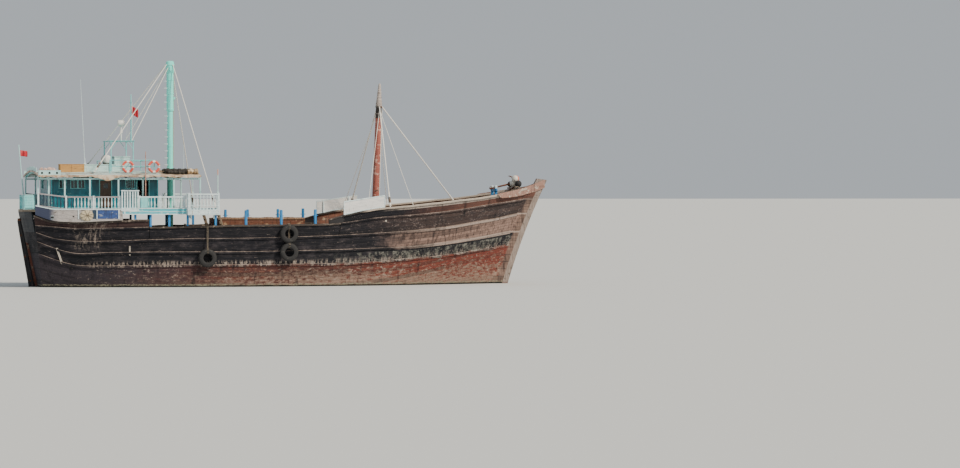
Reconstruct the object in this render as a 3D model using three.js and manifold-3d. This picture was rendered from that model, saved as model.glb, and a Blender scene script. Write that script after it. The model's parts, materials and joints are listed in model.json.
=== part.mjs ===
// Wooden cargo dhow, 32 m long, afloat. Millimetres, +X to the bow, +Y to port, +Z up.
// The origin is amidships on the centreline, at the waterline.

import * as THREE from 'three';
import { mergeVertices } from 'three/addons/utils/BufferGeometryUtils.js';
import Module from 'manifold-3d';

const wasm = await Module();
wasm.setup();

// Driving sizes
const gap = 0.3;
const keelHalf = 150;
const keelBottom = -1900;
const plankOut = 55;
const waleHalf = 65;
const waleChamfer = 14;
const bulwarkThick = 140;
const capWidth = 330;
const capThick = 110;
const deckFlatEdge = 700;
const deckCamber = 90;
const poopTop = 4500;
const poopThick = 130;
const poopFront = -4800;
const roofEdgeZ = 6380;
const roofCamber = 300;
const roofThick = 80;
const houseHalf = 2300;
const houseAft = -14350;
const houseFront = -8100;
const wallThick = 80;
const sternAxis = { foot: -15060, lean: -0.207 };
const mainMast = { x: -7010, foot: 2950, top: 13220 };
const foreMast = { x: 5320, foot: 3130, top: 12000, lean: 0.038 };

// Hull stations, transom to stem. Columns: place along the hull from 0 to 1, half breadth at the
// waterline, half breadth at the rail, bottom, lower wale, middle wale, deck edge, rail, top.
const stations = [
  [0, 1500, 2750, -150, 1900, 2600, 3200, 3600, 4180],
  [0.03, 1780, 2940, -300, 1570, 2250, 2880, 3540, 3880],
  [0.06, 2050, 3130, -450, 1310, 1985, 2740, 3460, 3790],
  [0.14, 2620, 3490, -950, 1200, 1975, 2710, 3455, 3850],
  [0.22, 3050, 3670, -1270, 1225, 2000, 2780, 3500, 3920],
  [0.31, 3350, 3760, -1430, 1240, 2000, 2840, 3550, 3550],
  [0.4, 3480, 3800, -1500, 1245, 1995, 2845, 3600, 3600],
  [0.5, 3520, 3800, -1500, 1255, 2030, 2910, 3630, 3630],
  [0.605, 3400, 3740, -1500, 1285, 2090, 3000, 3720, 4060],
  [0.68, 3200, 3620, -1500, 1350, 2165, 3110, 4030, 4540],
  [0.76, 2700, 3400, -1500, 1520, 2235, 3250, 4205, 4790],
  [0.84, 1950, 2950, -1480, 1690, 2450, 3470, 4450, 5050],
  [0.9, 1300, 2400, -1440, 1900, 2680, 3750, 4720, 5260],
  [0.95, 760, 1650, -1400, 2080, 2900, 3980, 4930, 5500],
  [0.98, 400, 950, -1380, 2200, 3030, 4150, 5040, 5680],
  [1, 150, 150, -1350, 2260, 3100, 4220, 5100, 5800],
].map(([u, water, rail, bottom, low, middle, deck, railZ, top]) => (
  { u, water, rail, bottom, low, middle, deck, railZ, top }));

const colours = {
  tarredPlank: [0x2a2623, 0.85, 0],
  keelTimber: [0x5a3128, 0.85, 0],
  stemTimber: [0x8a7468, 0.85, 0],
  bareRail: [0x9a8470, 0.8, 0],
  bowPlank: [0x77635a, 0.85, 0],
  deckPlank: [0x94806a, 0.85, 0],
  whitePaint: [0xd8d8d0, 0.6, 0],
  tealPaint: [0x2f7f86, 0.55, 0],
  palePaint: [0x9fd0d0, 0.55, 0],
  skyPaint: [0x5fa5cf, 0.55, 0],
  redOxide: [0x8c4a3a, 0.8, 0],
  mastPaint: [0xa6cfd0, 0.5, 0],
  salmonPaint: [0xa5543f, 0.6, 0],
  canvas: [0xb9a68e, 0.9, 0],
  doorWood: [0x4a3524, 0.7, 0],
  tyreRubber: [0x1b1b1c, 0.9, 0],
  bronze: [0x9a7a40, 0.4, 0.9],
  steel: [0x6f6a64, 0.5, 0.7],
  orangeRing: [0xd8502c, 0.6, 0],
  flagRed: [0xb8242a, 0.8, 0],
};

const boat = new THREE.Group();

// Closed geometry to solid and back
function solidOf(geometry) {
  const bare = geometry.clone();
  bare.deleteAttribute('normal');
  bare.deleteAttribute('uv');
  const merged = mergeVertices(bare, 1e-3);
  return new wasm.Manifold(new wasm.Mesh({
    numProp: 3,
    vertProperties: merged.attributes.position.array,
    triVerts: Uint32Array.from(merged.index.array),
  }));
}

function geometryOf(solid) {
  const mesh = solid.getMesh();
  const geometry = new THREE.BufferGeometry();
  geometry.setAttribute('position', new THREE.BufferAttribute(mesh.vertProperties, 3));
  geometry.setIndex(new THREE.BufferAttribute(mesh.triVerts, 1));
  geometry.computeVertexNormals();
  return geometry;
}

const joined = (solids) => solids.reduce((all, next) => all.add(next));
const cut = (solid, tools) => tools.reduce((left, tool) => left.subtract(tool), solid);


// Cutting tools that seat a piece against a solid, a hair clear of it above and at its sides
const seatTools = (solid) => [[0, 0, gap], [0, gap, gap], [0, -gap, gap], [0, gap, 0], [0, -gap, 0],
  [gap, 0, gap], [-gap, 0, gap]].map((shift) => solid.translate(shift));

function addPiece(name, colour, solid) {
  const [color, roughness, metalness] = colours[colour];
  const material = new THREE.MeshStandardMaterial({ color, roughness, metalness });
  const mesh = new THREE.Mesh(geometryOf(solid), material);
  mesh.name = name;
  boat.add(mesh);
}

// Solid primitives by their limits
function box(x0, x1, y0, y1, z0, z1) {
  const shape = new THREE.BoxGeometry(x1 - x0, y1 - y0, z1 - z0);
  shape.translate((x0 + x1) / 2, (y0 + y1) / 2, (z0 + z1) / 2);
  return solidOf(shape);
}

// Round bar between two points, with its end radii
function bar(from, to, r0, r1 = r0, sides = 8) {
  const a = new THREE.Vector3(...from);
  const b = new THREE.Vector3(...to);
  const along = b.clone().sub(a);
  const shape = new THREE.CylinderGeometry(r1, r0, along.length(), sides);
  const up = new THREE.Vector3(0, 1, 0);
  shape.applyQuaternion(new THREE.Quaternion().setFromUnitVectors(up, along.clone().normalize()));
  const middle = a.add(b).multiplyScalar(0.5);
  shape.translate(middle.x, middle.y, middle.z);
  return solidOf(shape);
}

// Flat plate: an outline in X and Z, with its thickness along Y
function sidePlate(outline, y0, y1) {
  const shape = new THREE.Shape(outline.map(([x, z]) => new THREE.Vector2(x, z)));
  const plate = new THREE.ExtrudeGeometry(shape, { depth: y1 - y0, bevelEnabled: false });
  plate.rotateX(Math.PI / 2);
  plate.translate(0, y1, 0);
  return solidOf(plate);
}

// Flat plate: an outline in X and Y, with its thickness along Z
function deckPlate(outline, z0, z1) {
  const shape = new THREE.Shape(outline.map(([x, y]) => new THREE.Vector2(x, y)));
  const plate = new THREE.ExtrudeGeometry(shape, { depth: z1 - z0, bevelEnabled: false });
  plate.translate(0, 0, z0);
  return solidOf(plate);
}

// Skin through closed rings of equal count, with both ends closed
function loft(rings) {
  const count = rings[0].length;
  const points = rings.flat();
  const faces = [];
  for (let i = 0; i + 1 < rings.length; i += 1) {
    for (let j = 0; j < count; j += 1) {
      const a = i * count + j;
      const b = i * count + ((j + 1) % count);
      faces.push(a, b, b + count, a, b + count, a + count);
    }
  }
  const last = (rings.length - 1) * count;
  for (const [p, q, r] of capFaces(rings[0])) faces.push(p, r, q);
  for (const [p, q, r] of capFaces(rings[rings.length - 1])) faces.push(last + p, last + q, last + r);
  const geometry = new THREE.BufferGeometry();
  geometry.setAttribute('position', new THREE.Float32BufferAttribute(points.flat(), 3));
  if (signedVolume(points, faces) < 0) faces.reverse();
  geometry.setIndex(faces);
  return solidOf(geometry);
}

// Triangles that close a ring, in the ring's own direction: seen along X, or along Y where flat
function capFaces(ring) {
  const sameY = ring.every((point) => Math.abs(point[1] - ring[0][1]) < 1);
  const thin = sameY ? 1 : 0;
  const [p, q] = [0, 1, 2].filter((k) => k !== thin);
  const flat = ring.map((point) => new THREE.Vector2(point[p], point[q]));
  const triangles = THREE.ShapeUtils.triangulateShape(flat, []);
  return THREE.ShapeUtils.isClockWise(flat) ? triangles.map(([a, b, c]) => [a, c, b]) : triangles;
}

function signedVolume(points, faces) {
  let sum = 0;
  for (let i = 0; i < faces.length; i += 3) {
    const [a, b, c] = [0, 1, 2].map((k) => new THREE.Vector3(...points[faces[i + k]]));
    sum += a.dot(b.cross(c));
  }
  return sum / 6;
}

// Hull form
const transomX = (z) => -14750 - 0.155 * z;
const stemX = (z) => 12630 + 0.39 * z - (z < 0 ? 0.0005 * z * z : 0);
const hullX = (u, z) => transomX(z) + u * (stemX(z) - transomX(z));

function halfBreadth(station, z) {
  if (z >= 0) return station.water + (station.rail - station.water) * (z / station.railZ) ** 0.8;
  const fullness = 1.2 + 1.6 * Math.sin(Math.PI * station.u);
  const share = 1 - Math.min(1, z / station.bottom) ** fullness;
  return keelHalf + (station.water - keelHalf) * share;
}

const stationPoint = (s, z, out = 0) => [hullX(s.u, z), halfBreadth(s, z) + out, z];

function stationAt(u) {
  const i = Math.max(1, stations.findIndex((s) => s.u >= u));
  const [a, b] = [stations[i - 1], stations[i]];
  const t = (u - a.u) / (b.u - a.u);
  return Object.fromEntries(Object.keys(a).map((key) => [key, a[key] + t * (b[key] - a[key])]));
}

// Station whose planking passes a given X at height z
function stationNear(x, z) {
  return stationAt((x - transomX(z)) / (stemX(z) - transomX(z)));
}

const sideY = (x, z) => halfBreadth(stationNear(x, z), z);

// One half section of the hull from keel to deck edge, its three wales standing proud
function halfSection(s) {
  const out = s.u === 1 ? 0 : plankOut;
  const side = [];
  for (const share of [1, 0.8, 0.45]) side.push(stationPoint(s, s.bottom * share));
  side.push(stationPoint(s, 0));
  for (const wale of [s.low, s.middle]) {
    side.push(stationPoint(s, wale - waleHalf - waleChamfer));
    side.push(stationPoint(s, wale - waleHalf, out));
    side.push(stationPoint(s, wale + waleHalf, out));
    side.push(stationPoint(s, wale + waleHalf + waleChamfer));
  }
  side.push(stationPoint(s, s.deck - 2 * waleHalf - waleChamfer));
  side.push(stationPoint(s, s.deck - 2 * waleHalf, out));
  side.push(stationPoint(s, s.deck, out));
  const [x, y, z] = stationPoint(s, s.deck);
  side.push([x, Math.max(y - deckFlatEdge, y * 0.3), z]);
  return side;
}

function hullRing(s, aft = 0, narrow = 1) {
  const port = halfSection(s).map(([x, y, z]) => [x - aft * (0.25 + z / 5500), y * narrow, z]);
  const starboard = port.map(([x, y, z]) => [x, -y, z]).reverse();
  const top = port[port.length - 1];
  const camber = s.u === 1 ? 0 : deckCamber;
  return [...port, [top[0], 0, top[2] + camber], ...starboard];
}

// Stem, keel with the propeller opening, and sternpost
const stemFront = (z) => 13560 + 0.3 * z + 0.0000154 * z * z;

function stemOutline(grow) {
  const front = [[9500, keelBottom], [10700, -1790], [11800, -1450], [12700, -900], [13280, -350]];
  for (let i = 0; i <= 6; i += 1) front.push([stemFront(i * 1040), i * 1040]);
  const back = [[15420, 6330], [14760, 5100], [14180, 3900], [13560, 2500], [13080, 1400]];
  back.push([12550, 0], [12150, -500], [11500, -950], [10600, -1260], [9500, -1380]);
  return [...front, ...back].map(([x, z], i) => [x + (i < front.length ? grow : -grow), z]);
}

const sternLine = (z) => sternAxis.foot + sternAxis.lean * z;

function keelOutline() {
  const top = [[9500 - gap, -1380], [0, -1380], [-6000, -1300], [-9500, -1000], [-11800, -560]];
  const post = [[-13250, -60], [-14350, 50], [sternLine(2400) + 300, 2400]];
  const back = [[sternLine(2600) + 105, 2600], [sternLine(-1700) + 105, -1700]];
  const shoe = [[-15020, -1740], [-15020, keelBottom], [9500 - gap, keelBottom]];
  return [...top, ...post, ...back, ...shoe];
}

function keelPieces() {
  const pinTop = -1640;
  const shaftZ = -900;
  const opening = box(-14330, -13350, -400, 400, -1560, -330);
  const bore = bar([-13400, 0, shaftZ], [-12500, 0, shaftZ], 61, 61, 24);
  const pin = bar([sternLine(-1800), 0, -1800], [sternLine(pinTop), 0, pinTop], 35, 35, 24);
  const keel = cut(sidePlate(keelOutline(), -keelHalf, keelHalf), [opening, bore]).add(pin);
  const stem = sidePlate(stemOutline(0), -keelHalf, keelHalf);
  return { keel, stem };
}

function hullBody() {
  const rings = [hullRing(stations[0], 330, 0.5), ...stations.map((s) => hullRing(s))];
  const blade = box(-14330, -13350, -760, 760, -1560, -330);
  const keelRoom = sidePlate(keelOutline().map(([x, z]) => [x, z + gap]), -keelHalf - gap,
    keelHalf + gap);
  const stemRoom = sidePlate(stemOutline(gap), -keelHalf - gap, keelHalf + gap);
  return cut(loft(rings), [blade, keelRoom, stemRoom]);
}

addPiece('hull', 'tarredPlank', hullBody());
const { keel, stem } = keelPieces();
addPiece('keel_and_sternpost', 'keelTimber', keel);
addPiece('stem', 'stemTimber', stem);

// Bulwark with its cap rail, from one place along the hull to another
function bulwark(u0, u1, topKey, capOut = 60) {
  const inside = stations.filter((s) => s.u > u0 && s.u < u1);
  return loft([stationAt(u0), ...inside, stationAt(u1)].map((s) => {
    const top = s[topKey];
    const foot = s.deck + gap;
    const under = top - capThick;
    const [xFoot, yFoot] = stationPoint(s, foot);
    const [xRail, yRail] = stationPoint(s, under);
    const [xTop, yTop] = stationPoint(s, top);
    const room = Math.min(1, yFoot / 900);
    const inner = bulwarkThick * room;
    const wide = capWidth * room;
    return [[xFoot, yFoot, foot], [xRail, yRail, under], [xRail, yRail + capOut, under + waleChamfer],
      [xTop, yTop + capOut, top], [xTop, yTop + capOut - wide, top],
      [xRail, yRail + capOut - wide, under + waleChamfer], [xRail, yRail - inner, under],
      [xFoot, yFoot - inner, foot]];
  }));
}

// Wale that stands proud of the bulwark, a strip along the hull at the rail height
function railWale(u0, u1) {
  const inside = stations.filter((s) => s.u > u0 && s.u < u1);
  return loft([stationAt(u0), ...inside, stationAt(u1)].map((s) => {
    const [low, high] = [s.railZ - capThick, s.railZ];
    const [x, y] = stationPoint(s, s.railZ);
    return [[x, y - 60, low], [x, y + 60, low], [x, y + 60, high], [x, y - 60, high]];
  }));
}

const flip = (solid, side) => (side > 0 ? solid : solid.mirror([0, 1, 0]));

// Timber heads on the main rail. Columns: place along X for starboard, then for port
const timberHeads = { '-1': [-3200, -1110, 920], 1: [-3010, -1650, 210, 1750] };
const headTall = 850;

function timberHead(x) {
  const z = stationNear(x, 3500).railZ;
  const y = sideY(x, z) - 90;
  return box(x - 75, x + 75, y - 80, y + 80, z - 60, z + headTall);
}

const sides = [[-1, 'starboard'], [1, 'port']];
const quarterBulwark = () => bulwark(0, 0.2195, 'top').add(railWale(0, 0.2195));
const mainBulwark = () => bulwark(0.2205, 0.6045, 'railZ');

for (const [side, sideName] of sides) {
  addPiece(`quarter_bulwark_${sideName}`, 'tarredPlank', flip(quarterBulwark(), side));
  const main = joined([mainBulwark(), ...timberHeads[side].map(timberHead)]);
  addPiece(`main_bulwark_${sideName}`, 'bareRail', flip(main, side));
  const stemRoom = sidePlate(stemOutline(gap), -keelHalf - gap, keelHalf + gap);
  const centre = box(11000, 17000, -400, 8, 2000, 7000);
  const bow = cut(bulwark(0.6055, 1, 'top').add(railWale(0.6055, 1)).add(bowPlank()),
    [stemRoom, centre]);
  addPiece(`bow_bulwark_${sideName}`, 'bowPlank', flip(bow, side));
}

// Top strake that runs on past the planking along the stem head
function bowPlank() {
  const ends = [[13900, 5180, 5620], [15740, 5520, 5960]];
  return loft(ends.map(([x, low, high], i) => {
    const y = i === 0 ? sideY(x, 5400) - 40 : keelHalf + gap;
    const wide = i === 0 ? 90 : 70;
    return [[x, y, low], [x, y + wide, low], [x, y + wide, high], [x, y, high]];
  }));
}

// Everything under the deck surface, a little proud of it
function hullDeckTool() {
  const rings = stations.filter((s) => s.u < 1).map((s) => {
    const [x, y] = stationPoint(s, s.deck);
    const flatY = Math.max(y - deckFlatEdge, y * 0.3);
    const top = s.deck + gap;
    const crown = top + deckCamber;
    return [[x, y, 1000], [x, y, top], [x, flatY, top], [x, 0, crown], [x, -flatY, top],
      [x, -y, top], [x, -y, 1000]];
  });
  return loft(rings);
}

// Raised foredeck between the bow bulwarks, with the beam that carries its aft edge
const foredeckAft = 9700;
const foredeckZ = 4430;

function foredeck() {
  const xs = [foredeckAft, 11000, 12200, 13200, 13900];
  const edge = xs.map((x) => [x, Math.max(90, sideY(x, foredeckZ - 80) - bulwarkThick - 130)]);
  const outline = [...edge, ...edge.map(([x, y]) => [x, -y]).reverse()];
  const half = sideY(foredeckAft, 3900) - bulwarkThick - 260;
  const feet = [-1, 0, 1].map((k) => box(foredeckAft + 20, foredeckAft + 160, k * half - 70,
    k * half + 70, 3300, foredeckZ - 60));
  const stemRoom = sidePlate(stemOutline(gap), -keelHalf - gap, keelHalf + gap);
  return cut(joined([deckPlate(outline, foredeckZ - 80, foredeckZ), ...feet]),
    [stemRoom, hullDeckTool()]);
}

addPiece('foredeck', 'deckPlank', foredeck());

// Cargo hatch: a tall coaming and its boards
const hatch = { x0: -4350, x1: 700, half: 1850, wall: 120, foot: 2860, top: 3900 };

function hatchCoaming() {
  const { x0, x1, half, wall, foot, top } = hatch;
  const walls = box(x0, x1, -half, half, foot, top);
  const well = box(x0 + wall, x1 - wall, -half + wall, half - wall, foot - 10, top + 10);
  return cut(walls, [well, hullDeckTool()]);
}

function hatchBoards() {
  const { x0, x1, half, top } = hatch;
  const count = 8;
  const step = (x1 - x0) / count;
  const boards = [];
  for (let i = 0; i < count; i += 1) {
    const lift = i % 2 === 0 ? 0 : 22;
    boards.push(box(x0 + i * step - 1, x0 + (i + 1) * step + 1, -half - 40, half + 40,
      top + gap, top + 80 + lift));
  }
  return joined(boards);
}

addPiece('hatch_coaming', 'redOxide', hatchCoaming());
addPiece('hatch_boards', 'redOxide', hatchBoards());

// Poop deck, carried on the quarter bulwarks and on posts from the main deck
const poopAft = -15820;
const poopStations = [-15330, -14600, -13500, -12000, -10400, -8800, -7000, poopFront];
const poopEdge = (x, inset = 0) => sideY(Math.max(x, -15250), 4100) + 20 - inset;

function poopOutline(inset) {
  const edge = poopStations.map((x) => [x, poopEdge(x, inset)]);
  const stern = [[poopAft, -900], [poopAft, 900]];
  return [...stern, ...edge, ...edge.map(([x, y]) => [x, -y]).reverse()];
}

const mastHole = (x, z, grow) => bar([x, 0, z - 600], [x, 0, z + 900], grow, grow, 16);

function poopDeck() {
  const slab = deckPlate(poopOutline(0), poopTop - poopThick, poopTop);
  const beams = [-13600, -11800, -9900, -7900, -5600].map((x) => box(x - 70, x + 70,
    -poopEdge(x, 420), poopEdge(x, 420), poopTop - poopThick - 140, poopTop - 60));
  return cut(joined([slab, ...beams]), [mastHole(mainMast.x, poopTop, 225)]);
}

addPiece('poop_deck', 'deckPlank', poopDeck());

// Posts under the poop from the rail caps. The aft rows stand on the quarter bulwarks.
const poopPostXs = [-14000, -12400, -10700, -9650, -8770, -7690, -6610, -4980];

function poopPosts() {
  const top = poopTop - poopThick - gap;
  const posts = poopPostXs.map((x) => {
    const y = sideY(x, 4100) - 110;
    const rail = stationNear(x, 3500)[x < -8900 ? 'top' : 'railZ'];
    return box(x - 60, x + 60, y - 60, y + 60, rail - 60, top);
  });
  const stringer = loft(poopPostXs.map((x) => {
    const y = sideY(x, 4100) - 110;
    return [[x, y - 55, top - 110], [x, y + 55, top - 110], [x, y + 55, top], [x, y - 55, top]];
  }));
  const seats = [quarterBulwark(), mainBulwark()].flatMap(seatTools);
  return cut(joined([stringer, ...posts]), seats);
}

// Quarter board: the pale weathered board along the edge of the poop
const quarterBoardRun = poopStations.slice(0, 5);
const fasciaRun = [-10410, ...poopStations.slice(5)];

function edgeBoard(xs, lowOf, high) {
  return loft(xs.map((x) => {
    const y = poopEdge(x) + gap + 8;
    const [low, top] = [lowOf(x), high(x)];
    return [[x, y, low], [x, y + 50, low], [x, y + 50, top], [x, y, top]];
  }));
}

const sternRise = (x) => Math.max(0, (-14300 - x) * 0.2);
const quarterBoard = () => cut(edgeBoard(quarterBoardRun, (x) => stationNear(x, 3500).top - 60,
  (x) => poopTop + 40 + sternRise(x)), seatTools(quarterBulwark()));
const fascia = () => edgeBoard(fasciaRun, () => poopTop - 290, () => poopTop + 90);

// Balustrades of turned balusters between two rails
const railTall = 760;

// Four-sided spindle, widest a little over its middle
function baluster(x, y, z, tall, wide = 45) {
  const profile = [[0, 0], [wide * 0.6, 0], [wide, tall * 0.55], [wide * 0.6, tall], [0, tall]];
  const shape = new THREE.LatheGeometry(profile.map(([r, h]) => new THREE.Vector2(r, h)), 4);
  shape.rotateX(Math.PI / 2);
  shape.translate(x, y, z);
  return solidOf(shape);
}

function balustrade(points, z, tall, pitch, across = 55) {
  const pieces = [];
  for (let i = 0; i + 1 < points.length; i += 1) {
    const a = new THREE.Vector2(...points[i]);
    const b = new THREE.Vector2(...points[i + 1]);
    const count = Math.max(1, Math.round(a.distanceTo(b) / pitch));
    const railBar = (low, high) => bentBoard(a, b, across, low, high);
    pieces.push(railBar(z, z + 60), railBar(z + tall - 70, z + tall));
    for (let k = 0; k < count; k += 1) {
      const at = a.clone().lerp(b, (k + 0.5) / count);
      pieces.push(baluster(at.x, at.y, z + 30, tall - 70));
    }
    pieces.push(box(a.x - 50, a.x + 50, a.y - 50, a.y + 50, z, z + tall + 30));
  }
  const end = points[points.length - 1];
  pieces.push(box(end[0] - 50, end[0] + 50, end[1] - 50, end[1] + 50, z, z + tall + 30));
  return joined(pieces);
}

// Straight board between two plan points, wide across and between two heights
function bentBoard(a, b, wide, low, high) {
  const along = b.clone().sub(a);
  const shape = new THREE.BoxGeometry(along.length() + wide, wide, high - low);
  shape.rotateZ(Math.atan2(along.y, along.x));
  shape.translate((a.x + b.x) / 2, (a.y + b.y) / 2, (low + high) / 2);
  return solidOf(shape);
}

const railLine = (xs, inset = 70) => xs.map((x) => [x, poopEdge(x, inset)]);
const bayA = { x0: -10450, x1: -9420, tall: 1080 };
const bayB = { x0: -6720, x1: -4880, out: 520, skirtLow: 4190, top: 5420 };

// Box balcony that stands out over the side, with its skirt and balusters
function balcony() {
  const { x0, x1, out, skirtLow, top } = bayB;
  const inner = poopEdge(x1) + gap + 58;
  const skirt = box(x0, x1, inner, inner + out, skirtLow, poopTop - 20);
  const well = box(x0 + 60, x1 - 60, inner - 1, inner + out - 60, skirtLow + 60, poopTop + 1);
  const corner = inner + out - 35;
  const rail = balustrade([[x0 + 50, inner + 50], [x0 + 50, corner - 10], [x1 - 50, corner - 10],
    [x1 - 50, inner + 50]], poopTop - 60, top - poopTop + 60, 250, 60);
  return cut(skirt, [well]).add(rail);
}

for (const [side, sideName] of sides) {
  addPiece(`poop_posts_${sideName}`, 'palePaint', flip(poopPosts(), side));
  addPiece(`poop_side_board_${sideName}`, 'whitePaint', flip(quarterBoard().add(fascia()), side));
  const aft = balustrade(railLine([-15150, -13600, -12050, -10550]), poopTop + gap, railTall, 260);
  const bay = balustrade(railLine([-10480, bayA.x1]), poopTop + gap, bayA.tall, 200);
  const fore = balustrade(railLine([bayA.x1, -8250, -6800]), poopTop + gap, railTall, 250);
  addPiece(`balustrade_${sideName}`, 'whitePaint', flip(joined([aft, bay, fore]), side));
  addPiece(`balcony_${sideName}`, 'whitePaint', flip(balcony(), side));
}

function sternBalustrade() {
  const x = poopAft + 120;
  return balustrade([[-15320, -2180], [x, -880], [x, 880], [-15320, 2180]], poopTop + gap,
    railTall + 60, 280);
}

addPiece('stern_balustrade', 'palePaint', sternBalustrade());

// Deckhouse on the poop: four walls, two swinging doors and two open side ways at the helm
const houseFloor = poopTop + gap;
const houseTop = 6330;
const doorway = { x0: -11500, x1: -10850, sill: 110, head: 6180 };
const helmWay = { x0: -9330, x1: -8660, head: 6200 };
const sideWindows = [[-13850, -13480], [-13180, -12830], [-12740, -12400], [-9980, -9760], [-9720, -9500]];
const windowSill = 5740;
const windowHead = 6190;
const pivot = { inset: 45, hole: 13, pin: 12, deep: 30, clear: 6, hingeClear: 12 };

function windowTools(list, y0, y1) {
  return list.map(([x0, x1]) => box(x0, x1, y0, y1, windowSill, windowHead));
}

function sideWall() {
  const wall = box(houseAft, houseFront, houseHalf - wallThick, houseHalf, houseFloor, houseTop);
  const { x0, x1, sill, head } = doorway;
  const low = houseHalf - 200;
  const high = houseHalf + 50;
  const pivotX = x0 + pivot.inset;
  const pivotY = houseHalf - wallThick / 2;
  const hole = (z0, z1) => bar([pivotX, pivotY, z0], [pivotX, pivotY, z1], pivot.hole, pivot.hole, 24);
  return cut(wall, [...windowTools(sideWindows, low, high),
    box(x0, x1, low, high, houseFloor + sill, head),
    box(helmWay.x0, helmWay.x1, low, high, houseFloor + 60, helmWay.head),
    hole(houseFloor + sill - pivot.deep, houseFloor + sill + 5), hole(head - 5, head + pivot.deep)]);
}

function endWall(x0, x1, openings) {
  const half = houseHalf - wallThick - gap;
  const wall = box(x0, x1, -half, half, houseFloor, houseTop);
  return cut(wall, openings.map(([y0, y1, z0, z1]) => box(x0 - 50, x1 + 50, y0, y1, z0, z1)));
}

// Door leaf with its pivot pins, a small window in its upper half
function doorLeaf() {
  const { x0, x1, sill, head } = doorway;
  const { inset, pin, deep, clear, hingeClear } = pivot;
  const z0 = houseFloor + sill + clear;
  const z1 = head - clear;
  const y = houseHalf - wallThick / 2;
  const leaf = box(x0 + hingeClear, x1 - clear, y - 22, y + 22, z0, z1);
  const light = box(x0 + 190, x1 - 170, y - 60, y + 60, 5720, 6020);
  const pinBar = bar([x0 + inset, y, z0 - deep + 8], [x0 + inset, y, z1 + deep - 8], pin, pin, 24);
  const handle = box(x1 - 110, x1 - 80, y - 60, y + 60, 5330, 5370);
  return joined([cut(leaf, [light]), pinBar, handle]);
}

for (const [side, sideName] of sides) {
  addPiece(`deckhouse_wall_${sideName}`, 'tealPaint', flip(sideWall(), side));
  addPiece(`cabin_door_${sideName}`, 'doorWood', flip(doorLeaf(), side));
}
addPiece('deckhouse_wall_aft', 'tealPaint', endWall(houseAft + gap, houseAft + wallThick,
  [[-1500, -1000, windowSill, windowHead], [1000, 1500, windowSill, windowHead]]));
const frontPanes = [-1750, -1150, -550, 50, 650, 1250];
addPiece('deckhouse_wall_front', 'tealPaint', endWall(houseFront - wallThick, houseFront - gap,
  frontPanes.map((y) => [y, y + 500, 5500, windowHead])));

// Cambered roof over the poop and its canvas forward, each a bent sheet
const roofHalf = 3330;
const roofSpan = { aft: -15200, front: -8050, canvasFront: -5720 };

function bentSheet(x0, x1, half, edgeZ, camber, thick, parts = 8) {
  const ys = Array.from({ length: parts + 1 }, (_, i) => -half + (2 * half * i) / parts);
  const level = (y) => edgeZ + camber * (1 - (y / half) ** 2);
  const ring = (x) => [...ys.map((y) => [x, y, level(y)]),
    ...ys.map((y) => [x, y, level(y) + thick]).reverse()];
  return loft([ring(x0), ring(x1)]);
}

const roofLevel = (y) => roofEdgeZ + roofCamber * (1 - (y / roofHalf) ** 2);

function roof() {
  const sheet = bentSheet(roofSpan.aft, roofSpan.front, roofHalf, roofEdgeZ, roofCamber, roofThick);
  const beams = [-15100, -13660, -12220, -10570, -9150, roofSpan.front - 90].map((x) => (
    bentSheet(x, x + 90, roofHalf - 40, roofEdgeZ - 60, roofCamber, 100)));
  return cut(joined([sheet, ...beams]), [houseSpace()]);
}

// The roof beams stop at the deckhouse walls
function houseSpace() {
  return box(houseAft - 2, houseFront + 2, -houseHalf - 2, houseHalf + 2, poopTop, houseTop + gap);
}

const roofPostXs = [-15150, -14550, -13660, -12220, -10570, -9150, -7340, -5800];

function roofFrame() {
  const y = roofHalf - 130;
  const under = roofEdgeZ - 60 - gap;
  const inward = (x) => Math.min(y, poopEdge(x, 190));
  const posts = roofPostXs.map((x) => box(x - 45, x + 45, inward(x) - 45, inward(x) + 45,
    poopTop + gap, roofLevel(inward(x)) + 30));
  const plate = loft(roofPostXs.map((x) => {
    const at = inward(x);
    return [[x, at - 45, under - 90], [x, at + 45, under - 90], [x, at + 45, under],
      [x, at - 45, under]];
  }));
  const seats = [roof(), awning()].flatMap((sheet) => seatTools(sheet.mirror([0, 0, 1]))
    .map((tool) => tool.mirror([0, 0, 1])));
  return cut(joined([plate, ...posts]), seats);
}

function awning() {
  const { front, canvasFront } = roofSpan;
  const cloth = bentSheet(front + gap, canvasFront, roofHalf, roofEdgeZ + 10, roofCamber, 45);
  return cut(cloth, [mastHole(mainMast.x, roofEdgeZ, 225)]);
}

addPiece('roof', 'palePaint', roof());
for (const [side, sideName] of sides) {
  addPiece(`roof_frame_${sideName}`, 'palePaint', flip(roofFrame(), side));
}
addPiece('awning', 'canvas', awning());

// Masts. The main mast has climbing rungs up its after side.
function mainMastSolid() {
  const { x, foot, top } = mainMast;
  const spar = [bar([x, 0, foot], [x, 0, 10300], 180, 165, 16),
    bar([x, 0, 10290], [x, 0, top - 200], 205, 205, 16),
    bar([x, 0, top - 700], [x, 0, top], 235, 235, 16)];
  const rungs = [];
  for (let z = 7100; z < top - 800; z += 370) {
    rungs.push(bentBoardAt(x - 300, x, 170, z));
  }
  return cut(joined([...spar, ...rungs]), [hullDeckTool()]);
}

const bentBoardAt = (x0, x1, wide, z) => box(x0, x1, -wide / 2, wide / 2, z, z + 36);

function foreMastSolid() {
  const { x, foot, top, lean } = foreMast;
  const at = (z) => [x + lean * (z - foot), 0, z];
  const spar = [bar(at(foot), at(10700), 195, 175, 16), bar(at(10690), at(top - 150), 150, 135, 12),
    bar(at(top - 1250), at(top - 60), 165, 120, 8), bar(at(top - 160), at(top), 60, 50, 8)];
  const chock = box(x - 420, x + 420, -420, 420, foot - 60, foot + 190);
  return cut(joined([...spar, chock]), [hullDeckTool()]);
}

addPiece('main_mast', 'mastPaint', mainMastSolid());
addPiece('foremast', 'salmonPaint', foreMastSolid());

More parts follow.
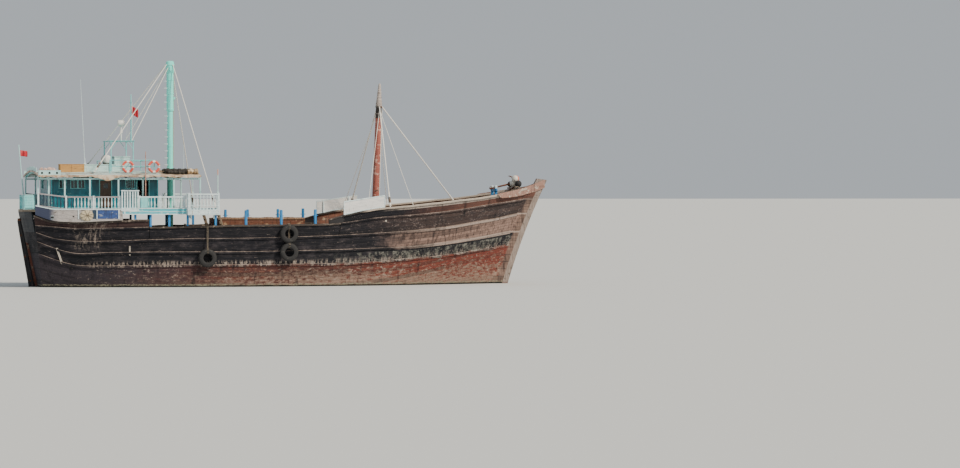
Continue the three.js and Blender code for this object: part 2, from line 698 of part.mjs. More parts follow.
// Transom board that closes the stern between the deck edge and the poop
function transomBoard() {
  const [s] = stations;
  const bulge = (z) => 330 * (0.25 + z / 5500);
  const [low, high] = [s.deck + gap, poopTop - poopThick - gap];
  const section = (y, share) => {
    const outer = (z) => transomX(z) - bulge(z) * share;
    return [[outer(low), y, low], [outer(low) + 70, y, low], [outer(high) + 70, y, high],
      [outer(high), y, high]];
  };
  const half = halfBreadth(s, low);
  const edge = half - bulwarkThick - 140;
  const edgeShare = 2 * (1 - edge / half);
  const board = loft([section(-edge, edgeShare), section(-half / 2, 1), section(half / 2, 1),
    section(edge, edgeShare)]);
  const sternHull = loft([hullRing(s, 330, 0.5), hullRing(s), hullRing(stations[1])]);
  return cut(board, seatTools(sternHull));
}

addPiece('transom_board', 'skyPaint', transomBoard());

// Rudder hung on the raked sternpost, its round stock running up the transom
const rudder = { low: -1640, high: 3850, stock: 90, thick: 150 };

function rudderSolid() {
  const { low, high, stock, thick } = rudder;
  const trailing = [[-15990, high], [-15840, 2900], [-15330, 0], [-15560, -500], [-15600, low]];
  const blade = sidePlate([[sternLine(low), low], ...trailing.reverse(), [sternLine(high), high]],
    -thick / 2, thick / 2);
  const stockBar = bar([sternLine(-1700), 0, -1700], [sternLine(high + 120), 0, high + 120],
    stock, stock, 16);
  const socket = bar([sternLine(-1780), 0, -1780], [sternLine(-1600), 0, -1600], 36, 36, 24);
  return cut(blade.add(stockBar), [socket]);
}

addPiece('rudder', 'keelTimber', rudderSolid());

// Four-bladed propeller on its shaft, in the opening ahead of the rudder
const screw = { x: -13900, z: -900, reach: 520, hub: 95, shaft: 60 };

function propeller() {
  const { x, z, reach, hub, shaft } = screw;
  const outline = new THREE.Shape();
  outline.absellipse(0, reach * 0.56, reach * 0.25, reach * 0.44, 0, 2 * Math.PI);
  const blades = [0, 1, 2, 3].map((k) => {
    const shape = new THREE.ExtrudeGeometry(outline, { depth: 26, bevelEnabled: false,
      curveSegments: 10 });
    shape.translate(0, 0, -13);
    shape.rotateY(Math.PI / 2 - 0.55);
    shape.rotateX(Math.PI / 2 + (k * Math.PI) / 2);
    shape.translate(x, 0, z);
    return solidOf(shape);
  });
  const boss = bar([x - 140, 0, z], [x + 140, 0, z], hub * 0.6, hub, 16);
  return joined([boss, bar([x, 0, z], [-12600, 0, z], shaft, shaft, 24), ...blades]);
}

addPiece('propeller', 'bronze', propeller());

// Helm: a pedestal and its wheel
const helm = { x: -8700, z: 5480, wheel: 400 };

function helmPedestal() {
  const { x, z } = helm;
  const column = box(x - 110, x + 110, -140, 140, houseFloor, z + 110);
  return cut(column, [bar([x - 130, 0, z], [x + 60, 0, z], 26, 26, 24)]);
}

function helmWheel() {
  const { x, z, wheel } = helm;
  const rim = new THREE.TorusGeometry(wheel * 0.78, 22, 5, 18);
  rim.rotateY(Math.PI / 2);
  rim.translate(x - 190, 0, z);
  const spokes = [0, 1, 2].map((k) => {
    const angle = (k * Math.PI) / 3;
    const [dy, dz] = [Math.cos(angle) * wheel, Math.sin(angle) * wheel];
    return bar([x - 190, -dy, z - dz], [x - 190, dy, z + dz], 14, 14, 6);
  });
  return joined([solidOf(rim), ...spokes, bar([x - 230, 0, z], [x - 150, 0, z], 60, 60, 12),
    bar([x - 160, 0, z], [x + 40, 0, z], 25, 25, 24)]);
}

addPiece('helm_pedestal', 'doorWood', helmPedestal());
addPiece('helm_wheel', 'doorWood', helmWheel());

// Lockers, raft canister and rails on the roof
function roofLocker() {
  const low = box(-12500, -10390, -1200, 1200, 6690, 7130);
  const high = box(-10400, -9500, -650, 650, 6690, 7600);
  const side = box(-13760, -12340, -1900, -1190, 6640, 7130);
  const whip = bar([-12200, -1050, 7100], [-12440, -1050, 12050], 22, 12, 6);
  return cut(joined([low, high, side, whip]), seatTools(roof()));
}

function raftCanister() {
  const z = 7130 + 60 + 240;
  const drum = bar([-10850, -950, z], [-10850, 150, z], 240, 240, 16);
  const feet = [-750, -100].map((y) => box(-11000, -10700, y, y + 90, 7130 + gap, z - 150));
  return joined([drum, ...feet]);
}

addPiece('roof_locker', 'whitePaint', roofLocker());
addPiece('raft_canister', 'whitePaint', raftCanister());

// Rail around the roof lockers, goal post, signal mast and its lamp
const frameBox = { x0: -10950, x1: -8350, half: 2450, top: 7350 };

function signalFrame() {
  const { x0, x1, half, top } = frameBox;
  const b = 28;
  const post = (x, y, high) => box(x - b, x + b, y - b, y + b, roofLevel(y) + 30, high);
  const alongX = (y, z) => box(x0 - b, x1 + b, y - b, y + b, z - b, z + b);
  const alongY = (x, z) => box(x - b, x + b, -half, half, z - b, z + b);
  const corners = [x0, (x0 + x1) / 2, x1].flatMap((x) => [post(x, -half, top), post(x, half, top)]);
  const rails = [7000, top].flatMap((z) => [alongX(-half, z), alongX(half, z), alongY(x1, z)]);
  const goal = [-1, 1].flatMap((k) => [post(-10700, k * 1300, 8500), post(-9400, k * 1300, 8500)]);
  const shelf = box(-10760, -9340, -1360, 1360, 8460, 8510);
  const mast = bar([-9320, 0, 8400], [-9320, 0, 11200], 40, 28, 8);
  const pole = bar([-9910, 0, 8480], [-9910, 0, 9400], 30, 30, 8);
  const lamp = bar([-9910, 0, 9340], [-9910, 0, 9730], 190, 190, 12);
  const tie = alongY(-9400, top);
  const frame = joined([...corners, ...rails, ...goal, shelf, mast, pole, lamp, tie]);
  return cut(frame, seatTools(roof()));
}

addPiece('signal_frame', 'palePaint', signalFrame());

// Life rings stand on the roof against the rail
const ringSize = { reach: 290, tube: 85 };

function ringSolid(x, y, z, reach, tube, sides = 8, around = 20) {
  const shape = new THREE.TorusGeometry(reach, tube, sides, around);
  shape.rotateX(Math.PI / 2);
  shape.translate(x, y, z);
  return solidOf(shape);
}

for (const [name, x] of [['life_ring_aft', -9911], ['life_ring_forward', -8390]]) {
  const { reach, tube } = ringSize;
  const y = -(frameBox.half + 28 + tube + gap);
  addPiece(name, 'orangeRing', ringSolid(x, y, 6975, reach, tube));
}

// Main stays: a masthead collar, two backstays, a middle stay and two forward stays
function stays(collar, ends, thick) {
  const [x, z, radius] = collar;
  const ring = bar([x, 0, z - 40], [x, 0, z + 40], radius + 22, radius + 22, 16);
  const hole = bar([x, 0, z - 400], [x, 0, z + 400], radius, radius, 16);
  const lines = ends.map((end) => {
    const [dx, dy] = [end[0] - x, end[1]];
    const reach = (radius + 12) / Math.hypot(dx, dy);
    return bar([x + dx * reach, dy * reach, z], end, thick, thick, 6);
  });
  return cut(ring.add(joined(lines)), [hole]);
}

function mainStays() {
  const ends = [[-11880, -2600, 6540], [-11880, 2600, 6540], [-4950, -3580, poopTop + 30],
    [-4950, 3580, poopTop + 30]];
  const chocks = [-1, 1].map((k) => box(-5010, -4890, k * 3580 - 60, k * 3580 + 60, poopTop + gap,
    poopTop + 90));
  const under = box(-5500, -4000, -4500, 4500, poopTop - 500, poopTop + gap);
  const all = joined([stays([mainMast.x, 13000, 235.5], ends, 14), ...chocks]);
  return cut(all, [...seatTools(roof()), under]);
}

function foreStays() {
  const { x, foot, lean } = foreMast;
  const z = 10600;
  const ends = [[5500, -3430, 4560], [4600, 3430, 4480], [10650, 0, foredeckZ - 20]];
  const bow = bulwark(0.6055, 1, 'top');
  const rails = [bow, bow.mirror([0, 1, 0])].flatMap(seatTools);
  const deckTop = box(9000, 12000, -900, 900, foredeckZ - 500, foredeckZ + gap);
  return cut(stays([x + lean * (z - foot), z, 184], ends, 14), [...rails, deckTop]);
}

addPiece('main_stays', 'steel', mainStays());
addPiece('fore_stays', 'steel', foreStays());

// Blank boards that stand on the bow rails
function nameboard() {
  const ends = [[2620, 4180 - 160, 4960], [5090, 4660 - 160, 5320]];
  const board = loft(ends.map(([x, low, high]) => {
    const y = sideY(x, 4300) + 5;
    return [[x, y, low], [x, y + 50, low], [x, y + 50, high], [x, y, high]];
  }));
  return cut(board, seatTools(bulwark(0.6055, 1, 'top')));
}

for (const [side, sideName] of sides) {
  addPiece(`nameboard_${sideName}`, 'whitePaint', flip(nameboard(), side));
}

// Tyre fenders on their ropes. Columns: name, side, X, then the heights of the tyre centres
const tyre = { reach: 400, tube: 130, rope: 18 };
const fenders = [
  ['fender_aft_starboard', -1, -5480, [1690]],
  ['fender_middle_starboard', -1, -690, [3080, 2010]],
  ['fender_aft_port', 1, -5480, [1690]],
  ['fender_middle_port', 1, -690, [2100]],
];

function fender(x, heights) {
  const { reach, tube, rope } = tyre;
  const rail = stationNear(x, 3500).railZ;
  const capY = sideY(x, rail) + 60;
  const topTyre = Math.max(...heights);
  const inner = topTyre > 2600 ? capY + gap : sideY(x, 2070) + plankOut + 12;
  const y = inner + tube;
  const tyres = heights.map((z) => ringSolid(x, y, z, reach, tube, 8, 20));
  const ropeY = capY + rope + 3;
  const low = Math.min(...heights) + reach;
  const hook = rail + rope + gap;
  const parts = [bar([x, ropeY, hook + rope * 0.6], [x, Math.max(y, ropeY), low], rope, rope, 6),
    bar([x, ropeY, hook], [x, capY - 260, hook], rope, rope, 6)];
  if (heights.length > 1) parts.push(bar([x, y, topTyre - reach], [x, y, low], rope, rope, 6));
  return cut(joined([...tyres, ...parts]), seatTools(mainBulwark()));
}

for (const [name, side, x, heights] of fenders) {
  addPiece(name, 'tyreRubber', flip(fender(x, heights), side));
}

// Windlass on the foredeck: two cheeks and a drum that turns between them
const windlass = { x: 10900, z: foredeckZ + 480, half: 620, drum: 135, axle: 40 };

function windlassFrame() {
  const { x, z, half, axle } = windlass;
  const cheek = (k) => box(x - 150, x + 150, k * half - 55, k * half + 55, foredeckZ + gap, z + 170);
  const sill = box(x - 240, x - 140, -half - 150, half + 150, foredeckZ + gap, foredeckZ + 130);
  const bore = bar([x, -900, z], [x, 900, z], axle + 1, axle + 1, 24);
  return cut(joined([cheek(-1), cheek(1), sill]), [bore]);
}

function windlassDrum() {
  const { x, z, half, drum, axle } = windlass;
  const reach = half - 75;
  const cores = [bar([x, -reach, z], [x, reach, z], drum, drum, 12),
    bar([x, -half - 330, z], [x, half + 330, z], axle, axle, 24)];
  const flanges = [-0.92, -0.3, 0.3, 0.92].map((k) => bar([x, k * reach - 25, z],
    [x, k * reach + 25, z], drum + 60, drum + 60, 12));
  const heads = [-1, 1].map((k) => bar([x, k * (half + 90), z], [x, k * (half + 320), z], 85, 110, 12));
  return joined([...cores, ...flanges, ...heads]);
}

addPiece('windlass_frame', 'steel', windlassFrame());
addPiece('windlass_drum', 'steel', windlassDrum());

// Bitts with their crossbeam, and the anchor stowed over them at the bow
const bitts = { x: 12750, half: 420, top: 5900, beamZ: 5560 };

function bowBitts() {
  const { x, half, top, beamZ } = bitts;
  const posts = [-1, 1].map((k) => box(x - 75, x + 75, k * half - 75, k * half + 75,
    foredeckZ + gap, top));
  const knees = [-1, 1].map((k) => box(x + 60, x + 420, k * half - 50, k * half + 50,
    foredeckZ + gap, foredeckZ + 160));
  return joined([...posts, ...knees, box(x - 60, x + 60, -half - 160, half + 160, beamZ, beamZ + 140)]);
}

function anchor() {
  const { x, beamZ } = bitts;
  const z = beamZ + 140 + 50 + 12;
  const crown = [x + 1350, -180, z + 330];
  const arms = [-1, 1].map((k) => bar(crown, [x + 900, -180, z + 290 + k * 430], 50, 38, 8));
  const flukes = [-1, 1].map((k) => box(x + 830, x + 1010, -290, -70, z + 270 + k * 430 - 20,
    z + 270 + k * 430 + 20));
  const shank = bar([x - 280, -180, z - 40], crown, 48, 55, 8);
  const stock = bar([x - 210, -560, z - 26], [x - 210, 200, z - 26], 32, 32, 8);
  const seat = box(x - 60, x + 60, -240, -120, beamZ + 140 + gap, z);
  return joined([shank, ...arms, ...flukes, stock, seat]);
}

addPiece('bow_bitts', 'skyPaint', bowBitts());
addPiece('anchor', 'steel', anchor());

// Closet box that overhangs the starboard quarter on two arms
function sternBox() {
  const walls = box(-15990, -15400, -2960, -2330, poopTop + 70, 5365);
  const inside = box(-15940, -15450, -2910, -2280, poopTop + 130, 5300);
  const arms = [-2600, -2420].map((y) => box(-15960, -14900, y, y + 90, poopTop + gap, poopTop + 90));
  return joined([cut(walls, [inside]), ...arms]);
}

// Ensign staff with its small flag, and the long flag on the signal mast
const staff = { x: -15560, foot: poopTop + gap, top: 8250, lean: -0.09 };

function ensignStaff() {
  const { x, foot, top, lean } = staff;
  const chock = box(x - 90, x + 90, -90, 90, foot, foot + 120);
  const pole = bar([x, 0, foot + 20], [x + lean * (top - foot), 0, top], 30, 20, 8);
  const level = box(x - 500, x + 500, -200, 200, foot - 300, foot);
  return cut(joined([chock, pole]), [level]);
}

function flag(x, z0, z1, wide) {
  return box(x, x + wide, -4, 4, z0, z1);
}

addPiece('stern_box', 'palePaint', sternBox());
addPiece('ensign_staff', 'whitePaint', ensignStaff());
addPiece('ensign', 'flagRed', flag(staff.x + staff.lean * (7600 - staff.foot) + 22.2, 7600, 7950, 420));
addPiece('signal_flag', 'flagRed', flag(-9285.7, 9800, 10560, 290));

export default boat;
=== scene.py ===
# Wooden cargo dhow, afloat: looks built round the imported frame. Metres, +X to the bow, +Z up.
import json
import math

import bmesh
import bpy
import numpy as np
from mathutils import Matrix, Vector

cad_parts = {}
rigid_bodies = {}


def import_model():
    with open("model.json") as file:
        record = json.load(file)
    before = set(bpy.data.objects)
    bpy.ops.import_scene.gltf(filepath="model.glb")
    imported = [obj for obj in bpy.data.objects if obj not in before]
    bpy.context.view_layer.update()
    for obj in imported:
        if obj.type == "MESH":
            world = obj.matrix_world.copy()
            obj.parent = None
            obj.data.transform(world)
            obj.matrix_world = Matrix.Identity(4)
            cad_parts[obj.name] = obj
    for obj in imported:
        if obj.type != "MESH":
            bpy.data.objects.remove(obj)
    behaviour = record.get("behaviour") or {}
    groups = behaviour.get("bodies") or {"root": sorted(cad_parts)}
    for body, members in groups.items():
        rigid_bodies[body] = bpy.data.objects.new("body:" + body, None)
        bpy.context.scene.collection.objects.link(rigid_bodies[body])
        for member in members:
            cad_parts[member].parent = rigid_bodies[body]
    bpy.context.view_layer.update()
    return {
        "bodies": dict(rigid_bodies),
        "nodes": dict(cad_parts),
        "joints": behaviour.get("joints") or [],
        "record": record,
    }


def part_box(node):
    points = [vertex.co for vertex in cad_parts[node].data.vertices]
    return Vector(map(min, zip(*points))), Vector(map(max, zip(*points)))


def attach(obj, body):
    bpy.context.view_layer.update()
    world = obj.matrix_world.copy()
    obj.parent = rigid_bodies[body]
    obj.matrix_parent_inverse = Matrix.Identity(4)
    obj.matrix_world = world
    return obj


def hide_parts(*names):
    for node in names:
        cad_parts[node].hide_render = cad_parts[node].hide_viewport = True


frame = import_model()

scene = bpy.context.scene
sideNames = ("starboard", "port")


# sRGB hex to linear: a dark channel is divided by 12.92, the rest raised to the power 2.4
def linear(hexColour):
    channels = [int(hexColour[i:i + 2], 16) / 255 for i in (1, 3, 5)]
    return [c / 12.92 if c <= 0.04045 else ((c + 0.055) / 1.055) ** 2.4 for c in channels] + [1.0]


# Adds one shader node: its properties, its fixed inputs and what feeds it
def addNode(tree, kind, settings=None, inputs=None, links=None):
    node = tree.nodes.new("ShaderNode" + kind)
    for key, value in (settings or {}).items():
        setattr(node, key, value)
    for key, value in (inputs or {}).items():
        node.inputs[key].default_value = value
    for key, source in (links or {}).items():
        tree.links.new(source, node.inputs[key])
    return node


# One mesh from a list of (points, faces) parts. Faces are turned outwards; edges sharper than
# the angle stay crisp. faceSlots gives each part the number of its material.
def meshPiece(name, parts, materials, body="hull", replaces=(), slot=None, sharp=35, faceSlots=None,
              outwards=True, weld=False):
    points, faces, slots, count = [], [], [], 0
    for i, (p, f) in enumerate(parts):
        p = np.asarray(p, float).reshape(-1, 3)
        points.append(p)
        faces += [[int(k) + count for k in face] for face in f]
        slots += [faceSlots[i] if faceSlots else 0] * len(f)
        count += len(p)
    mesh = bpy.data.meshes.new(name)
    mesh.from_pydata(np.concatenate(points).tolist(), [], faces)
    mesh.polygons.foreach_set("material_index", slots)
    if outwards:
        work = bmesh.new()
        work.from_mesh(mesh)
        if weld:
            bmesh.ops.remove_doubles(work, verts=work.verts, dist=0.0002)
        bmesh.ops.recalc_face_normals(work, faces=work.faces)
        work.to_mesh(mesh)
        work.free()
    mesh.polygons.foreach_set("use_smooth", [True] * len(mesh.polygons))
    mesh.set_sharp_from_angle(angle=math.radians(sharp))
    for material in materials if isinstance(materials, list) else [materials]:
        mesh.materials.append(material)
    piece = bpy.data.objects.new(name, mesh)
    scene.collection.objects.link(piece)
    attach(piece, body)
    if replaces:
        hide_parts(*replaces)
    return piece


# Stores one number per vertex for a shader to read
def setAttribute(piece, name, values):
    layer = piece.data.attributes.new(name, "FLOAT", "POINT")
    layer.data.foreach_set("value", np.asarray(values, float).ravel())


# Quads of a grid of rows by columns, wrapped where a side is closed
def gridFaces(rows, columns, closedRows=False, closedColumns=False):
    r = np.arange(rows if closedRows else rows - 1)
    c = np.arange(columns if closedColumns else columns - 1)
    r, c = [a.ravel() for a in np.meshgrid(r, c, indexing="ij")]
    r1, c1 = (r + 1) % rows, (c + 1) % columns
    return np.stack([r * columns + c, r * columns + c1, r1 * columns + c1, r1 * columns + c], 1).tolist()


# Grid of points (rows, columns, 3) closed round its columns, with flat ends
def closedLoft(points):
    rows, columns = points.shape[:2]
    faces = gridFaces(rows, columns, False, True)
    faces += [list(range(columns)), list(range((rows - 1) * columns, rows * columns))]
    return points.reshape(-1, 3), faces


# Board or block between two corners, every edge cut back by the bevel: a lofted rounded section
def blockPart(low, high, bevel=0.006):
    low, high = np.asarray(low, float), np.asarray(high, float)
    b = min(bevel, float((high - low).min()) * 0.45)
    corner = np.array([[0, 0], [0, 1], [1, 1], [1, 0]])
    pull = np.array([[b, 0], [0, b], [0, -b], [b, 0], [-b, 0], [0, -b], [0, b], [-b, 0]])
    ring = low[:2] + np.repeat(corner, 2, 0) * (high - low)[:2] + pull
    centre = (low + high)[:2] / 2
    shrink = np.clip(1 - 2 * b / (high - low)[:2], 0.05, 1)
    levels = [(low[2], shrink), (low[2] + b, 1), (high[2] - b, 1), (high[2], shrink)]
    return closedLoft(np.stack([np.column_stack([centre + (ring - centre) * s, np.full(8, z)])
                                for z, s in levels]))


# Section profile (across, up) carried along a path; across points to the left of the path
def carriedPart(profile, path):
    profile, path = np.asarray(profile, float), np.asarray(path, float)
    ahead = np.gradient(path, axis=0)[:, :2]
    ahead /= np.linalg.norm(ahead, axis=1)[:, None]
    left = pointsOf(-ahead[:, 1], ahead[:, 0], 0)
    points = path[:, None] + left[:, None] * profile[None, :, :1]
    points[:, :, 2] += profile[None, :, 1]
    return closedLoft(points)


# Rectangle between two across and two up limits with its corners cut, for carriedPart
def softSection(a0, a1, h0, h1, cut=0.01):
    return [(a0 + cut, h0), (a1 - cut, h0), (a1, h0 + cut), (a1, h1 - cut), (a1 - cut, h1),
            (a0 + cut, h1), (a0, h1 - cut), (a0, h0 + cut)]


# Circle of the radius swept along the path, each ring square to the path there
def tubePart(path, radius, sides=8, closed=False):
    path = np.asarray(path, float)
    radius = np.broadcast_to(np.asarray(radius, float), (len(path),))
    ahead = np.roll(path, -1, 0) - np.roll(path, 1, 0) if closed else np.gradient(path, axis=0)
    ahead /= np.linalg.norm(ahead, axis=1)[:, None]
    guide = np.array([0, 0, 1.0]) if abs(ahead[:, 2]).mean() < 0.8 else np.array([0, 1.0, 0])
    across = np.cross(ahead, guide)
    across /= np.linalg.norm(across, axis=1)[:, None]
    up = np.cross(across, ahead)
    turn = np.linspace(0, 2 * np.pi, sides, endpoint=False)
    ring = across[:, None] * np.cos(turn)[None, :, None] + up[:, None] * np.sin(turn)[None, :, None]
    points = path[:, None] + ring * radius[:, None, None]
    if closed:
        return points.reshape(-1, 3), gridFaces(len(path), sides, True, True)
    return closedLoft(points)


# Profile of (radius, height) turned about the X, Y or Z axis through a centre
def lathePart(profile, centre, sides=16, axis="Z"):
    profile = np.asarray(profile, float)
    turn = np.linspace(0, 2 * np.pi, sides, endpoint=False)
    r, h = profile[:, 0][:, None], profile[:, 1][:, None]
    x, y, z = r * np.cos(turn), r * np.sin(turn), np.broadcast_to(h, (len(profile), sides))
    order = {"Z": (x, y, z), "X": (z, x, y), "Y": (y, z, x)}[axis]
    return closedLoft(np.stack(order, -1) + np.asarray(centre, float))


# The same parts on the other side of the centreline
def mirrored(parts):
    return [(np.asarray(p, float) * [1, -1, 1], [list(f)[::-1] for f in faces]) for p, faces in parts]


# The parts as they are on the port side, mirrored for the starboard side
def onSide(parts, sideName):
    return parts if sideName == "port" else mirrored(parts)


# One piece on each side; a node named here is replaced by the piece of its own side
def pairedPieces(name, parts, materials, node=None, **more):
    for sideName in sideNames:
        replaces = [f"{node}_{sideName}"] if node else ()
        meshPiece(f"{name}_{sideName}", onSide(parts, sideName), materials, replaces=replaces, **more)


# Block about an upright centre line: half sizes along X and Y, then foot and head
def postPart(x, y, halfX, halfY, foot, head, bevel=0.006):
    return blockPart((x - halfX, y - halfY, foot), (x + halfX, y + halfY, head), bevel)


# Points from their X, Y and Z; a single number counts for all of them
def pointsOf(x, y, z):
    return np.stack(np.broadcast_arrays(x, y, z), 1).astype(float)


# Loft along a part: one line of points for each corner of its section
def cornerLoft(corners):
    return closedLoft(np.stack([pointsOf(*corner) for corner in corners], 1))


# Closed circle or oval round a centre, in the plane across the X, Y or Z axis: cosine first, sine second
def circlePath(centre, wide, tall, axis, count):
    turn = np.linspace(0, 2 * np.pi, count, endpoint=False)
    a, b = wide * np.cos(turn), tall * np.sin(turn)
    order = {"X": (0 * a, a, b), "Y": (a, 0 * a, b), "Z": (a, b, 0 * a)}[axis]
    return np.stack(order, -1) + np.asarray(centre, float)


# Smooth curve through a few points: uniform Catmull-Rom, so many samples for each stretch
def smoothPath(points, samples=8):
    p = np.asarray(points, float)
    p = np.concatenate([[2 * p[0] - p[1]], p, [2 * p[-1] - p[-2]]])
    t = np.linspace(0, 1, samples, endpoint=False)[:, None, None]
    a, b, c, d = p[:-3], p[1:-2], p[2:-1], p[3:]
    square, cube = 2 * a - 5 * b + 4 * c - d, 3 * b - a - 3 * c + d
    line = 0.5 * (2 * b + (c - a) * t + square * t ** 2 + cube * t ** 3)
    return np.concatenate([line.transpose(1, 0, 2).reshape(-1, 3), p[-2:-1]])


# Straight line between two points with a slight sag at its middle
def lineBetween(a, b, count=2, sag=0.0):
    t = np.linspace(0, 1, count)[:, None]
    path = np.asarray(a, float) * (1 - t) + np.asarray(b, float) * t
    path[:, 2] -= (4 * sag * t * (1 - t))[:, 0]
    return path


# Camera at the photo's angle: long lens, low, 15 degrees abaft the starboard beam
camera = {"place": (-40.57, -195.71, 5.5), "heading": 15.0, "dip": 0.7126, "lens": 126.0}


def makeCamera():
    data = bpy.data.cameras.new("photoCamera")
    data.lens = camera["lens"]
    data.sensor_width = 36
    data.clip_end = 5000
    eye = bpy.data.objects.new("photoCamera", data)
    eye.location = camera["place"]
    turn, drop = math.radians(camera["heading"]), math.radians(camera["dip"])
    look = Vector((math.sin(turn) * math.cos(drop), math.cos(turn) * math.cos(drop), -math.sin(drop)))
    eye.rotation_euler = look.to_track_quat("-Z", "Y").to_euler()
    scene.collection.objects.link(eye)
    scene.camera = eye


# Pale floor at the waterline and soft studio light from the starboard bow
studio = {"floor": "#cdd0cf", "sky": "#dfe6ec", "skyPower": 0.62, "sun": 4.6, "softness": 7.0,
          "sunFrom": (0.55, -0.62, 0.72), "size": 2500.0}


def makeStudio():
    world = bpy.data.worlds.new("studioSky")
    world.use_nodes = True
    background = world.node_tree.nodes["Background"]
    background.inputs["Color"].default_value = linear(studio["sky"])
    background.inputs["Strength"].default_value = studio["skyPower"]
    scene.world = world
    data = bpy.data.lights.new("sun", "SUN")
    data.energy = studio["sun"]
    data.angle = math.radians(studio["softness"])
    data.color = linear("#fff2e0")[:3]
    sun = bpy.data.objects.new("sun", data)
    sun.rotation_euler = Vector(studio["sunFrom"]).to_track_quat("Z", "Y").to_euler()
    scene.collection.objects.link(sun)
    s = studio["size"]
    mesh = bpy.data.meshes.new("floor")
    mesh.from_pydata([(-s, -s, 0), (s, -s, 0), (s, s, 0), (-s, s, 0)], [], [(0, 1, 2, 3)])
    floor = bpy.data.objects.new("floor", mesh)
    scene.collection.objects.link(floor)
    material = bpy.data.materials.new("floorPaint")
    material.use_nodes = True
    shader = material.node_tree.nodes["Principled BSDF"]
    shader.inputs["Base Color"].default_value = linear(studio["floor"])
    shader.inputs["Roughness"].default_value = 0.9
    mesh.materials.append(material)


makeCamera()
makeStudio()
print("camera and studio placed")


# One sum in a shader: each of its terms is a number or what feeds it
def mathNode(tree, operation, *terms):
    fixed = {k: term for k, term in enumerate(terms) if isinstance(term, (int, float))}
    fed = {k: term for k, term in enumerate(terms) if k not in fixed}
    return addNode(tree, "Math", {"operation": operation}, fixed, fed).outputs[0]


# Eased step: 0 below low, 1 above high, or the other way round where high is the smaller
def easedStep(tree, value, low, high):
    return addNode(tree, "MapRange", {"interpolation_type": "SMOOTHSTEP"},
                   {"From Min": low, "From Max": high}, {"Value": value}).outputs[0]


# Uneven tone whose lumps have the given sizes along X, Y and Z, in metres
def mottle(tree, place, sizes, detail=5.0, roughness=0.6, shift=0.0):
    scale = [1 / s for s in sizes]
    spread = addNode(tree, "Mapping", None, {"Scale": scale, "Location": [shift] * 3}, {"Vector": place})
    return addNode(tree, "TexNoise", None, {"Scale": 1.0, "Detail": detail, "Roughness": roughness},
                   {"Vector": spread.outputs[0]}).outputs[0]


# Lays a colour over another where the mask rises from low to high
def layOver(tree, under, over, mask, low, high):
    node = addNode(tree, "Mix", {"data_type": "RGBA"}, None, {0: easedStep(tree, mask, low, high)})
    for socket, colour in ((6, under), (7, over)):
        if isinstance(colour, str):
            node.inputs[socket].default_value = linear(colour)
        else:
            tree.links.new(colour, node.inputs[socket])
    return node.outputs[2]


# Seam mask and a tone for each plank: the count's fraction near 0 or 1 is a seam, its whole part a tone
def plankPattern(tree, count, width):
    away = mathNode(tree, "PINGPONG", mathNode(tree, "FRACT", count), 0.5)
    seam = addNode(tree, "MapRange", None, {"From Min": 0.0, "From Max": width, "To Min": 1.0, "To Max": 0.0},
                   {"Value": away}).outputs[0]
    whole = mathNode(tree, "FLOOR", count)
    tone = addNode(tree, "TexWhiteNoise", {"noise_dimensions": "1D"}, None, {"W": whole}).outputs[0]
    return seam, tone, whole


# Bump and roughness from one height; strength and depth say how far the surface stands
def relief(tree, shader, height, strength, depth, roughLow, roughHigh):
    bump = addNode(tree, "Bump", None, {"Strength": strength, "Distance": depth}, {"Height": height})
    tree.links.new(bump.outputs[0], shader.inputs["Normal"])
    rough = addNode(tree, "MapRange", None, {"From Min": 0.3, "From Max": 0.7, "To Min": roughLow,
                    "To Max": roughHigh}, {"Value": height})
    tree.links.new(rough.outputs[0], shader.inputs["Roughness"])


# New material, its node tree, its main shader and the place on the object
def blankMaterial(name):
    material = bpy.data.materials.new(name)
    material.use_nodes = True
    tree = material.node_tree
    return material, tree, tree.nodes["Principled BSDF"], addNode(tree, "TexCoord").outputs["Object"]


# What a plain finish may name: base and shade are its two tones, worn what shows through where it has
# gone, streak what runs down it, grain the lump sizes, seam (axis, pitch, line width) its boards
plainFinish = {"base": "#808080", "shade": "#707070", "grain": (0.5, 0.03, 0.03), "worn": None, "wear": 0.45,
               "patch": (0.35, 0.35, 0.2), "streak": None, "streakFrom": 0.56,
               "streakSize": (0.09, 0.09, 1.1), "seam": None, "seamTone": "#2a241f", "rough": (0.5, 0.75),
               "metal": 0.0, "bump": 0.5, "depth": 0.003, "ior": 1.5, "coat": 0.0, "boardTone": 0.5,
               "fade": None}


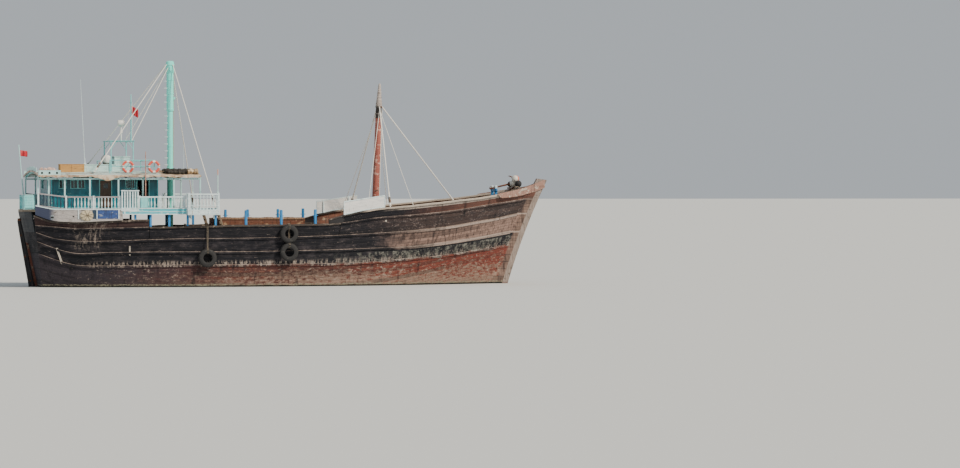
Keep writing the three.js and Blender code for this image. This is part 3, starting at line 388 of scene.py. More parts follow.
# Plain finish: base and shade mixed by the grain, then seams, wear, streaks and a tint ramped along one axis
# laid over them
def finish(name, **named):
    look = {**plainFinish, **named}
    material, tree, shader, place = blankMaterial(name)
    grain = mottle(tree, place, look["grain"])
    patch = mottle(tree, place, look["patch"], 6.0, 0.65, 3.1)
    colour = layOver(tree, look["base"], look["shade"], grain, 0.38, 0.66)
    height = grain
    if look["seam"]:
        axis, pitch, width = look["seam"]
        along = addNode(tree, "SeparateXYZ", None, None, {0: place}).outputs["XYZ".index(axis)]
        seam, tone = plankPattern(tree, mathNode(tree, "DIVIDE", along, pitch), width / pitch)[:2]
        colour = layOver(tree, colour, look["shade"], tone, look["boardTone"], 1.1)
    if look["worn"]:
        mixed = mathNode(tree, "MULTIPLY_ADD", grain, 0.35, patch)
        edge = 0.98 - look["wear"] * 0.6
        colour = layOver(tree, colour, look["worn"], mixed, edge, edge + 0.06)
    if look["streak"]:
        run = mottle(tree, place, look["streakSize"], 4.0, 0.6, 7.7)
        colour = layOver(tree, colour, look["streak"], run, look["streakFrom"], look["streakFrom"] + 0.16)
    if look["seam"]:
        colour = layOver(tree, colour, look["seamTone"], seam, 0.2, 0.9)
        height = mathNode(tree, "SUBTRACT", grain, seam)
    if look["fade"]:
        axis, start, end, tint = look["fade"]
        along = addNode(tree, "SeparateXYZ", None, None, {0: place}).outputs["XYZ".index(axis)]
        colour = layOver(tree, colour, tint, mathNode(tree, "MULTIPLY_ADD", patch, 0.3, along), start, end)
    tree.links.new(colour, shader.inputs["Base Color"])
    relief(tree, shader, height, look["bump"], look["depth"], *look["rough"])
    shader.inputs["Metallic"].default_value = look["metal"]
    shader.inputs["Coat Weight"].default_value = look["coat"]
    if not look["metal"]:
        shader.inputs["IOR"].default_value = look["ior"]
    return material


# Finishes, each named for the real one and for what it gives the eye
deckPlanks = finish("scrubbedTeakDeck", base="#9a8468", shade="#7c6a54", grain=(0.7, 0.02, 0.02),
                    worn="#5f5244", wear=0.32, seam=("Y", 0.16, 0.007))  # grey-brown planks, tarred seams
poopPlanks = finish("greyedPoopPlanks", base="#8d7c68", shade="#6d6051", grain=(0.7, 0.02, 0.02),
                    worn="#a79884", wear=0.3, seam=("Y", 0.14, 0.006))  # drier and greyer than the main deck
whitePaint = finish("chalkyWhitePaint", base="#dfeff2", shade="#c2d8dd", grain=(0.25, 0.04, 0.1),
                    worn="#8d8375", wear=0.22, streak="#9b8a74", streakFrom=0.6, rough=(0.5, 0.7))  # chalky
# White gone grey, bare plank through it
greyBoard = finish("weatheredWhiteBoard", base="#b9b4b1", shade="#96908e",
                   fade=("X", -13.9, -14.45, "#2f3850"), grain=(0.6, 0.05, 0.02), worn="#6b6259", wear=0.34,
                   streak="#574e45", streakFrom=0.6, seam=("Z", 0.19, 0.008), rough=(0.65, 0.85))
# Teal deckhouse walls: the ramp to near black towards the top is a painted shade of the roof over them
tealPaintAndRoofShade = finish("tealGlossPanelAndPaintedShade", base="#128597", shade="#0d6a7a", grain=(0.3, 0.3, 0.5),
                   fade=("Z", 5.35, 6.9, "#061c24"),
                   worn="#5d9fa0", wear=0.3, streak="#1f545b", streakFrom=0.58, seam=("X", 0.13, 0.005),
                   seamTone="#1c5158", rough=(0.32, 0.5), coat=0.15)  # tongue and groove under gloss
palePaint = finish("paleTurquoisePaint", base="#8ad6d6", shade="#6cc0c4", grain=(0.1, 0.1, 0.4),
                   worn="#7f8f86", wear=0.26, streak="#8a7a62", streakFrom=0.63, rough=(0.45, 0.65))
fasciaPaint = finish("turquoiseFascia", base="#5fbfca", shade="#45a6b8", grain=(0.6, 0.05, 0.04),
                     worn="#cfd8d2", wear=0.34, streak="#5a6d6b", streakFrom=0.6, rough=(0.45, 0.65))
skyPaint = finish("skyBluePaint", base="#2f8ac6", shade="#226da8", grain=(0.06, 0.06, 0.3),
                  worn="#8b8a80", wear=0.3, streak="#2f5f80", streakFrom=0.6, rough=(0.45, 0.65))
redOxide = finish("redOxideBoards", base="#84503d", shade="#6a3f31", grain=(0.05, 0.5, 0.03),
                  worn="#9c8570", wear=0.4, streak="#4a352b", streakFrom=0.6, rough=(0.65, 0.85))
bulwarkInside = finish("brownInsideBoards", base="#7a4c38", shade="#5c3a2e", grain=(0.7, 0.05, 0.03),
                       worn="#97836e", wear=0.42, streak="#40312a", seam=("Z", 0.2, 0.008), rough=(0.6, 0.8))
bareRail = finish("greyBareCapRail", base="#b9ada0", shade="#94887b", grain=(0.8, 0.03, 0.02), worn="#aea292",
                  wear=0.42, streak="#4b423a", streakFrom=0.62, rough=(0.65, 0.85), depth=0.005,
                  fade=("X", 4.5, 3.7, "#2c2725"))
darkRail = finish("tarredCapRail", base="#453c36", shade="#302a27", grain=(0.8, 0.03, 0.02),
                  worn="#93877a", wear=0.36, streak="#2a2421", streakFrom=0.62, rough=(0.6, 0.8), depth=0.005)
tarredPlank = finish("tarredEdgePlank", base="#1f1d21", shade="#151417", grain=(0.6, 0.04, 0.03),
                     worn="#4a423d", wear=0.25, rough=(0.6, 0.8), depth=0.004)
stemTimber = finish("weatheredStemTimber", base="#7d6c62", shade="#5f5149", grain=(0.03, 0.06, 0.7),
                    worn="#94867a", wear=0.4, streak="#3f3631", streakFrom=0.56, rough=(0.7, 0.9),
                    depth=0.008)
stemFace = finish("paleStemFace", base="#9f9188", shade="#6e5f57", fade=("Z", 0.35, 0.05, "#4f281f"),
                  grain=(0.03, 0.05, 0.6), worn="#6b6057", wear=0.4, rough=(0.7, 0.85), depth=0.006)
keelTimber = finish("redBrownUnderwater", base="#6b3d31", shade="#533027", grain=(0.8, 0.05, 0.05),
                    worn="#7b7461", wear=0.4, patch=(0.6, 0.4, 0.15), rough=(0.75, 0.9), depth=0.006)
mastPaint = finish("paleBlueGreenMast", base="#7ff4e6", shade="#6ce6da", grain=(0.08, 0.08, 0.9),
                   worn="#9fcfc5", wear=0.1, streak="#86b8ad", streakFrom=0.62, rough=(0.35, 0.55), coat=0.1)
salmonPaint = finish("fadedRedMastPaint", base="#a55c4e", shade="#8e4c42", grain=(0.05, 0.05, 0.8),
                     worn="#cda697", wear=0.42, streak="#653a31", streakFrom=0.57, rough=(0.5, 0.7))
bareWrap = finish("greyRopeServing", base="#d8cdc6", shade="#a89c93", grain=(0.06, 0.06, 0.02),
                  worn="#6e6154", wear=0.4, seam=("Z", 0.05, 0.012), rough=(0.8, 0.95), depth=0.01)
doorWood = finish("darkVarnishedDoor", base="#5a3d28", shade="#3f2a1b", grain=(0.04, 0.04, 0.5),
                  worn="#7b5e45", wear=0.3, seam=("X", 0.12, 0.005), rough=(0.35, 0.55), coat=0.25)
bronze = finish("dullBronzeCasting", base="#8d6f3c", shade="#6c5a38", grain=(0.05, 0.05, 0.05),
                worn="#4f6f62", wear=0.4, rough=(0.35, 0.6), metal=0.9, depth=0.002)  # green in the hollows
wornSteel = finish("galvanisedAndRusty", base="#7a756e", shade="#5d5850", grain=(0.06, 0.06, 0.06),
                   worn="#6e3f26", wear=0.5, rough=(0.45, 0.7), metal=0.6, depth=0.002)
rustyIron = finish("rustyIron", base="#5b3a2a", shade="#3f2c24", grain=(0.03, 0.03, 0.03),
                   worn="#8a5332", wear=0.5, patch=(0.08, 0.08, 0.08), rough=(0.75, 0.95), metal=0.2)
tyreRubber = finish("scuffedTyreRubber", base="#1d1d1f", shade="#29292a", grain=(0.05, 0.05, 0.05),
                    worn="#4a4845", wear=0.32, patch=(0.2, 0.1, 0.2), rough=(0.7, 0.92), ior=1.52)
# Near black: painted shade inside the scupper and drain holes, and the dark seams between the rudder's planks
holeShadeAndSeams = finish("paintedHoleShadeAndSeams", base="#15171a", shade="#1c1f22", rough=(0.7, 0.9))
blackPaint = finish("blackBandPaint", base="#2b2624", shade="#3a312c", worn="#6b4a3c", wear=0.35)
bluePanel = finish("deepBluePanel", base="#33508c", shade="#2a4274", grain=(0.4, 0.05, 0.1),
                   worn="#8790a0", wear=0.38, streak="#23304a", rough=(0.45, 0.65))
creamCloth = finish("creamBundleCloth", base="#cfc4a8", shade="#a99c80", grain=(0.04, 0.04, 0.04),
                    worn="#857860", wear=0.3, rough=(0.85, 0.97), depth=0.006)
orangePaint = finish("sunFadedOrange", base="#e0693f", shade="#cf5836", grain=(0.1, 0.1, 0.1),
                     worn="#e8a488", wear=0.25, rough=(0.4, 0.6))
plainWood = finish("oddGreyTimber", base="#a28f78", shade="#7f6e5c", grain=(0.5, 0.03, 0.03),
                   worn="#6d6052", wear=0.4, rough=(0.7, 0.9))
canisterWhite = finish("glassfibreCanister", base="#e4e3de", shade="#d4d3cc", grain=(0.3, 0.3, 0.3),
                       worn="#a9a294", wear=0.16, streak="#9d9382", streakFrom=0.66, rough=(0.3, 0.5),
                       coat=0.2)


# Window glass: dark from the shaded room behind it, a clear reflection in front
def makeGlass():
    material, tree, shader, place = blankMaterial("saltyWindowGlass")
    salt = mottle(tree, place, (0.2, 0.2, 0.12))
    colour = layOver(tree, "#1c2a2e", "#5a6a6a", salt, 0.5, 0.85)
    tree.links.new(colour, shader.inputs["Base Color"])
    relief(tree, shader, salt, 0.05, 0.001, 0.06, 0.35)
    shader.inputs["IOR"].default_value = 1.52
    shader.inputs["Coat Weight"].default_value = 0.5
    return material


# Rope: strands wind round it, so light and dark cross the line slantwise every lay of the rope
def ropeFinish(name, base, shade, lay):
    material, tree, shader, place = blankMaterial(name)
    fuzz = mottle(tree, place, (0.03, 0.03, 0.03))
    twist = addNode(tree, "TexWave", {"wave_type": "BANDS", "bands_direction": "DIAGONAL"},
                    {"Scale": 1 / lay, "Distortion": 1.5}, {"Vector": place}).outputs[1]
    colour = layOver(tree, base, shade, twist, 0.3, 0.8)
    colour = layOver(tree, colour, shade, fuzz, 0.5, 0.8)
    tree.links.new(colour, shader.inputs["Base Color"])
    relief(tree, shader, twist, 0.6, 0.004, 0.8, 0.95)
    shader.inputs["Sheen Weight"].default_value = 0.15
    return material


# Woven cloth: threads cross every few millimetres, drawn coarse enough to show, dirt in patches
def clothFinish(name, base, shade, stain, thread=0.02, sheen=0.1):
    material, tree, shader, place = blankMaterial(name)
    patch = mottle(tree, place, (0.8, 0.5, 0.4), 6.0, 0.65)
    fold = mottle(tree, place, (0.3, 0.08, 0.3), 4.0)
    warp = [addNode(tree, "TexWave", {"bands_direction": axis}, {"Scale": 1 / (thread * 6.28),
                                                                 "Distortion": 0.4},
                    {"Vector": place}).outputs[1] for axis in "XY"]
    weave = mathNode(tree, "MULTIPLY", *warp)
    colour = layOver(tree, base, shade, fold, 0.4, 0.65)
    colour = layOver(tree, colour, stain, patch, 0.5, 0.72)
    tree.links.new(colour, shader.inputs["Base Color"])
    relief(tree, shader, weave, 0.35, 0.002, 0.8, 0.95)
    shader.inputs["Sheen Weight"].default_value = sheen
    return material


glass = makeGlass()
paleRope = ropeFinish("bleachedMooringRope", "#c9c0ab", "#9a8f7a", 0.05)
darkRope = ropeFinish("dirtyHangingRope", "#8b7f6c", "#5b5146", 0.04)
whiteRope = ropeFinish("whiteNylonRope", "#f7f6f2", "#cdcabf", 0.05)
blueRope = ropeFinish("bluePolyRope", "#4f8fb0", "#39708f", 0.03)
awningCloth = clothFinish("sunBleachedTarpaulin", "#bba98f", "#97826a", "#6f5a48")
edgeCloth = clothFinish("brownAndWhiteEdgeCloth", "#d3c4ae", "#a88a6c", "#7d5a44")
flagCloth = clothFinish("redBunting", "#bf2230", "#9c1a28", "#d04a50", 0.008, 0.2)
print("finishes made")


# Hull form. Columns: place along the hull from 0 to 1, half breadth at the waterline and at the rail,
# bottom, lower wale, middle wale, deck edge, rail and top, in metres
hullTable = np.array([[0, 1.5, 2.75, -0.15, 1.9, 2.6, 3.2, 3.6, 4.18],
                      [0.03, 1.78, 2.94, -0.3, 1.57, 2.25, 2.88, 3.54, 3.88],
                      [0.06, 2.05, 3.13, -0.45, 1.31, 1.985, 2.74, 3.46, 3.79],
                      [0.14, 2.62, 3.49, -0.95, 1.2, 1.975, 2.71, 3.455, 3.85],
                      [0.22, 3.05, 3.67, -1.27, 1.225, 2.0, 2.78, 3.5, 3.92],
                      [0.31, 3.35, 3.76, -1.43, 1.24, 2.0, 2.84, 3.55, 3.55],
                      [0.4, 3.48, 3.8, -1.5, 1.245, 1.995, 2.845, 3.6, 3.6],
                      [0.5, 3.52, 3.8, -1.5, 1.255, 2.03, 2.91, 3.63, 3.63],
                      [0.605, 3.4, 3.74, -1.5, 1.285, 2.09, 3.0, 3.72, 4.06],
                      [0.68, 3.2, 3.62, -1.5, 1.35, 2.165, 3.11, 4.03, 4.54],
                      [0.76, 2.7, 3.4, -1.5, 1.52, 2.235, 3.25, 4.205, 4.79],
                      [0.84, 1.95, 2.95, -1.48, 1.69, 2.45, 3.47, 4.45, 5.05],
                      [0.9, 1.3, 2.4, -1.44, 1.9, 2.68, 3.75, 4.72, 5.26],
                      [0.95, 0.76, 1.65, -1.4, 2.08, 2.9, 3.98, 4.93, 5.5],
                      [0.98, 0.4, 0.95, -1.38, 2.2, 3.03, 4.15, 5.04, 5.68],
                      [1, 0.15, 0.15, -1.35, 2.26, 3.1, 4.22, 5.1, 5.8]])
hullForm = {"keelHalf": 0.15, "waleOut": 0.055, "waleHalf": 0.065, "chamfer": 0.014, "capOut": 0.06,
            "capWide": 0.33, "capThick": 0.11, "railLift": (0.1, 3.5, 5.5), "bowFrom": 0.6,
            "boardThick": 0.14, "deckEdge": 0.7, "camber": 0.09}
columns = ["water", "rail", "bottom", "low", "middle", "deck", "railZ", "top"]


# Station values at places u: cubic through the table, its slopes from the neighbouring stations
def stationAt(u, table=hullTable):
    u = np.atleast_1d(np.asarray(u, float))
    us, values = table[:, 0], table[:, 1:]
    slopes = np.gradient(values, us, axis=0)
    i = np.clip(np.searchsorted(us, u, side="right") - 1, 0, len(us) - 2)
    span = (us[i + 1] - us[i])[:, None]
    t = (u - us[i])[:, None] / span
    blend = [2 * t ** 3 - 3 * t ** 2 + 1, (t ** 3 - 2 * t ** 2 + t) * span, 3 * t ** 2 - 2 * t ** 3,
             (t ** 3 - t ** 2) * span]
    found = blend[0] * values[i] + blend[1] * slopes[i] + blend[2] * values[i + 1] + blend[3] * slopes[i + 1]
    return {"u": u, **{key: found[:, k] for k, key in enumerate(columns)}}


# X of the transom at a height: it rakes aft as it rises
def transomX(z):
    return -14.75 - 0.155 * z


# X at a share u of the hull's length at that height, from the transom to the raked stem, whose foot
# is rounded off aft under water
def hullX(u, z):
    stemX = 12.63 + 0.39 * z - np.where(z < 0, 0.5 * z * z, 0)
    return transomX(z) + u * (stemX - transomX(z))


# Half breadth: over water it grows from the waterline's to the rail's with the 0.8 power of the height,
# under water it falls to the keel's with a power that is fullest amidships
def halfBreadth(s, z):
    above = s["water"] + (s["rail"] - s["water"]) * (np.maximum(z, 0) / s["railZ"]) ** 0.8
    fullness = 1.2 + 1.6 * np.sin(np.pi * s["u"])
    share = 1 - np.minimum(1, np.minimum(z, 0) / s["bottom"]) ** fullness
    half = hullForm["keelHalf"]
    return np.where(z >= 0, above, half + (s["water"] - half) * share)


# Place along the hull that passes a given X at height z, and the side's Y there
def placeAt(x, z):
    stemX = 12.63 + 0.39 * z - (0.5 * z * z if z < 0 else 0)
    return (np.asarray(x, float) - transomX(z)) / (stemX - transomX(z))


def sideY(x, z):
    s = stationAt(placeAt(x, z))
    return halfBreadth(s, np.full(len(s["u"]), float(z)))


# Rows of a half section from keel to deck edge: heights, how far out, zone, plank count, wale edge
def sectionRows(s):
    out, half, ch = hullForm["waleOut"], hullForm["waleHalf"], hullForm["chamfer"]
    rows = []
    for share in np.linspace(1, 0, 15):
        rows.append((s["bottom"] * share, 0, -share, 0))
    for share in np.linspace(0.12, 0.9, 9):
        rows.append((s["low"] * share, 0, share, 0))
    for number, (key, upper, lift) in enumerate((("low", "middle", 0), ("middle", "deck", 0),
                                                 ("deck", None, half))):
        z = s[key] - lift
        for offset, stand, edge in ((-half - ch, 0, 0), (-half, out, 0.3), (-half + 0.012, out, 0.1),
                                    (-half + 0.03, out, 0), (half - 0.05, out, 0.1), (half - 0.02, out, 1),
                                    (half, out, 1), (half + ch, 0, 0.6), (half + ch + 0.02, 0, 0)):
            if key == "deck" and offset > half:
                break
            rows.append((z + offset, stand, number + 1 + offset * 0.2, edge))
        if upper:
            for share in (0.3, 0.45, 0.6, 0.75):
                rows.append((z + (s[upper] - z) * share, 0, number + 1 + share, 0))
    return rows


# Hull skin: sections along the boat, a bulged transom aft, the deck closed across the top
def makeHull():
    u = np.concatenate([np.linspace(0, 0.2, 34), np.linspace(0.2, 0.8, 80)[1:], np.linspace(0.8, 1, 44)[1:]])
    s = stationAt(u)
    count = len(u)
    grid, zone, edge, girth = [], [], [], []
    last, run = None, np.zeros(count)
    fade = np.clip((1 - u) / 0.01, 0, 1)
    for z, stand, level, bright in sectionRows(s):
        z = np.broadcast_to(z, (count,)).astype(float)
        y = halfBreadth(s, z) + stand * fade
        x = hullX(u, z)
        if last is not None:
            run = run + np.hypot(y - last[0], z - last[1])
        last = (y, z)
        grid.append(pointsOf(x, y, z))
        zone.append(np.full(count, level))
        edge.append(np.full(count, bright))
        girth.append(run.copy())
    port, zone, edge, girth = [np.stack(a) for a in (grid, zone, edge, girth)]
    planks = girth / girth.max(axis=0) * 34
    rows = len(port)
    # Transom: the end section drawn across in steps, bulged aft but for its sides
    ends = port[:, 0]
    share = np.concatenate([np.linspace(1, 0.4, 7), np.linspace(0.4, -0.4, 5)[1:-1],
                            np.linspace(-0.4, -1, 7)])
    bulge = 0.33 * (0.25 + ends[:, 2] / 5.5)
    swell = 1 - np.clip((abs(share) - 0.35) / 0.65, 0, 1) ** 1.6
    transom = np.stack([pointsOf(ends[:, 0] - bulge * k, ends[:, 1] * w, ends[:, 2])
                        for w, k in zip(share, swell)], 1)
    aft = np.zeros((rows, len(share)))
    parts = [(port.reshape(-1, 3), gridFaces(rows, count))]
    parts += mirrored(parts)
    parts.append((transom.reshape(-1, 3), gridFaces(rows, len(share))))
    for edgeRow, flat in ((transom[0], ends[0]), (transom[-1], ends[-1])):
        line = pointsOf(flat[0], flat[1] * share, flat[2])
        parts.append((np.concatenate([edgeRow, line]), gridFaces(2, len(share))))
    # Flat faces that join both sides along the keel and the stem
    keel = np.stack([port[0], port[0] * [1, -1, 1]])
    stem = np.stack([port[:, -1], port[:, -1] * [1, -1, 1]])
    parts += [(keel.reshape(-1, 3), gridFaces(2, count)), (stem.reshape(-1, 3), gridFaces(2, rows))]
    # Deck: level along its edge, cambered to the middle
    rim = port[-1].copy()
    inner = rim * [1, 0, 1]
    inner[:, 1] = np.maximum(rim[:, 1] - hullForm["deckEdge"], rim[:, 1] * 0.3)
    crown = rim * [1, 0, 1] + [0, 0, hullForm["camber"]]
    crown[-1, 2] -= hullForm["camber"]
    deck = np.stack([rim, inner, crown, inner * [1, -1, 1], rim * [1, -1, 1]])
    parts.append((deck.reshape(-1, 3), gridFaces(5, count)))
    slots = [0] * (len(parts) - 1) + [1]
    hull = meshPiece("hullPlanking", parts, [hullPlanks, deckPlanks], replaces=["hull"],
                     slot="tarred_planking", faceSlots=slots, sharp=40)
    spare = len(hull.data.vertices) - 2 * rows * count - rows * len(share)
    extra = np.zeros(spare)
    setAttribute(hull, "zone", np.concatenate([zone.ravel(), zone.ravel(), np.repeat(zone[:, 0], len(share)),
                                               extra - 1]))
    setAttribute(hull, "planks", np.concatenate([planks.ravel(), planks.ravel(),
                                                 np.repeat(planks[:, 0], len(share)), extra + 0.4]))
    setAttribute(hull, "edge", np.concatenate([edge.ravel(), edge.ravel(), aft.ravel(), extra]))


# Extra height of the bow rail's after end: full up to one place, then falling evenly to nothing
def railLift(x):
    full, start, end = hullForm["railLift"]
    return full * np.clip((end - x) / (end - start), 0, 1)


# Bulwark boards, cap rail and rail wale between two places along the hull
def makeBulwark(name, nodes, u0, u1, topKey, boards, rail, inside, waleStrip, slot):
    count = max(12, int((u1 - u0) * 130))
    s = stationAt(np.linspace(u0, u1, count))
    u = s["u"]
    deck, top = s["deck"], s[topKey]
    if u0 > hullForm["bowFrom"]:
        top = top + railLift(hullX(u, top))
    under = top - hullForm["capThick"]
    room = np.minimum(1, halfBreadth(s, deck) / 0.9)
    shares = np.linspace(0, 1, 8)
    outer, innerSide, zone = [], [], []
    for share in shares:
        z = deck + (under - deck) * share
        y = halfBreadth(s, z)
        outer.append(pointsOf(hullX(u, z), y, z))
        innerSide.append(pointsOf(hullX(u, z), np.maximum(y - hullForm["boardThick"] * room, 0.02), z))
        zone.append(np.where(z < s["railZ"], 3 + (z - deck) / np.maximum(s["railZ"] - deck, 0.1),
                             4 + (z - s["railZ"]) / np.maximum(s["top"] - s["railZ"], 0.2)))
    outer, innerSide, zone = [np.stack(a) for a in (outer, innerSide, zone)]
    ends = [(np.concatenate([outer[:, k], innerSide[:, k]]), gridFaces(2, len(shares))) for k in (0, -1)]
    parts = [(outer.reshape(-1, 3), gridFaces(len(shares), count)),
             (innerSide.reshape(-1, 3), gridFaces(len(shares), count)), *ends]
    x = hullX(u, top)
    y = halfBreadth(s, top)
    wide, out, thick = hullForm["capWide"] * room, hullForm["capOut"], hullForm["capThick"]
    c = 0.016
    section = [(0, c, -thick), (0, 0, -thick + c), (0, 0, -c), (0, c, 0), (1, -c, 0), (1, 0, -c),
               (1, 0, -thick + c), (1, -c, -thick)]
    wave = 0.006 * np.sin(x * 2.7) + 0.005 * np.sin(x * 7.1 + 1)
    cap = np.stack([pointsOf(x, y + out - wide * side - inset, top + lift + wave)
                    for side, inset, lift in section], 1)
    capPart = closedLoft(cap)
    wale = []
    if waleStrip:
        zr, yr = s["railZ"], halfBreadth(s, s["railZ"])
        xr = hullX(u, zr)
        strip = [(-0.05, -0.11), (0.045, -0.11), (0.06, -0.098), (0.06, -0.012), (0.048, 0), (-0.05, 0)]
        wale = [cornerLoft([(xr, yr + a, zr + h) for a, h in strip])]
    for sideName in sideNames:
        piece = meshPiece(f"{name}_{sideName}", onSide(parts + wale, sideName), [boards, inside], slot=slot,
                          replaces=[f"{node}_{sideName}" for node in nodes],
                          faceSlots=[0, 1, 0, 0] + [0] * len(wale), outwards=False, sharp=40)
        fill = len(piece.data.vertices) - 2 * outer.shape[0] * count - len(wale) * count * 6
        zones = [zone.ravel(), zone.ravel(), np.full(fill, 3.5)] + [np.full(count * 6, 3.95)] * len(wale)
        edges = [np.zeros(2 * zone.size + fill)] + [np.tile([0, 0.1, 0.35, 0.9, 1, 0.3], count)] * len(wale)
        setAttribute(piece, "zone", np.concatenate(zones))
        setAttribute(piece, "planks", np.concatenate(zones) * 3.2 + 24.5)
        setAttribute(piece, "edge", np.concatenate(edges))
        meshPiece(f"{name}Cap_{sideName}", onSide([capPart], sideName), rail, slot=slot)


# Tarred, worn and stained planking. The zone attribute runs 0 at the waterline, 1, 2 and 3 at the lower
# wale, middle wale and deck edge, 4 at the rail, 5 at the top; planks counts the strakes up the side.
planking = {"underwater": "#58291f", "lowAft": "#39333a", "lowMid": "#4f2f2c", "lowRed": "#73382f",
            "scoured": "#93796a", "rust": "#7d4a38", "band": "#12141c", "lime": "#85857c", "drip": "#ab9d92",
            "upper": "#13141c", "upperWorn": "#403b3f", "bow": "#957b70", "bowShade": "#66524a",
            "sheer": "#453835", "sheerPale": "#94857e", "topBow": "#704c41", "topAft": "#3d2c2b",
            "hoodWood": "#8b7468", "hoodShade": "#5b4840", "railBoard": "#b3a69c", "edge": "#ab9a90",
            "scum": "#8c8873", "weed": "#141914", "grime": "#0a0b11", "plankLength": 4.6}


def makeHullPlanks():
    look = planking
    material, tree, shader, place = blankMaterial("tarredAndWornPlanking")

    # Short forms: rise is an eased step, plus adds a share of the other, times is a product, lay covers
    # where the mask rises, lumps is an uneven tone
    def rise(value, low, high):
        return easedStep(tree, value, low, high)

    def plus(value, other, share):
        return mathNode(tree, "MULTIPLY_ADD", other, share, value)

    def times(value, *others):
        for other in others:
            value = mathNode(tree, "MULTIPLY", value, other)
        return value

    def lay(under, over, mask, low, high):
        return layOver(tree, look.get(under, under), look.get(over, over), mask, low, high)

    def lumps(*settings):
        return mottle(tree, place, *settings)

    zone, planks, edge = [addNode(tree, "Attribute", {"attribute_name": n}).outputs["Fac"]
                          for n in ("zone", "planks", "edge")]
    apart = addNode(tree, "SeparateXYZ", None, None, {0: place})
    x, z = apart.outputs[0], apart.outputs[2]
    grain = lumps((0.9, 0.05, 0.022), 6.0, 0.65)
    scour = lumps((0.5, 0.2, 0.045), 6.0, 0.72, 4.0)
    patch = lumps((0.9, 0.9, 0.35), 6.0, 0.68, 2.0)
    speck = lumps((0.12, 0.12, 0.08), 5.0, 0.7, 5.0)
    fleck = lumps((0.3, 0.3, 0.16), 6.0, 0.8, 3.0)
    run = lumps((0.11, 0.11, 0.8), 5.0, 0.68, 9.0)
    runWide = lumps((0.4, 0.4, 2.6), 4.0, 0.6, 11.0)
    seam, tone, strake = plankPattern(tree, planks, 0.09)
    shift = plus(x, tone, look["plankLength"])
    lengths = mathNode(tree, "DIVIDE", shift, look["plankLength"])
    butt, number = plankPattern(tree, lengths, 0.003)[::2]
    mixed = plus(number, strake, 7.3)
    plankTone = addNode(tree, "TexWhiteNoise", {"noise_dimensions": "1D"}, None, {"W": mixed}).outputs[0]
    ragged = plus(zone, patch, 0.2)
    # Below the lower wale: purplish brown aft, red-brown forward, scoured to bare tan near the water
    low = lay("lowAft", "lowMid", plus(x, patch, 9.0), -8.0, 1.0)
    low = lay(low, "lowRed", plus(x, patch, 7.0), 3.0, 11.0)
    rusty = times(rise(x, -8.0, -2.5), rise(plus(scour, speck, 0.6), 0.76, 0.96))
    low = lay(low, "rust", rusty, 0.0, 1.0)
    bare = plus(plus(plus(fleck, scour, 0.35), zone, -0.26), plankTone, 0.1)
    bareMask = times(rise(bare, 0.5, 0.68), rise(x, -15.0, 5.0), rise(z, -0.1, 0.2))
    low = lay(low, "scoured", bareMask, 0.0, 1.0)
    low = lay(low, "drip", times(rise(plus(fleck, speck, 0.4), 0.74, 0.88), rise(x, -18.0, -8.0)), 0.0, 1.5)
    low = lay("underwater", low, z, -0.2, 0.1)
    # Between the wales: tar, with lime and salt left on it forward and drips over the lower wale
    band = lay("band", "upperWorn", patch, 0.46, 0.7)
    blotch = lumps((0.3, 0.3, 0.5), 6.0, 0.7, 6.0)
    limeMask = times(rise(plus(blotch, speck, 0.4), 0.6, 0.84), rise(patch, 0.3, 0.46), rise(x, -1.0, 7.0))
    band = lay(band, "lime", times(limeMask, rise(ragged, 1.97, 1.8)), 0.0, 1.15)
    drip = times(rise(plus(run, speck, 0.3), 0.62, 0.74), rise(ragged, 1.66, 1.22), rise(x, -13.6, -11.0))
    band = lay(band, "drip", drip, 0.0, 1.0)
    # Above: black tar aft, rubbed to pinkish timber on the bow
    waist = lay("upper", "upperWorn", plus(patch, scour, 0.5), 0.68, 0.95)
    bow = lay("bow", "bowShade", run, 0.42, 0.66)
    waist = lay(waist, bow, plus(x, patch, 4.0), 6.4, 9.4)
    sheer = lay("upper", "sheer", plus(x, patch, 8.0), 6.5, 13.0)
    sheer = lay(sheer, "upperWorn", plus(scour, patch, 0.5), 0.74, 0.95)
    pale = times(rise(speck, 0.5, 0.66), rise(patch, 0.4, 0.6), rise(x, -6.0, 9.0))
    sheer = lay(sheer, "sheerPale", pale, 0.0, 1.3)
    cap = lay("topAft", "upper", x, -3.0, 2.0)
    cap = lay(cap, "topBow", plus(x, patch, 4.0), 7.5, 13.5)
    railBoard = times(rise(plus(zone, speck, 0.12), 4.62, 4.68), rise(plus(x, patch, 2.0), 5.6, 8.0))
    cap = lay(cap, "railBoard", railBoard, 0.0, 1.05)
    colour = lay(low, band, ragged, 1.08, 1.12)
    colour = lay(colour, waist, ragged, 2.08, 2.13)
    colour = lay(colour, sheer, ragged, 3.08, 3.13)
    colour = lay(colour, cap, zone, 3.97, 4.0)
    # Plank ends at the stem, bleached over every band
    curve = plus(x, times(z, plus(z, z, 0.0)), -0.0154)
    hoodMask = times(rise(plus(plus(curve, z, -0.3), speck, 0.15), 12.8, 12.98), rise(zone, 4.3, 4.0))
    ends = lay("hoodWood", "hoodShade", run, 0.4, 0.66)
    colour = lay(colour, ends, hoodMask, 0.0, 1.2)
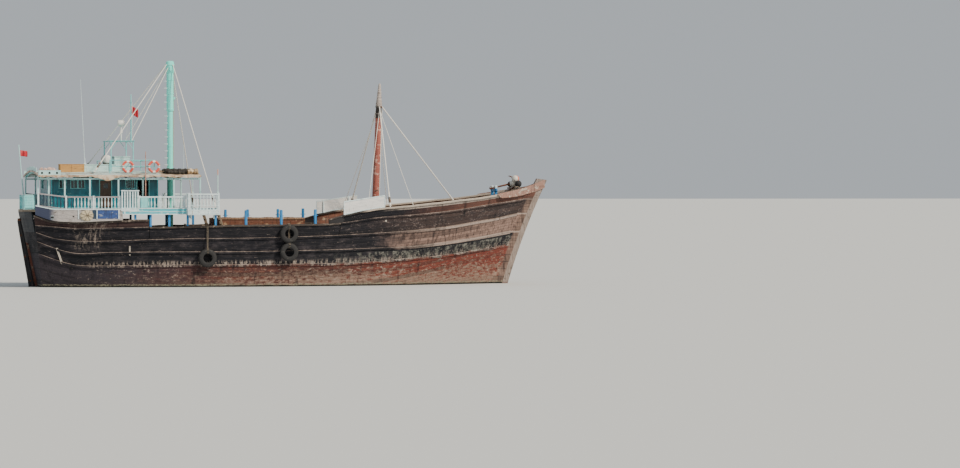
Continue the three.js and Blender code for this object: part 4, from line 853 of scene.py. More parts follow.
    # Faces of the upper wales rubbed pale forward, and scuppers' drips on the quarter
    level = mathNode(tree, "PINGPONG", zone, 0.5)
    ledge = times(rise(level, 0.05, 0.035), rise(zone, 1.5, 1.6), rise(plus(x, patch, 3.0), 6.0, 11.0))
    colour = lay(colour, "edge", ledge, 0.0, 1.25)
    quarter = times(rise(x, -13.7, -12.9), rise(x, -10.8, -11.8), rise(plus(run, speck, 0.35), 0.62, 0.76))
    quarter = times(quarter, rise(zone, 1.7, 3.2), rise(runWide, 0.62, 0.42))
    colour = lay(colour, "drip", quarter, 0.0, 1.7)
    colour = lay(colour, "grime", plankTone, 0.3, 1.7)
    colour = lay(colour, "grime", grain, 0.5, 0.82)
    colour = lay(colour, "grime", scour, 0.54, 0.82)
    colour = lay(colour, "grime", run, 0.54, 0.8)
    scratch = times(rise(plus(scour, fleck, 0.6), 0.84, 1.02), rise(speck, 0.46, 0.6))
    colour = lay(colour, "sheerPale", scratch, 0.1, 1.35)
    colour = lay(colour, "grime", runWide, 0.55, 0.8)
    # Waterline: a thin pale salt and scum line over a dark weedy one
    wet = plus(z, patch, 0.16)
    colour = lay(colour, "scum", times(rise(wet, 0.32, 0.24), speck), 0.38, 0.62)
    weedMask = times(rise(wet, 0.22, 0.12), rise(plus(z, fleck, 0.8), -0.4, 0.3))
    colour = lay(colour, "weed", weedMask, 0.0, 1.0)
    # Corners of the wales paler, most along their upper edges, in broken lengths
    paleCorners = plus(plus(edge, patch, 0.9), speck, 0.7)
    colour = lay(colour, "edge", paleCorners, 1.45, 2.1)
    colour = lay(colour, "grime", seam, 0.15, 1.3)
    colour = lay(colour, "grime", butt, 0.3, 1.3)
    tree.links.new(colour, shader.inputs["Base Color"])
    shader.inputs["Specular IOR Level"].default_value = 0.28
    relief(tree, shader, mathNode(tree, "SUBTRACT", grain, seam), 0.8, 0.012, 0.62, 0.88)
    return material


# Ends of the upper planks that lap the stem's sides, up to a strip of its face left bare
hood = {"from": 0.9935, "low": -0.5, "high": 5.62, "bare": 0.36, "lift": 0.012,
        "levels": [0, 2.26, 3.1, 4.22, 5.1, 5.8], "strakeX": [12.35, 12.6, 13.4, 14.3, 14.87, 15.3, 15.88],
        "strakeTop": [5.40, 5.45, 5.58, 5.74, 5.87, 6.03, 6.27],
        "strakeLow": [5.35, 5.14, 5.2, 5.32, 5.42, 5.53, 5.76],
        "stemSide": 0.152, "strakeThick": 0.055}


def stemFront(z):
    return 13.56 + 0.3 * z + 0.0154 * z * z


# Grid from the planking's end to the stem's side: each row straight, eased in at the hull end
def makeHoodEnds():
    h = hood
    z = np.linspace(h["low"], h["high"], 46)
    s = stationAt(np.full(len(z), h["from"]))
    a = pointsOf(hullX(s["u"], z), halfBreadth(s, np.minimum(z, 5.8)) + 0.004, z)
    b = pointsOf(stemFront(z) - h["bare"], h["stemSide"] + h["lift"], z)
    t = np.linspace(0, 1, 13)
    ease = np.interp(t, [0, 0.3, 0.5, 1], [0, 0.62, 0.92, 1.0])
    grid = a[:, None] + (b - a)[:, None] * t[None, :, None]
    grid[:, :, 1] = a[:, None, 1] + (b - a)[:, None, 1] * ease[None]
    under = grid.copy()
    under[:, :, 1] = np.maximum(grid[:, :, 1] - 0.03, 0.1)
    zone = np.repeat(np.interp(z, h["levels"], np.arange(6)), len(t))
    rim = np.concatenate([np.arange(13), np.arange(1, 46) * 13 + 12, 45 * 13 + np.arange(11, -1, -1),
                          np.arange(44, 0, -1) * 13])
    ahead, size = np.roll(rim, -1), grid[:, :, 0].size
    wall = np.stack([rim, ahead, ahead + size, rim + size], 1)
    top = gridFaces(46, 13)
    points = np.concatenate([grid.reshape(-1, 3), under.reshape(-1, 3)])
    faces = top + (np.asarray(top)[:, ::-1] + grid[:, :, 0].size).tolist() + wall.tolist()
    for sideName in ("port", "starboard"):
        piece = meshPiece(f"hoodEnds_{sideName}", onSide([(points, faces)], sideName), hullPlanks,
                          slot="bow_planking")
        setAttribute(piece, "zone", np.tile(zone, 2))
        setAttribute(piece, "planks", np.tile(zone, 2) * 5.2 + 3)
        setAttribute(piece, "edge", np.zeros(2 * len(zone)))


# Sheer strake over the cap rail's end, lofted from the bulwark out to the stem head
def makeSheerStrake():
    h = hood
    x = np.linspace(h["strakeX"][0], h["strakeX"][-1], 34)
    high, low = [np.interp(x, h["strakeX"], h[key]) for key in ("strakeTop", "strakeLow")]
    middle = (high + low) / 2
    end = 12.63 + 0.39 * middle + 0.02
    s = stationAt(np.clip(placeAt(x, 5.5), 0, 1))
    y = np.where(x < end, halfBreadth(s, np.full(len(x), 5.5)) + 0.085, h["stemSide"] + 0.01)
    y = np.maximum(y, h["stemSide"] + 0.01)
    y = np.convolve(np.pad(y, 2, mode="edge"), np.full(5, 0.2), mode="valid")
    thick, c = h["strakeThick"], 0.012
    section = [(0, 0, 0), (1, 0, c), (1, 0.5, 0), (1, 1, -c), (0.9, 1, 0), (0, 1, 0)]
    rows = np.stack([pointsOf(x, y + thick * a, low + (high - low) * t + lift)
                     for a, t, lift in section], 1)
    pairedPieces("sheerStrake", [closedLoft(rows)], strakeTimber, slot="bow_planking")


hullPlanks = makeHullPlanks()
strakeTimber = finish("sunBleachedStrake", base="#a07e70", shade="#7f5f54", grain=(0.6, 0.04, 0.03),
                      worn="#b9ada0", wear=0.42, streak="#4d3a34", streakFrom=0.55, rough=(0.7, 0.88),
                      depth=0.006)  # pinkish timber with the last of its varnish
makeHull()
makeHoodEnds()
makeSheerStrake()
makeBulwark("quarterBulwark", ["quarter_bulwark"], 0, 0.2195, "top", hullPlanks, darkRail, bulwarkInside,
            True, "tarred_planking")
makeBulwark("mainBulwark", ["main_bulwark"], 0.2205, 0.6045, "railZ", hullPlanks, darkRail, bulwarkInside,
            False, "bare_rail")
makeBulwark("bowBulwark", ["bow_bulwark"], 0.6055, 0.994, "top", hullPlanks, bareRail, bulwarkInside, True,
            "bow_planking")
print("hull and bulwarks made")


# Timber heads that stand on the main rail, sky blue, each with a cut-back top
heads = {"starboard": [-3.2, -1.11, 0.92], "port": [-3.01, -1.65, 0.21, 1.75],
         "tall": 0.85, "half": (0.075, 0.08)}


def makeTimberHeads():
    a, b = heads["half"]
    for sideName, sign in (("starboard", -1), ("port", 1)):
        parts = []
        for x in heads[sideName]:
            z = float(stationAt(placeAt(x, 3.5))["railZ"][0])
            y = sign * (float(sideY(x, z)[0]) - 0.09)
            parts.append(postPart(x, y, a, b, z - 0.06, z + heads["tall"], 0.028))
            parts.append(tubePart([(x - 0.16, y, z + 0.5), (x + 0.16, y, z + 0.5)], 0.018, 8))
        meshPiece(f"timberHeads_{sideName}", parts, skyPaint, slot="bare_rail")


# Poop: height of its floor, place and thickness of the boards that close its edge
poop = {"floor": 4.5003, "boardGap": 0.0083, "boardThick": 0.05}


# Edge in plan: the side at that height, a little proud
def poopEdge(x, inset=0.0):
    return sideY(np.maximum(np.atleast_1d(x), -15.25), 4.1) + 0.02 - inset


# Rise of the boards towards the stern
def sternRise(x):
    return np.maximum(0, (-14.3 - x) * 0.2)


spindleBlue = finish("darkBlueSpindles", base="#2a4055", shade="#1f3144", grain=(0.04, 0.04, 0.2),
                     worn="#6f7f88", wear=0.3, rough=(0.5, 0.7))
railGrey = finish("greyedHandrail", base="#aaa5a8", shade="#8a868a", grain=(0.5, 0.03, 0.03), worn="#6f665f",
                  wear=0.36, rough=(0.65, 0.85))


# Boards that close the edge of the poop: a plank wall lofted along the side, with mouldings over it.
# Mouldings are (foot, height, how proud), panels (after end, fore end, foot, head) and scuppers
# (X, half length, foot, head)
sideBoard = {"aft": (-15.33, -10.4), "fore": (-10.41, -4.8), "fascia": (4.21, 4.588), "quarterTop": 4.54,
             "mouldings": [(4.21, 0.045, 0.012), (4.365, 0.03, 0.01), (4.54, 0.052, 0.024)],
             "bluePanel": (-11.86, -10.66, 3.98, 4.46), "navyPatch": (-12.13, -11.91, 3.97, 4.47),
             "battens": (-11.9, -10.66, -12.95), "frames": (3.955, 4.125),
             "scuppers": [(-14.38, 0.07, 3.98, 4.12), (-13.2, 0.05, 4.06, 4.14), (-11.9, 0.05, 4.06, 4.14)]}


def makeSideBoards():
    look = sideBoard
    xa, xf = np.linspace(*look["aft"], 40), np.linspace(*look["fore"], 36)
    b0 = poop["boardGap"]
    b1 = b0 + poop["boardThick"]

    def wall(x, low, high, t0=b0, t1=b1, rows=5):
        y = poopEdge(x)
        share = np.linspace(0, 1, rows)[:, None, None]
        out, back = [np.stack([x, y + t, 0 * x + a], -1) * (1 - share)
                     + np.stack([x, y + t, 0 * x + b], -1) * share
                     for t, a, b in ((t1, low, high), (t0, high, low))]
        return closedLoft(np.concatenate([out, back]).transpose(1, 0, 2))

    def patchOn(x0, x1, z0, z1, t0, t1, count=3):
        return wall(np.linspace(x0, x1, count), z0, z1, b1 + t0, b1 + t1, 3)

    quarterTop = look["quarterTop"] + sternRise(xa)
    low = stationAt(placeAt(xa, 3.5))["top"] + 0.002
    board = wall(xa, low, quarterTop)
    capStrip = wall(xa, quarterTop - 0.05, quarterTop + 0.012, b0, b1 + 0.022, 2)
    footStrip = wall(xa, low, low + 0.045, b0, b1 + 0.018, 2)
    mouldings = [wall(xf, z, z + h, b0, b1 + t, 2) for z, h, t in look["mouldings"]]
    pairedPieces("poopSideBoard", [board, wall(xf, *look["fascia"]), capStrip, footStrip, *mouldings],
                 [greyBoard, fasciaPaint, whitePaint], "poop_side_board", faceSlots=[0, 1, 2, 0, 2, 2, 2],
                 slot="white_paint")
    # Scuppers are dark patches let into the board, a painted shade for their holes
    scuppers = [patchOn(x - half, x + half, z0, z1, -0.02, 0.003) for x, half, z0, z1 in look["scuppers"]]
    frames = [patchOn(-14.47, -14.29, z, z + 0.02, 0, 0.012) for z in look["frames"]]
    battens = [patchOn(x, x + 0.05, 3.96, 4.5, 0.001, 0.034) for x in look["battens"]]
    pairedPieces("scuppers", scuppers, holeShadeAndSeams)
    pairedPieces("boardTrim", frames + battens, whitePaint)
    pairedPieces("bluePanel", [patchOn(*look["bluePanel"], 0.001, 0.02, 8)], bluePanel)
    pairedPieces("navyPatch", [patchOn(*look["navyPatch"], 0.001, 0.008, 8)], spindleBlue)


# Turned balusters between two rails; the profile is a vase on a square foot
railing = {"profile": [(0.032, 0.0), (0.034, 0.09), (0.018, 0.11), (0.022, 0.16), (0.04, 0.3),
                       (0.045, 0.42), (0.034, 0.6), (0.018, 0.76), (0.026, 0.82), (0.018, 0.86),
                       (0.034, 0.89), (0.032, 1.0)],
           "aft": {"xs": [-15.15, -13.6, -12.05, -10.55], "tall": 0.76, "pitch": 0.2, "rise": 0.2},
           "fore": {"xs": [-9.42, -8.25, -6.8], "tall": 0.76, "pitch": 0.21, "rise": 0.0}}


def balustradeParts(points, z, tall, pitch, rise=0.0):
    p = np.asarray(points, float)
    parts = []
    spindle = lathePart(np.array(railing["profile"]) * [1, tall - 0.13], (0, 0, 0), 8)
    lift = rise * np.maximum(0, (-13.6 - p[:, 0]) / 1.55)
    for a, b, liftA, liftB in zip(p[:-1], p[1:], lift[:-1], lift[1:]):
        count = max(1, round(float(np.hypot(*(b - a))) / pitch))
        t = (np.arange(count) + 0.5) / count
        spots = np.column_stack([a + (b - a) * t[:, None], z + 0.06 + liftA + (liftB - liftA) * t])
        parts += [(spindle[0] + spot, spindle[1]) for spot in spots]
    line = np.column_stack([p, z + lift])
    parts.append(carriedPart(softSection(-0.035, 0.035, 0.012, 0.065, 0.008), line))
    parts.append(carriedPart([(-0.045, tall - 0.075), (0.045, tall - 0.075), (0.052, tall - 0.05),
                              (0.04, tall - 0.01), (0.02, tall), (-0.02, tall), (-0.04, tall - 0.01),
                              (-0.052, tall - 0.05)], line))
    for (x, y), up in zip(p, lift):
        top = z + tall + up
        parts.append(postPart(x, y, 0.05, 0.05, z, top + 0.03, 0.012))
        parts.append(postPart(x, y, 0.06, 0.06, top, top + 0.032, 0.01))
    return parts


# Posts of a rail along the poop's edge, at the given places along the boat
def railLine(xs, inset=0.07):
    return np.column_stack([xs, poopEdge(np.array(xs), inset)])


def makeBalustrades():
    parts = []
    for run in ("aft", "fore"):
        r = railing[run]
        parts += balustradeParts(railLine(r["xs"]), poop["floor"], r["tall"], r["pitch"], rise=r["rise"])
    # Past the after end the spindles (96 points) are dark blue under a greyed handrail (32 points)
    slots = []
    for points, _ in parts:
        foremost, length = float(np.max(points[:, 0])), float(np.ptp(points[:, 0]))
        slim = len(points) == 96 and foremost < -13.2
        handrail = len(points) == 32 and length > 3 and foremost < -10
        slots.append(1 if slim else 2 if handrail else 0)
    pairedPieces("turnedBalustrade", parts, [whitePaint, spindleBlue, railGrey], "balustrade",
                 slot="white_paint", faceSlots=slots)
    y = float(poopEdge(-9.95, -0.012)[0])
    bay = [blockPart((x - 0.042, y, 4.5), (x + 0.042, y + 0.045, 5.6), 0.008)
           for x in np.linspace(-10.44, -9.52, 7)]
    bay += [blockPart((-10.51, y - 0.02, z), (-9.45, y + 0.07, z + h), 0.012)
            for z, h in ((4.4, 0.13), (5.55, 0.07))]
    bay += [blockPart((x - 0.04, y, 4.22), (x + 0.04, y + 0.06, 4.4), 0.012) for x in (-10.3, -9.6)]
    pairedPieces("slattedBay", bay, whitePaint)
    panel = [blockPart((-9.38, y - 0.01, 4.6), (-8.92, y + 0.05, 5.2), 0.015)]
    panel += [blockPart((x - 0.02, y + 0.05, 4.6), (x + 0.02, y + 0.065, 5.2), 0.005) for x in (-9.34, -8.96)]
    pairedPieces("railLocker", panel, palePaint)
    stern = [(-15.32, -2.18), (-15.7, -0.88), (-15.7, 0.88), (-15.32, 2.18)]
    meshPiece("sternBalustrade", balustradeParts(stern, poop["floor"], 0.82, 0.22), palePaint,
              replaces=["stern_balustrade"], slot="pale_paint")


# Box balcony: a tray that hangs outside the poop edge, its skirt panelled, balusters round its rim
balcony = {"x0": -6.72, "x1": -4.88, "out": 0.52, "skirt": 4.19, "top": 5.42}


def makeBalconies():
    x0, x1, out, low, top = [balcony[k] for k in ("x0", "x1", "out", "skirt", "top")]
    inner = float(poopEdge(x1)[0]) + 0.0583
    corner = inner + out - 0.035
    skirt = [blockPart((x0, inner + out - 0.06, low), (x1, inner + out, 4.48), 0.008),
             blockPart((x0, inner, low), (x0 + 0.06, inner + out, 4.48), 0.008),
             blockPart((x1 - 0.06, inner, low), (x1, inner + out, 4.48), 0.008),
             blockPart((x0, inner, low), (x1, inner + out, low + 0.06), 0.008)]
    trim = [blockPart((x0 - 0.02, inner, z), (x1 + 0.02, inner + out + 0.02, z + h), 0.01)
            for z, h in ((low - 0.01, 0.05), (4.42, 0.08))]
    trim += [blockPart((x - 0.03, inner + out, low + 0.04), (x + 0.03, inner + out + 0.015, 4.42), 0.006)
             for x in np.linspace(x0 + 0.03, x1 - 0.03, 4)]
    knees = [blockPart((x - 0.03, inner - 0.02, low - 0.24), (x + 0.03, inner + 0.14, low - 0.005), 0.01)
             for x in (x0 + 0.25, x1 - 0.25)]
    points = [(x0 + 0.05, inner + 0.05), (x0 + 0.05, corner - 0.01), (x1 - 0.05, corner - 0.01),
              (x1 - 0.05, inner + 0.05)]
    rails = balustradeParts(points, 4.44, top - 4.44, 0.19)
    mid = [blockPart((x0 + 0.05, corner - 0.04, z), (x1 - 0.05, corner + 0.02, z + 0.035), 0.01)
           for z in (4.72, 5.2)]
    pairedPieces("railedBalcony", skirt + trim + knees + rails + mid, whitePaint, "balcony",
                 slot="white_paint")


# Deckhouse joinery: frames, glass and bars in each window, casings round the doors, a plinth and a cornice
house = {"half": 2.3, "aft": -14.35, "front": -8.1, "sill": 5.74, "head": 6.19,
         "windows": [(-13.85, -13.48), (-13.18, -12.83), (-12.74, -12.4), (-9.98, -9.76), (-9.72, -9.5)],
         "doorway": (-11.5, -10.85), "helmWay": (-9.33, -8.66),
         "panes": [-1.75, -1.15, -0.55, 0.05, 0.65, 1.25], "aftPanes": [-1.5, 1.0]}


# Frame round an opening of the side wall: head, sill and two jambs
def frameParts(x0, x1, y0, y1, z0, z1, wide=0.035):
    return [blockPart((x0 - wide, y0, z1), (x1 + wide, y1, z1 + wide), 0.006),
            blockPart((x0 - wide - 0.015, y0, z0 - wide), (x1 + wide + 0.015, y1 + 0.012, z0), 0.006),
            blockPart((x0 - wide, y0, z0), (x0, y1, z1), 0.006),
            blockPart((x1, y0, z0), (x1 + wide, y1, z1), 0.006)]


def makeDeckhouseJoinery():
    h, sill, head, aft, front = [house[k] for k in ("half", "sill", "head", "aft", "front")]
    frames, panes, casing, trim = [], [], [], []
    for x0, x1 in house["windows"]:
        x = (x0 + x1) / 2
        frames += frameParts(x0, x1, h + 0.001, h + 0.03, sill, head)
        frames.append(blockPart((x - 0.01, h - 0.05, sill), (x + 0.01, h - 0.02, head), 0.003))
        panes.append(blockPart((x0 + 0.001, h - 0.045, sill + 0.001),
                               (x1 - 0.001, h - 0.037, head - 0.001), 0.001))
    (d0, d1), (w0, w1) = house["doorway"], house["helmWay"]
    for x0, x1, low, high in ((d0, d1, 4.62, 6.18), (w0, w1, 4.57, 6.2)):
        sides = frameParts(x0, x1, h + 0.001, h + 0.035, low, high, 0.05)
        casing += [sides[k] for k in (0, 2, 3)]
    for a, b in ((aft, d0 - 0.06), (d1 + 0.06, w0 - 0.06), (w1 + 0.06, front)):
        trim += [blockPart((a, h + 0.001, 4.502), (b, h + 0.028, 4.64), 0.008),
                 blockPart((a, h + 0.001, 5.3), (b, h + 0.022, 5.34), 0.006)]
    trim += [blockPart((x - 0.035, h + 0.001, 4.64), (x + 0.035, h + 0.024, 6.26), 0.006)
             for x in (-14.31, -12.0, -8.14)]
    pairedPieces("windowFrames", frames, palePaint)
    pairedPieces("windowGlass", panes, glass)
    pairedPieces("doorCasings", casing, palePaint)
    pairedPieces("wallTrim", trim, fasciaPaint)
    # End walls: for each pane its Y, sill, the frame's X limits and the glass's after face
    rows = [(y, 5.5, front + 0.001, front + 0.03, -8.145) for y in house["panes"]]
    rows += [(y, 5.74, aft - 0.03, aft - 0.001, -14.316) for y in house["aftPanes"]]
    ends, glassEnds = [], []
    for y, low, x0, x1, face in rows:
        for z0, z1, a, b in ((low - 0.04, low, y - 0.04, y + 0.54), (head, head + 0.04, y - 0.04, y + 0.54),
                             (low, head, y - 0.04, y), (low, head, y + 0.5, y + 0.54)):
            ends.append(blockPart((x0, a, z0), (x1, b, z1), 0.005))
        glassEnds.append(blockPart((face, y + 0.001, low + 0.001),
                                   (face + 0.008, y + 0.499, head - 0.001), 0.001))
    meshPiece("endWindowFrames", ends, palePaint)
    meshPiece("endWindowGlass", glassEnds, glass)


makeTimberHeads()
makeSideBoards()
makeBalustrades()
makeBalconies()
makeDeckhouseJoinery()
print("poop and deckhouse made")


# Cambered roof over the poop: height falls from the middle with the square of the distance
roof = {"aft": -15.2, "front": -8.05, "canvasFront": -5.72, "half": 3.33, "edge": 6.38, "camber": 0.3,
        "thick": 0.08, "beams": [-15.1, -13.66, -12.22, -10.57, -9.15, -8.14],
        "posts": [-15.15, -14.55, -13.66, -12.22, -10.57, -9.15, -7.34, -5.8]}


def roofLevel(y):
    return roof["edge"] + roof["camber"] * (1 - (np.asarray(y, float) / roof["half"]) ** 2)


# Sheet over the roof curve: top and bottom rows make one closed ring for each X, ripple lifts it
def roofSheet(x0, x1, thick, lift, ripple=None, rows=60, across=36):
    x = np.linspace(x0, x1, rows)[:, None]
    y = np.linspace(-roof["half"], roof["half"], across)[None, :]
    wave = ripple(x, y) if ripple else 0 * x * y
    top = np.stack(np.broadcast_arrays(x, y, roofLevel(y) + lift + thick + wave), -1)
    low = np.stack(np.broadcast_arrays(x, y, roofLevel(y) + lift + wave), -1)
    return closedLoft(np.concatenate([top, low[:, ::-1]], 1))


def makeRoof():
    aft, front, half = roof["aft"], roof["front"], roof["half"]
    skin = roofSheet(aft, front, roof["thick"], 0.0, lambda x, y: 0.004 * np.sin(x * 5) * np.cos(y * 3), 70)
    meshPiece("roofSkin", [skin], roofPaint, replaces=["roof"], slot="pale_paint")
    beams = []
    y = np.linspace(0.04 - half, half - 0.04, 25)
    for x in roof["beams"]:
        keep = abs(y) > house["half"] + 0.01 if house["aft"] - 0.2 < x < house["front"] else y > -9
        for run in (y[keep & (y < 0)], y[keep & (y >= 0)]) if not keep.all() else (y,):
            beams.append(cornerLoft([(x + a, run, roofLevel(run) + h)
                                     for a, h in ((0, -0.06), (0.09, -0.06), (0.09, 0.001), (0, 0.001))]))
    meshPiece("roofBeams", beams, palePaint)
    xs, ys = np.linspace(aft, front, 40), np.linspace(-half, half, 30)
    paths = [pointsOf(xs, side * half, roof["edge"]) for side in (-1, 1)]
    paths += [pointsOf(x, ys, roofLevel(ys)) for x in (aft, front)]
    meshPiece("roofEdgeBoards", [carriedPart(softSection(-0.02, 0.02, 0.0, 0.095, 0.006), path)
                                 for path in paths], edgePaint)


# Posts and the plates they carry, square timbers with softened corners
def makeRoofFrame():
    parts, line = [], []
    for x in roof["posts"]:
        y = min(3.2, float(poopEdge(x, 0.19)[0]))
        top = float(roofLevel(y)) + (0.001 if x < -8 else 0.008)
        parts.append(postPart(x, y, 0.045, 0.045, poop["floor"], top, 0.012))
        parts.append(postPart(x, y, 0.065, 0.065, poop["floor"], 4.62, 0.01))
        line.append((x, y, 6.3197))
    parts.append(carriedPart(softSection(-0.045, 0.045, -0.09, 0.0, 0.01), line))
    pairedPieces("roofFrame", parts, framePaint, "roof_frame", slot="pale_paint")


# Tarpaulin forward of the roof: it sags between battens and its edge lies over the side plate
tarpaulin = {"sag": 0.045, "batten": 0.58, "thick": 0.012, "flatAcross": 6.73}


def makeAwning():
    def ripple(x, y):
        between = np.abs(np.sin(np.pi * (x - roof["front"]) / tarpaulin["batten"]))
        sag = tarpaulin["sag"] * between * (0.4 + 0.6 * np.cos(y * 1.1) ** 2)
        return 0.008 * np.sin(x * 11 + y * 5) - sag

    sheet = roofSheet(roof["front"] + 0.01, roof["canvasFront"], tarpaulin["thick"], 0.055, ripple, 60, 44)
    piece = meshPiece("awningTarpaulin", [sheet], awningCloth, replaces=["awning"], slot="canvas", sharp=70)
    y = np.linspace(-3.3, 3.3, 25)
    places = [*np.arange(roof["front"] + 0.03, roof["canvasFront"], tarpaulin["batten"]),
              roof["canvasFront"] - 0.04]
    bars = [tubePart(pointsOf(x, y, roofLevel(y) + 0.028), 0.022, 8) for x in places]
    meshPiece("awningBattens", bars, plainWood)


# Cloth strip along the roof edge: it hangs from the edge board in shallow scallops, torn and uneven.
# Torn places are (X, half width, extra drop)
hungCloth = {"aft": -15.15, "front": -5.78, "flatLength": 9.42, "drop": 0.085, "head": 6.47,
             "torn": ((-11.2, 0.5, 0.2), (-6.3, 0.5, 0.05), (-14.1, 0.35, 0.04))}


def makeEdgeCloth():
    for sideName, side in (("starboard", -1), ("port", 1)):
        rows, count = 7, 190
        x = np.linspace(hungCloth["aft"], hungCloth["front"], count)
        drop = hungCloth["drop"] + 0.02 * np.sin(x * 3.1 + side) + 0.015 * np.sin(x * 8.3)
        drop = drop + 0.01 * np.sin(x * 19 + 2)
        for centre, wide, deep in hungCloth["torn"]:
            drop = drop + deep * np.exp(-((x - centre) / wide) ** 2)
        share = np.linspace(0, 1, rows)[:, None]
        out = 0.03 + 0.012 * np.sin(x * 14)[None, :] * share + 0.01 * np.sin(x * 31)[None, :] * share
        y = side * (roof["half"] + out)
        z = hungCloth["head"] - drop[None, :] * share - 0.006 * np.sin(x * 23)[None, :] * share
        top = side * (roof["half"] - 0.12) + 0 * x
        grid = np.concatenate([np.stack([x, top, roofLevel(top) + 0.095 + 0 * x], -1)[None],
                               np.stack(np.broadcast_arrays(x[None, :], y, z), -1)])
        piece = meshPiece(f"roofEdgeCloth_{sideName}", [(grid.reshape(-1, 3), gridFaces(rows + 1, count))],
                          edgeCloth, outwards=False, sharp=80)


# Main mast: painted tube in three sizes. Bands are (height, radius), steps (lowest, limit, pitch)
mast = {"x": -7.01, "bands": ((11.3, 0.222), (12.1, 0.222), (8.2, 0.183), (6.9, 0.187)),
        "steps": (7.1, 12.42, 0.41), "halyards": (12.6, 7.05),
        "profile": [(0.215, 2.9), (0.215, 3.05), (0.18, 3.08), (0.176, 5.0), (0.168, 9.0), (0.165, 10.26),
                    (0.21, 10.28), (0.22, 10.3), (0.22, 10.4), (0.205, 10.42), (0.205, 12.5), (0.222, 12.51),
                    (0.235, 12.53), (0.235, 13.1), (0.222, 13.17), (0.16, 13.215), (0.02, 13.22)]}


def makeMainMast():
    x = mast["x"]
    parts = [lathePart(mast["profile"], (x, 0, 0), 32)]
    for z, r in mast["bands"]:
        parts.append(lathePart([(r - 0.02, z - 0.03), (r, z - 0.025), (r, z + 0.025), (r - 0.02, z + 0.03)],
                               (x, 0, 0), 32))
    # Each step is a bar bent round: out from the mast on one side, across and back on the other
    bend = [(-0.14, -0.085), (-0.32, -0.085), (-0.345, -0.07), (-0.345, 0.07), (-0.32, 0.085), (-0.14, 0.085)]
    steps = [tubePart([(x + a, b, z) for a, b in bend], 0.026, 6) for z in np.arange(*mast["steps"])]
    fittings = [blockPart((x + 0.17, -0.06, 10.95), (x + 0.3, 0.06, 11.1), 0.015)]
    for side in (-1, 1):
        fittings.append(postPart(x, side * 0.26, 0.06, 0.035, 12.62, 12.86, 0.02))
        fittings.append(lathePart([(0.02, -0.03), (0.075, -0.03), (0.06, 0), (0.075, 0.03), (0.02, 0.03)],
                                  (x, side * 0.26, 12.72), 14, "Y"))
    meshPiece("mainMast", parts, mastPaint, replaces=["main_mast"], slot="mast_paint")
    meshPiece("mastFittings", fittings, mastPaint)
    meshPiece("mastSteps", steps, whitePaint)
    high, low = mast["halyards"]
    halyards = [tubePart(lineBetween((x + 0.24, k * 0.07, high), (x + 0.2, k * 0.09, low), 20, 0), 0.009, 6)
                for k in (-1, 1)]
    meshPiece("mastHalyards", halyards, paleRope)


# Foremast: a raked spar, dark band under the hounds, its head served with old rope and canvas, and the
# servings over it. All four are (height, radius)
spar = {"x": 5.32, "foot": 3.13, "lean": 0.038,
        "body": [(3.13, 0.195), (4.2, 0.2), (6.0, 0.197), (8.0, 0.19), (9.95, 0.178)],
        "band": [(9.93, 0.1785), (10.3, 0.176), (10.66, 0.173)],
        "head": [(10.64, 0.176), (10.7, 0.19), (10.9, 0.168), (11.05, 0.148), (11.3, 0.122), (11.42, 0.126),
                 (11.55, 0.1), (11.8, 0.082), (11.93, 0.072), (11.97, 0.05), (12.0, 0.03)],
        "servings": [(10.62, 0.182), (10.78, 0.182), (10.98, 0.162), (11.2, 0.14), (11.62, 0.1),
                     (10.19, 0.182)]}


# Point of the spar's centre line: it leans forward evenly with its height
def sparPoint(z):
    return np.array([spar["x"] + spar["lean"] * (z - spar["foot"]), 0, z])


# Level rings round that line, one for each height and radius
def sparPart(levels, sides=28):
    path = np.array([sparPoint(z) for z, r in levels])
    radius = np.array([r for z, r in levels])
    turn = np.linspace(0, 2 * np.pi, sides, endpoint=False)
    ring = np.stack([np.cos(turn), np.sin(turn), 0 * turn], -1)
    return closedLoft(path[:, None] + ring[None] * radius[:, None, None])


def makeForemast():
    body, band, head = [sparPart(spar[key]) for key in ("body", "band", "head")]
    knots = [sparPart([(z - 0.025, r - 0.01), (z - 0.012, r + 0.014), (z + 0.012, r + 0.014),
                       (z + 0.025, r - 0.01)]) for z, r in spar["servings"]]
    chock = [blockPart((spar["x"] - 0.42, -0.42, 3.05), (spar["x"] + 0.42, 0.42, 3.32), 0.02),
             blockPart((spar["x"] - 0.3, -0.3, 3.3), (spar["x"] + 0.3, 0.3, 3.4), 0.02)]
    meshPiece("foremastSpar", [body], salmonPaint, replaces=["foremast"], slot="salmon_paint")
    meshPiece("foremastBand", [band], blackPaint)
    meshPiece("foremastHead", [head] + knots, bareWrap)
    meshPiece("foremastChock", chock, redOxide)
    cleats = []
    for z in (4.5, 4.9, 5.6):
        p = sparPoint(z)
        for side in (-1, 1):
            cleats.append(tubePart([p + [-0.13, side * 0.22, 0], p + [0.13, side * 0.22, 0.02]], 0.018, 6))
            cleats.append(blockPart(p + [-0.03, side * 0.205 - 0.03, -0.03],
                                    p + [0.03, side * 0.205 + 0.03, 0.03], 0.01))
    meshPiece("foremastCleats", cleats, wornSteel)


# Rails, shelf, search lamp and signal mast on the roof, tubes where the CAD has bars
gear = {"x0": -10.95, "x1": -8.35, "half": 2.45, "top": 7.35, "lamp": (-9.91, 9.54), "pole": -9.32,
        "whip": [(-12.2, 7.1), (-12.27, 8.6), (-12.36, 10.4), (-12.44, 12.05)], "whipY": -1.05}


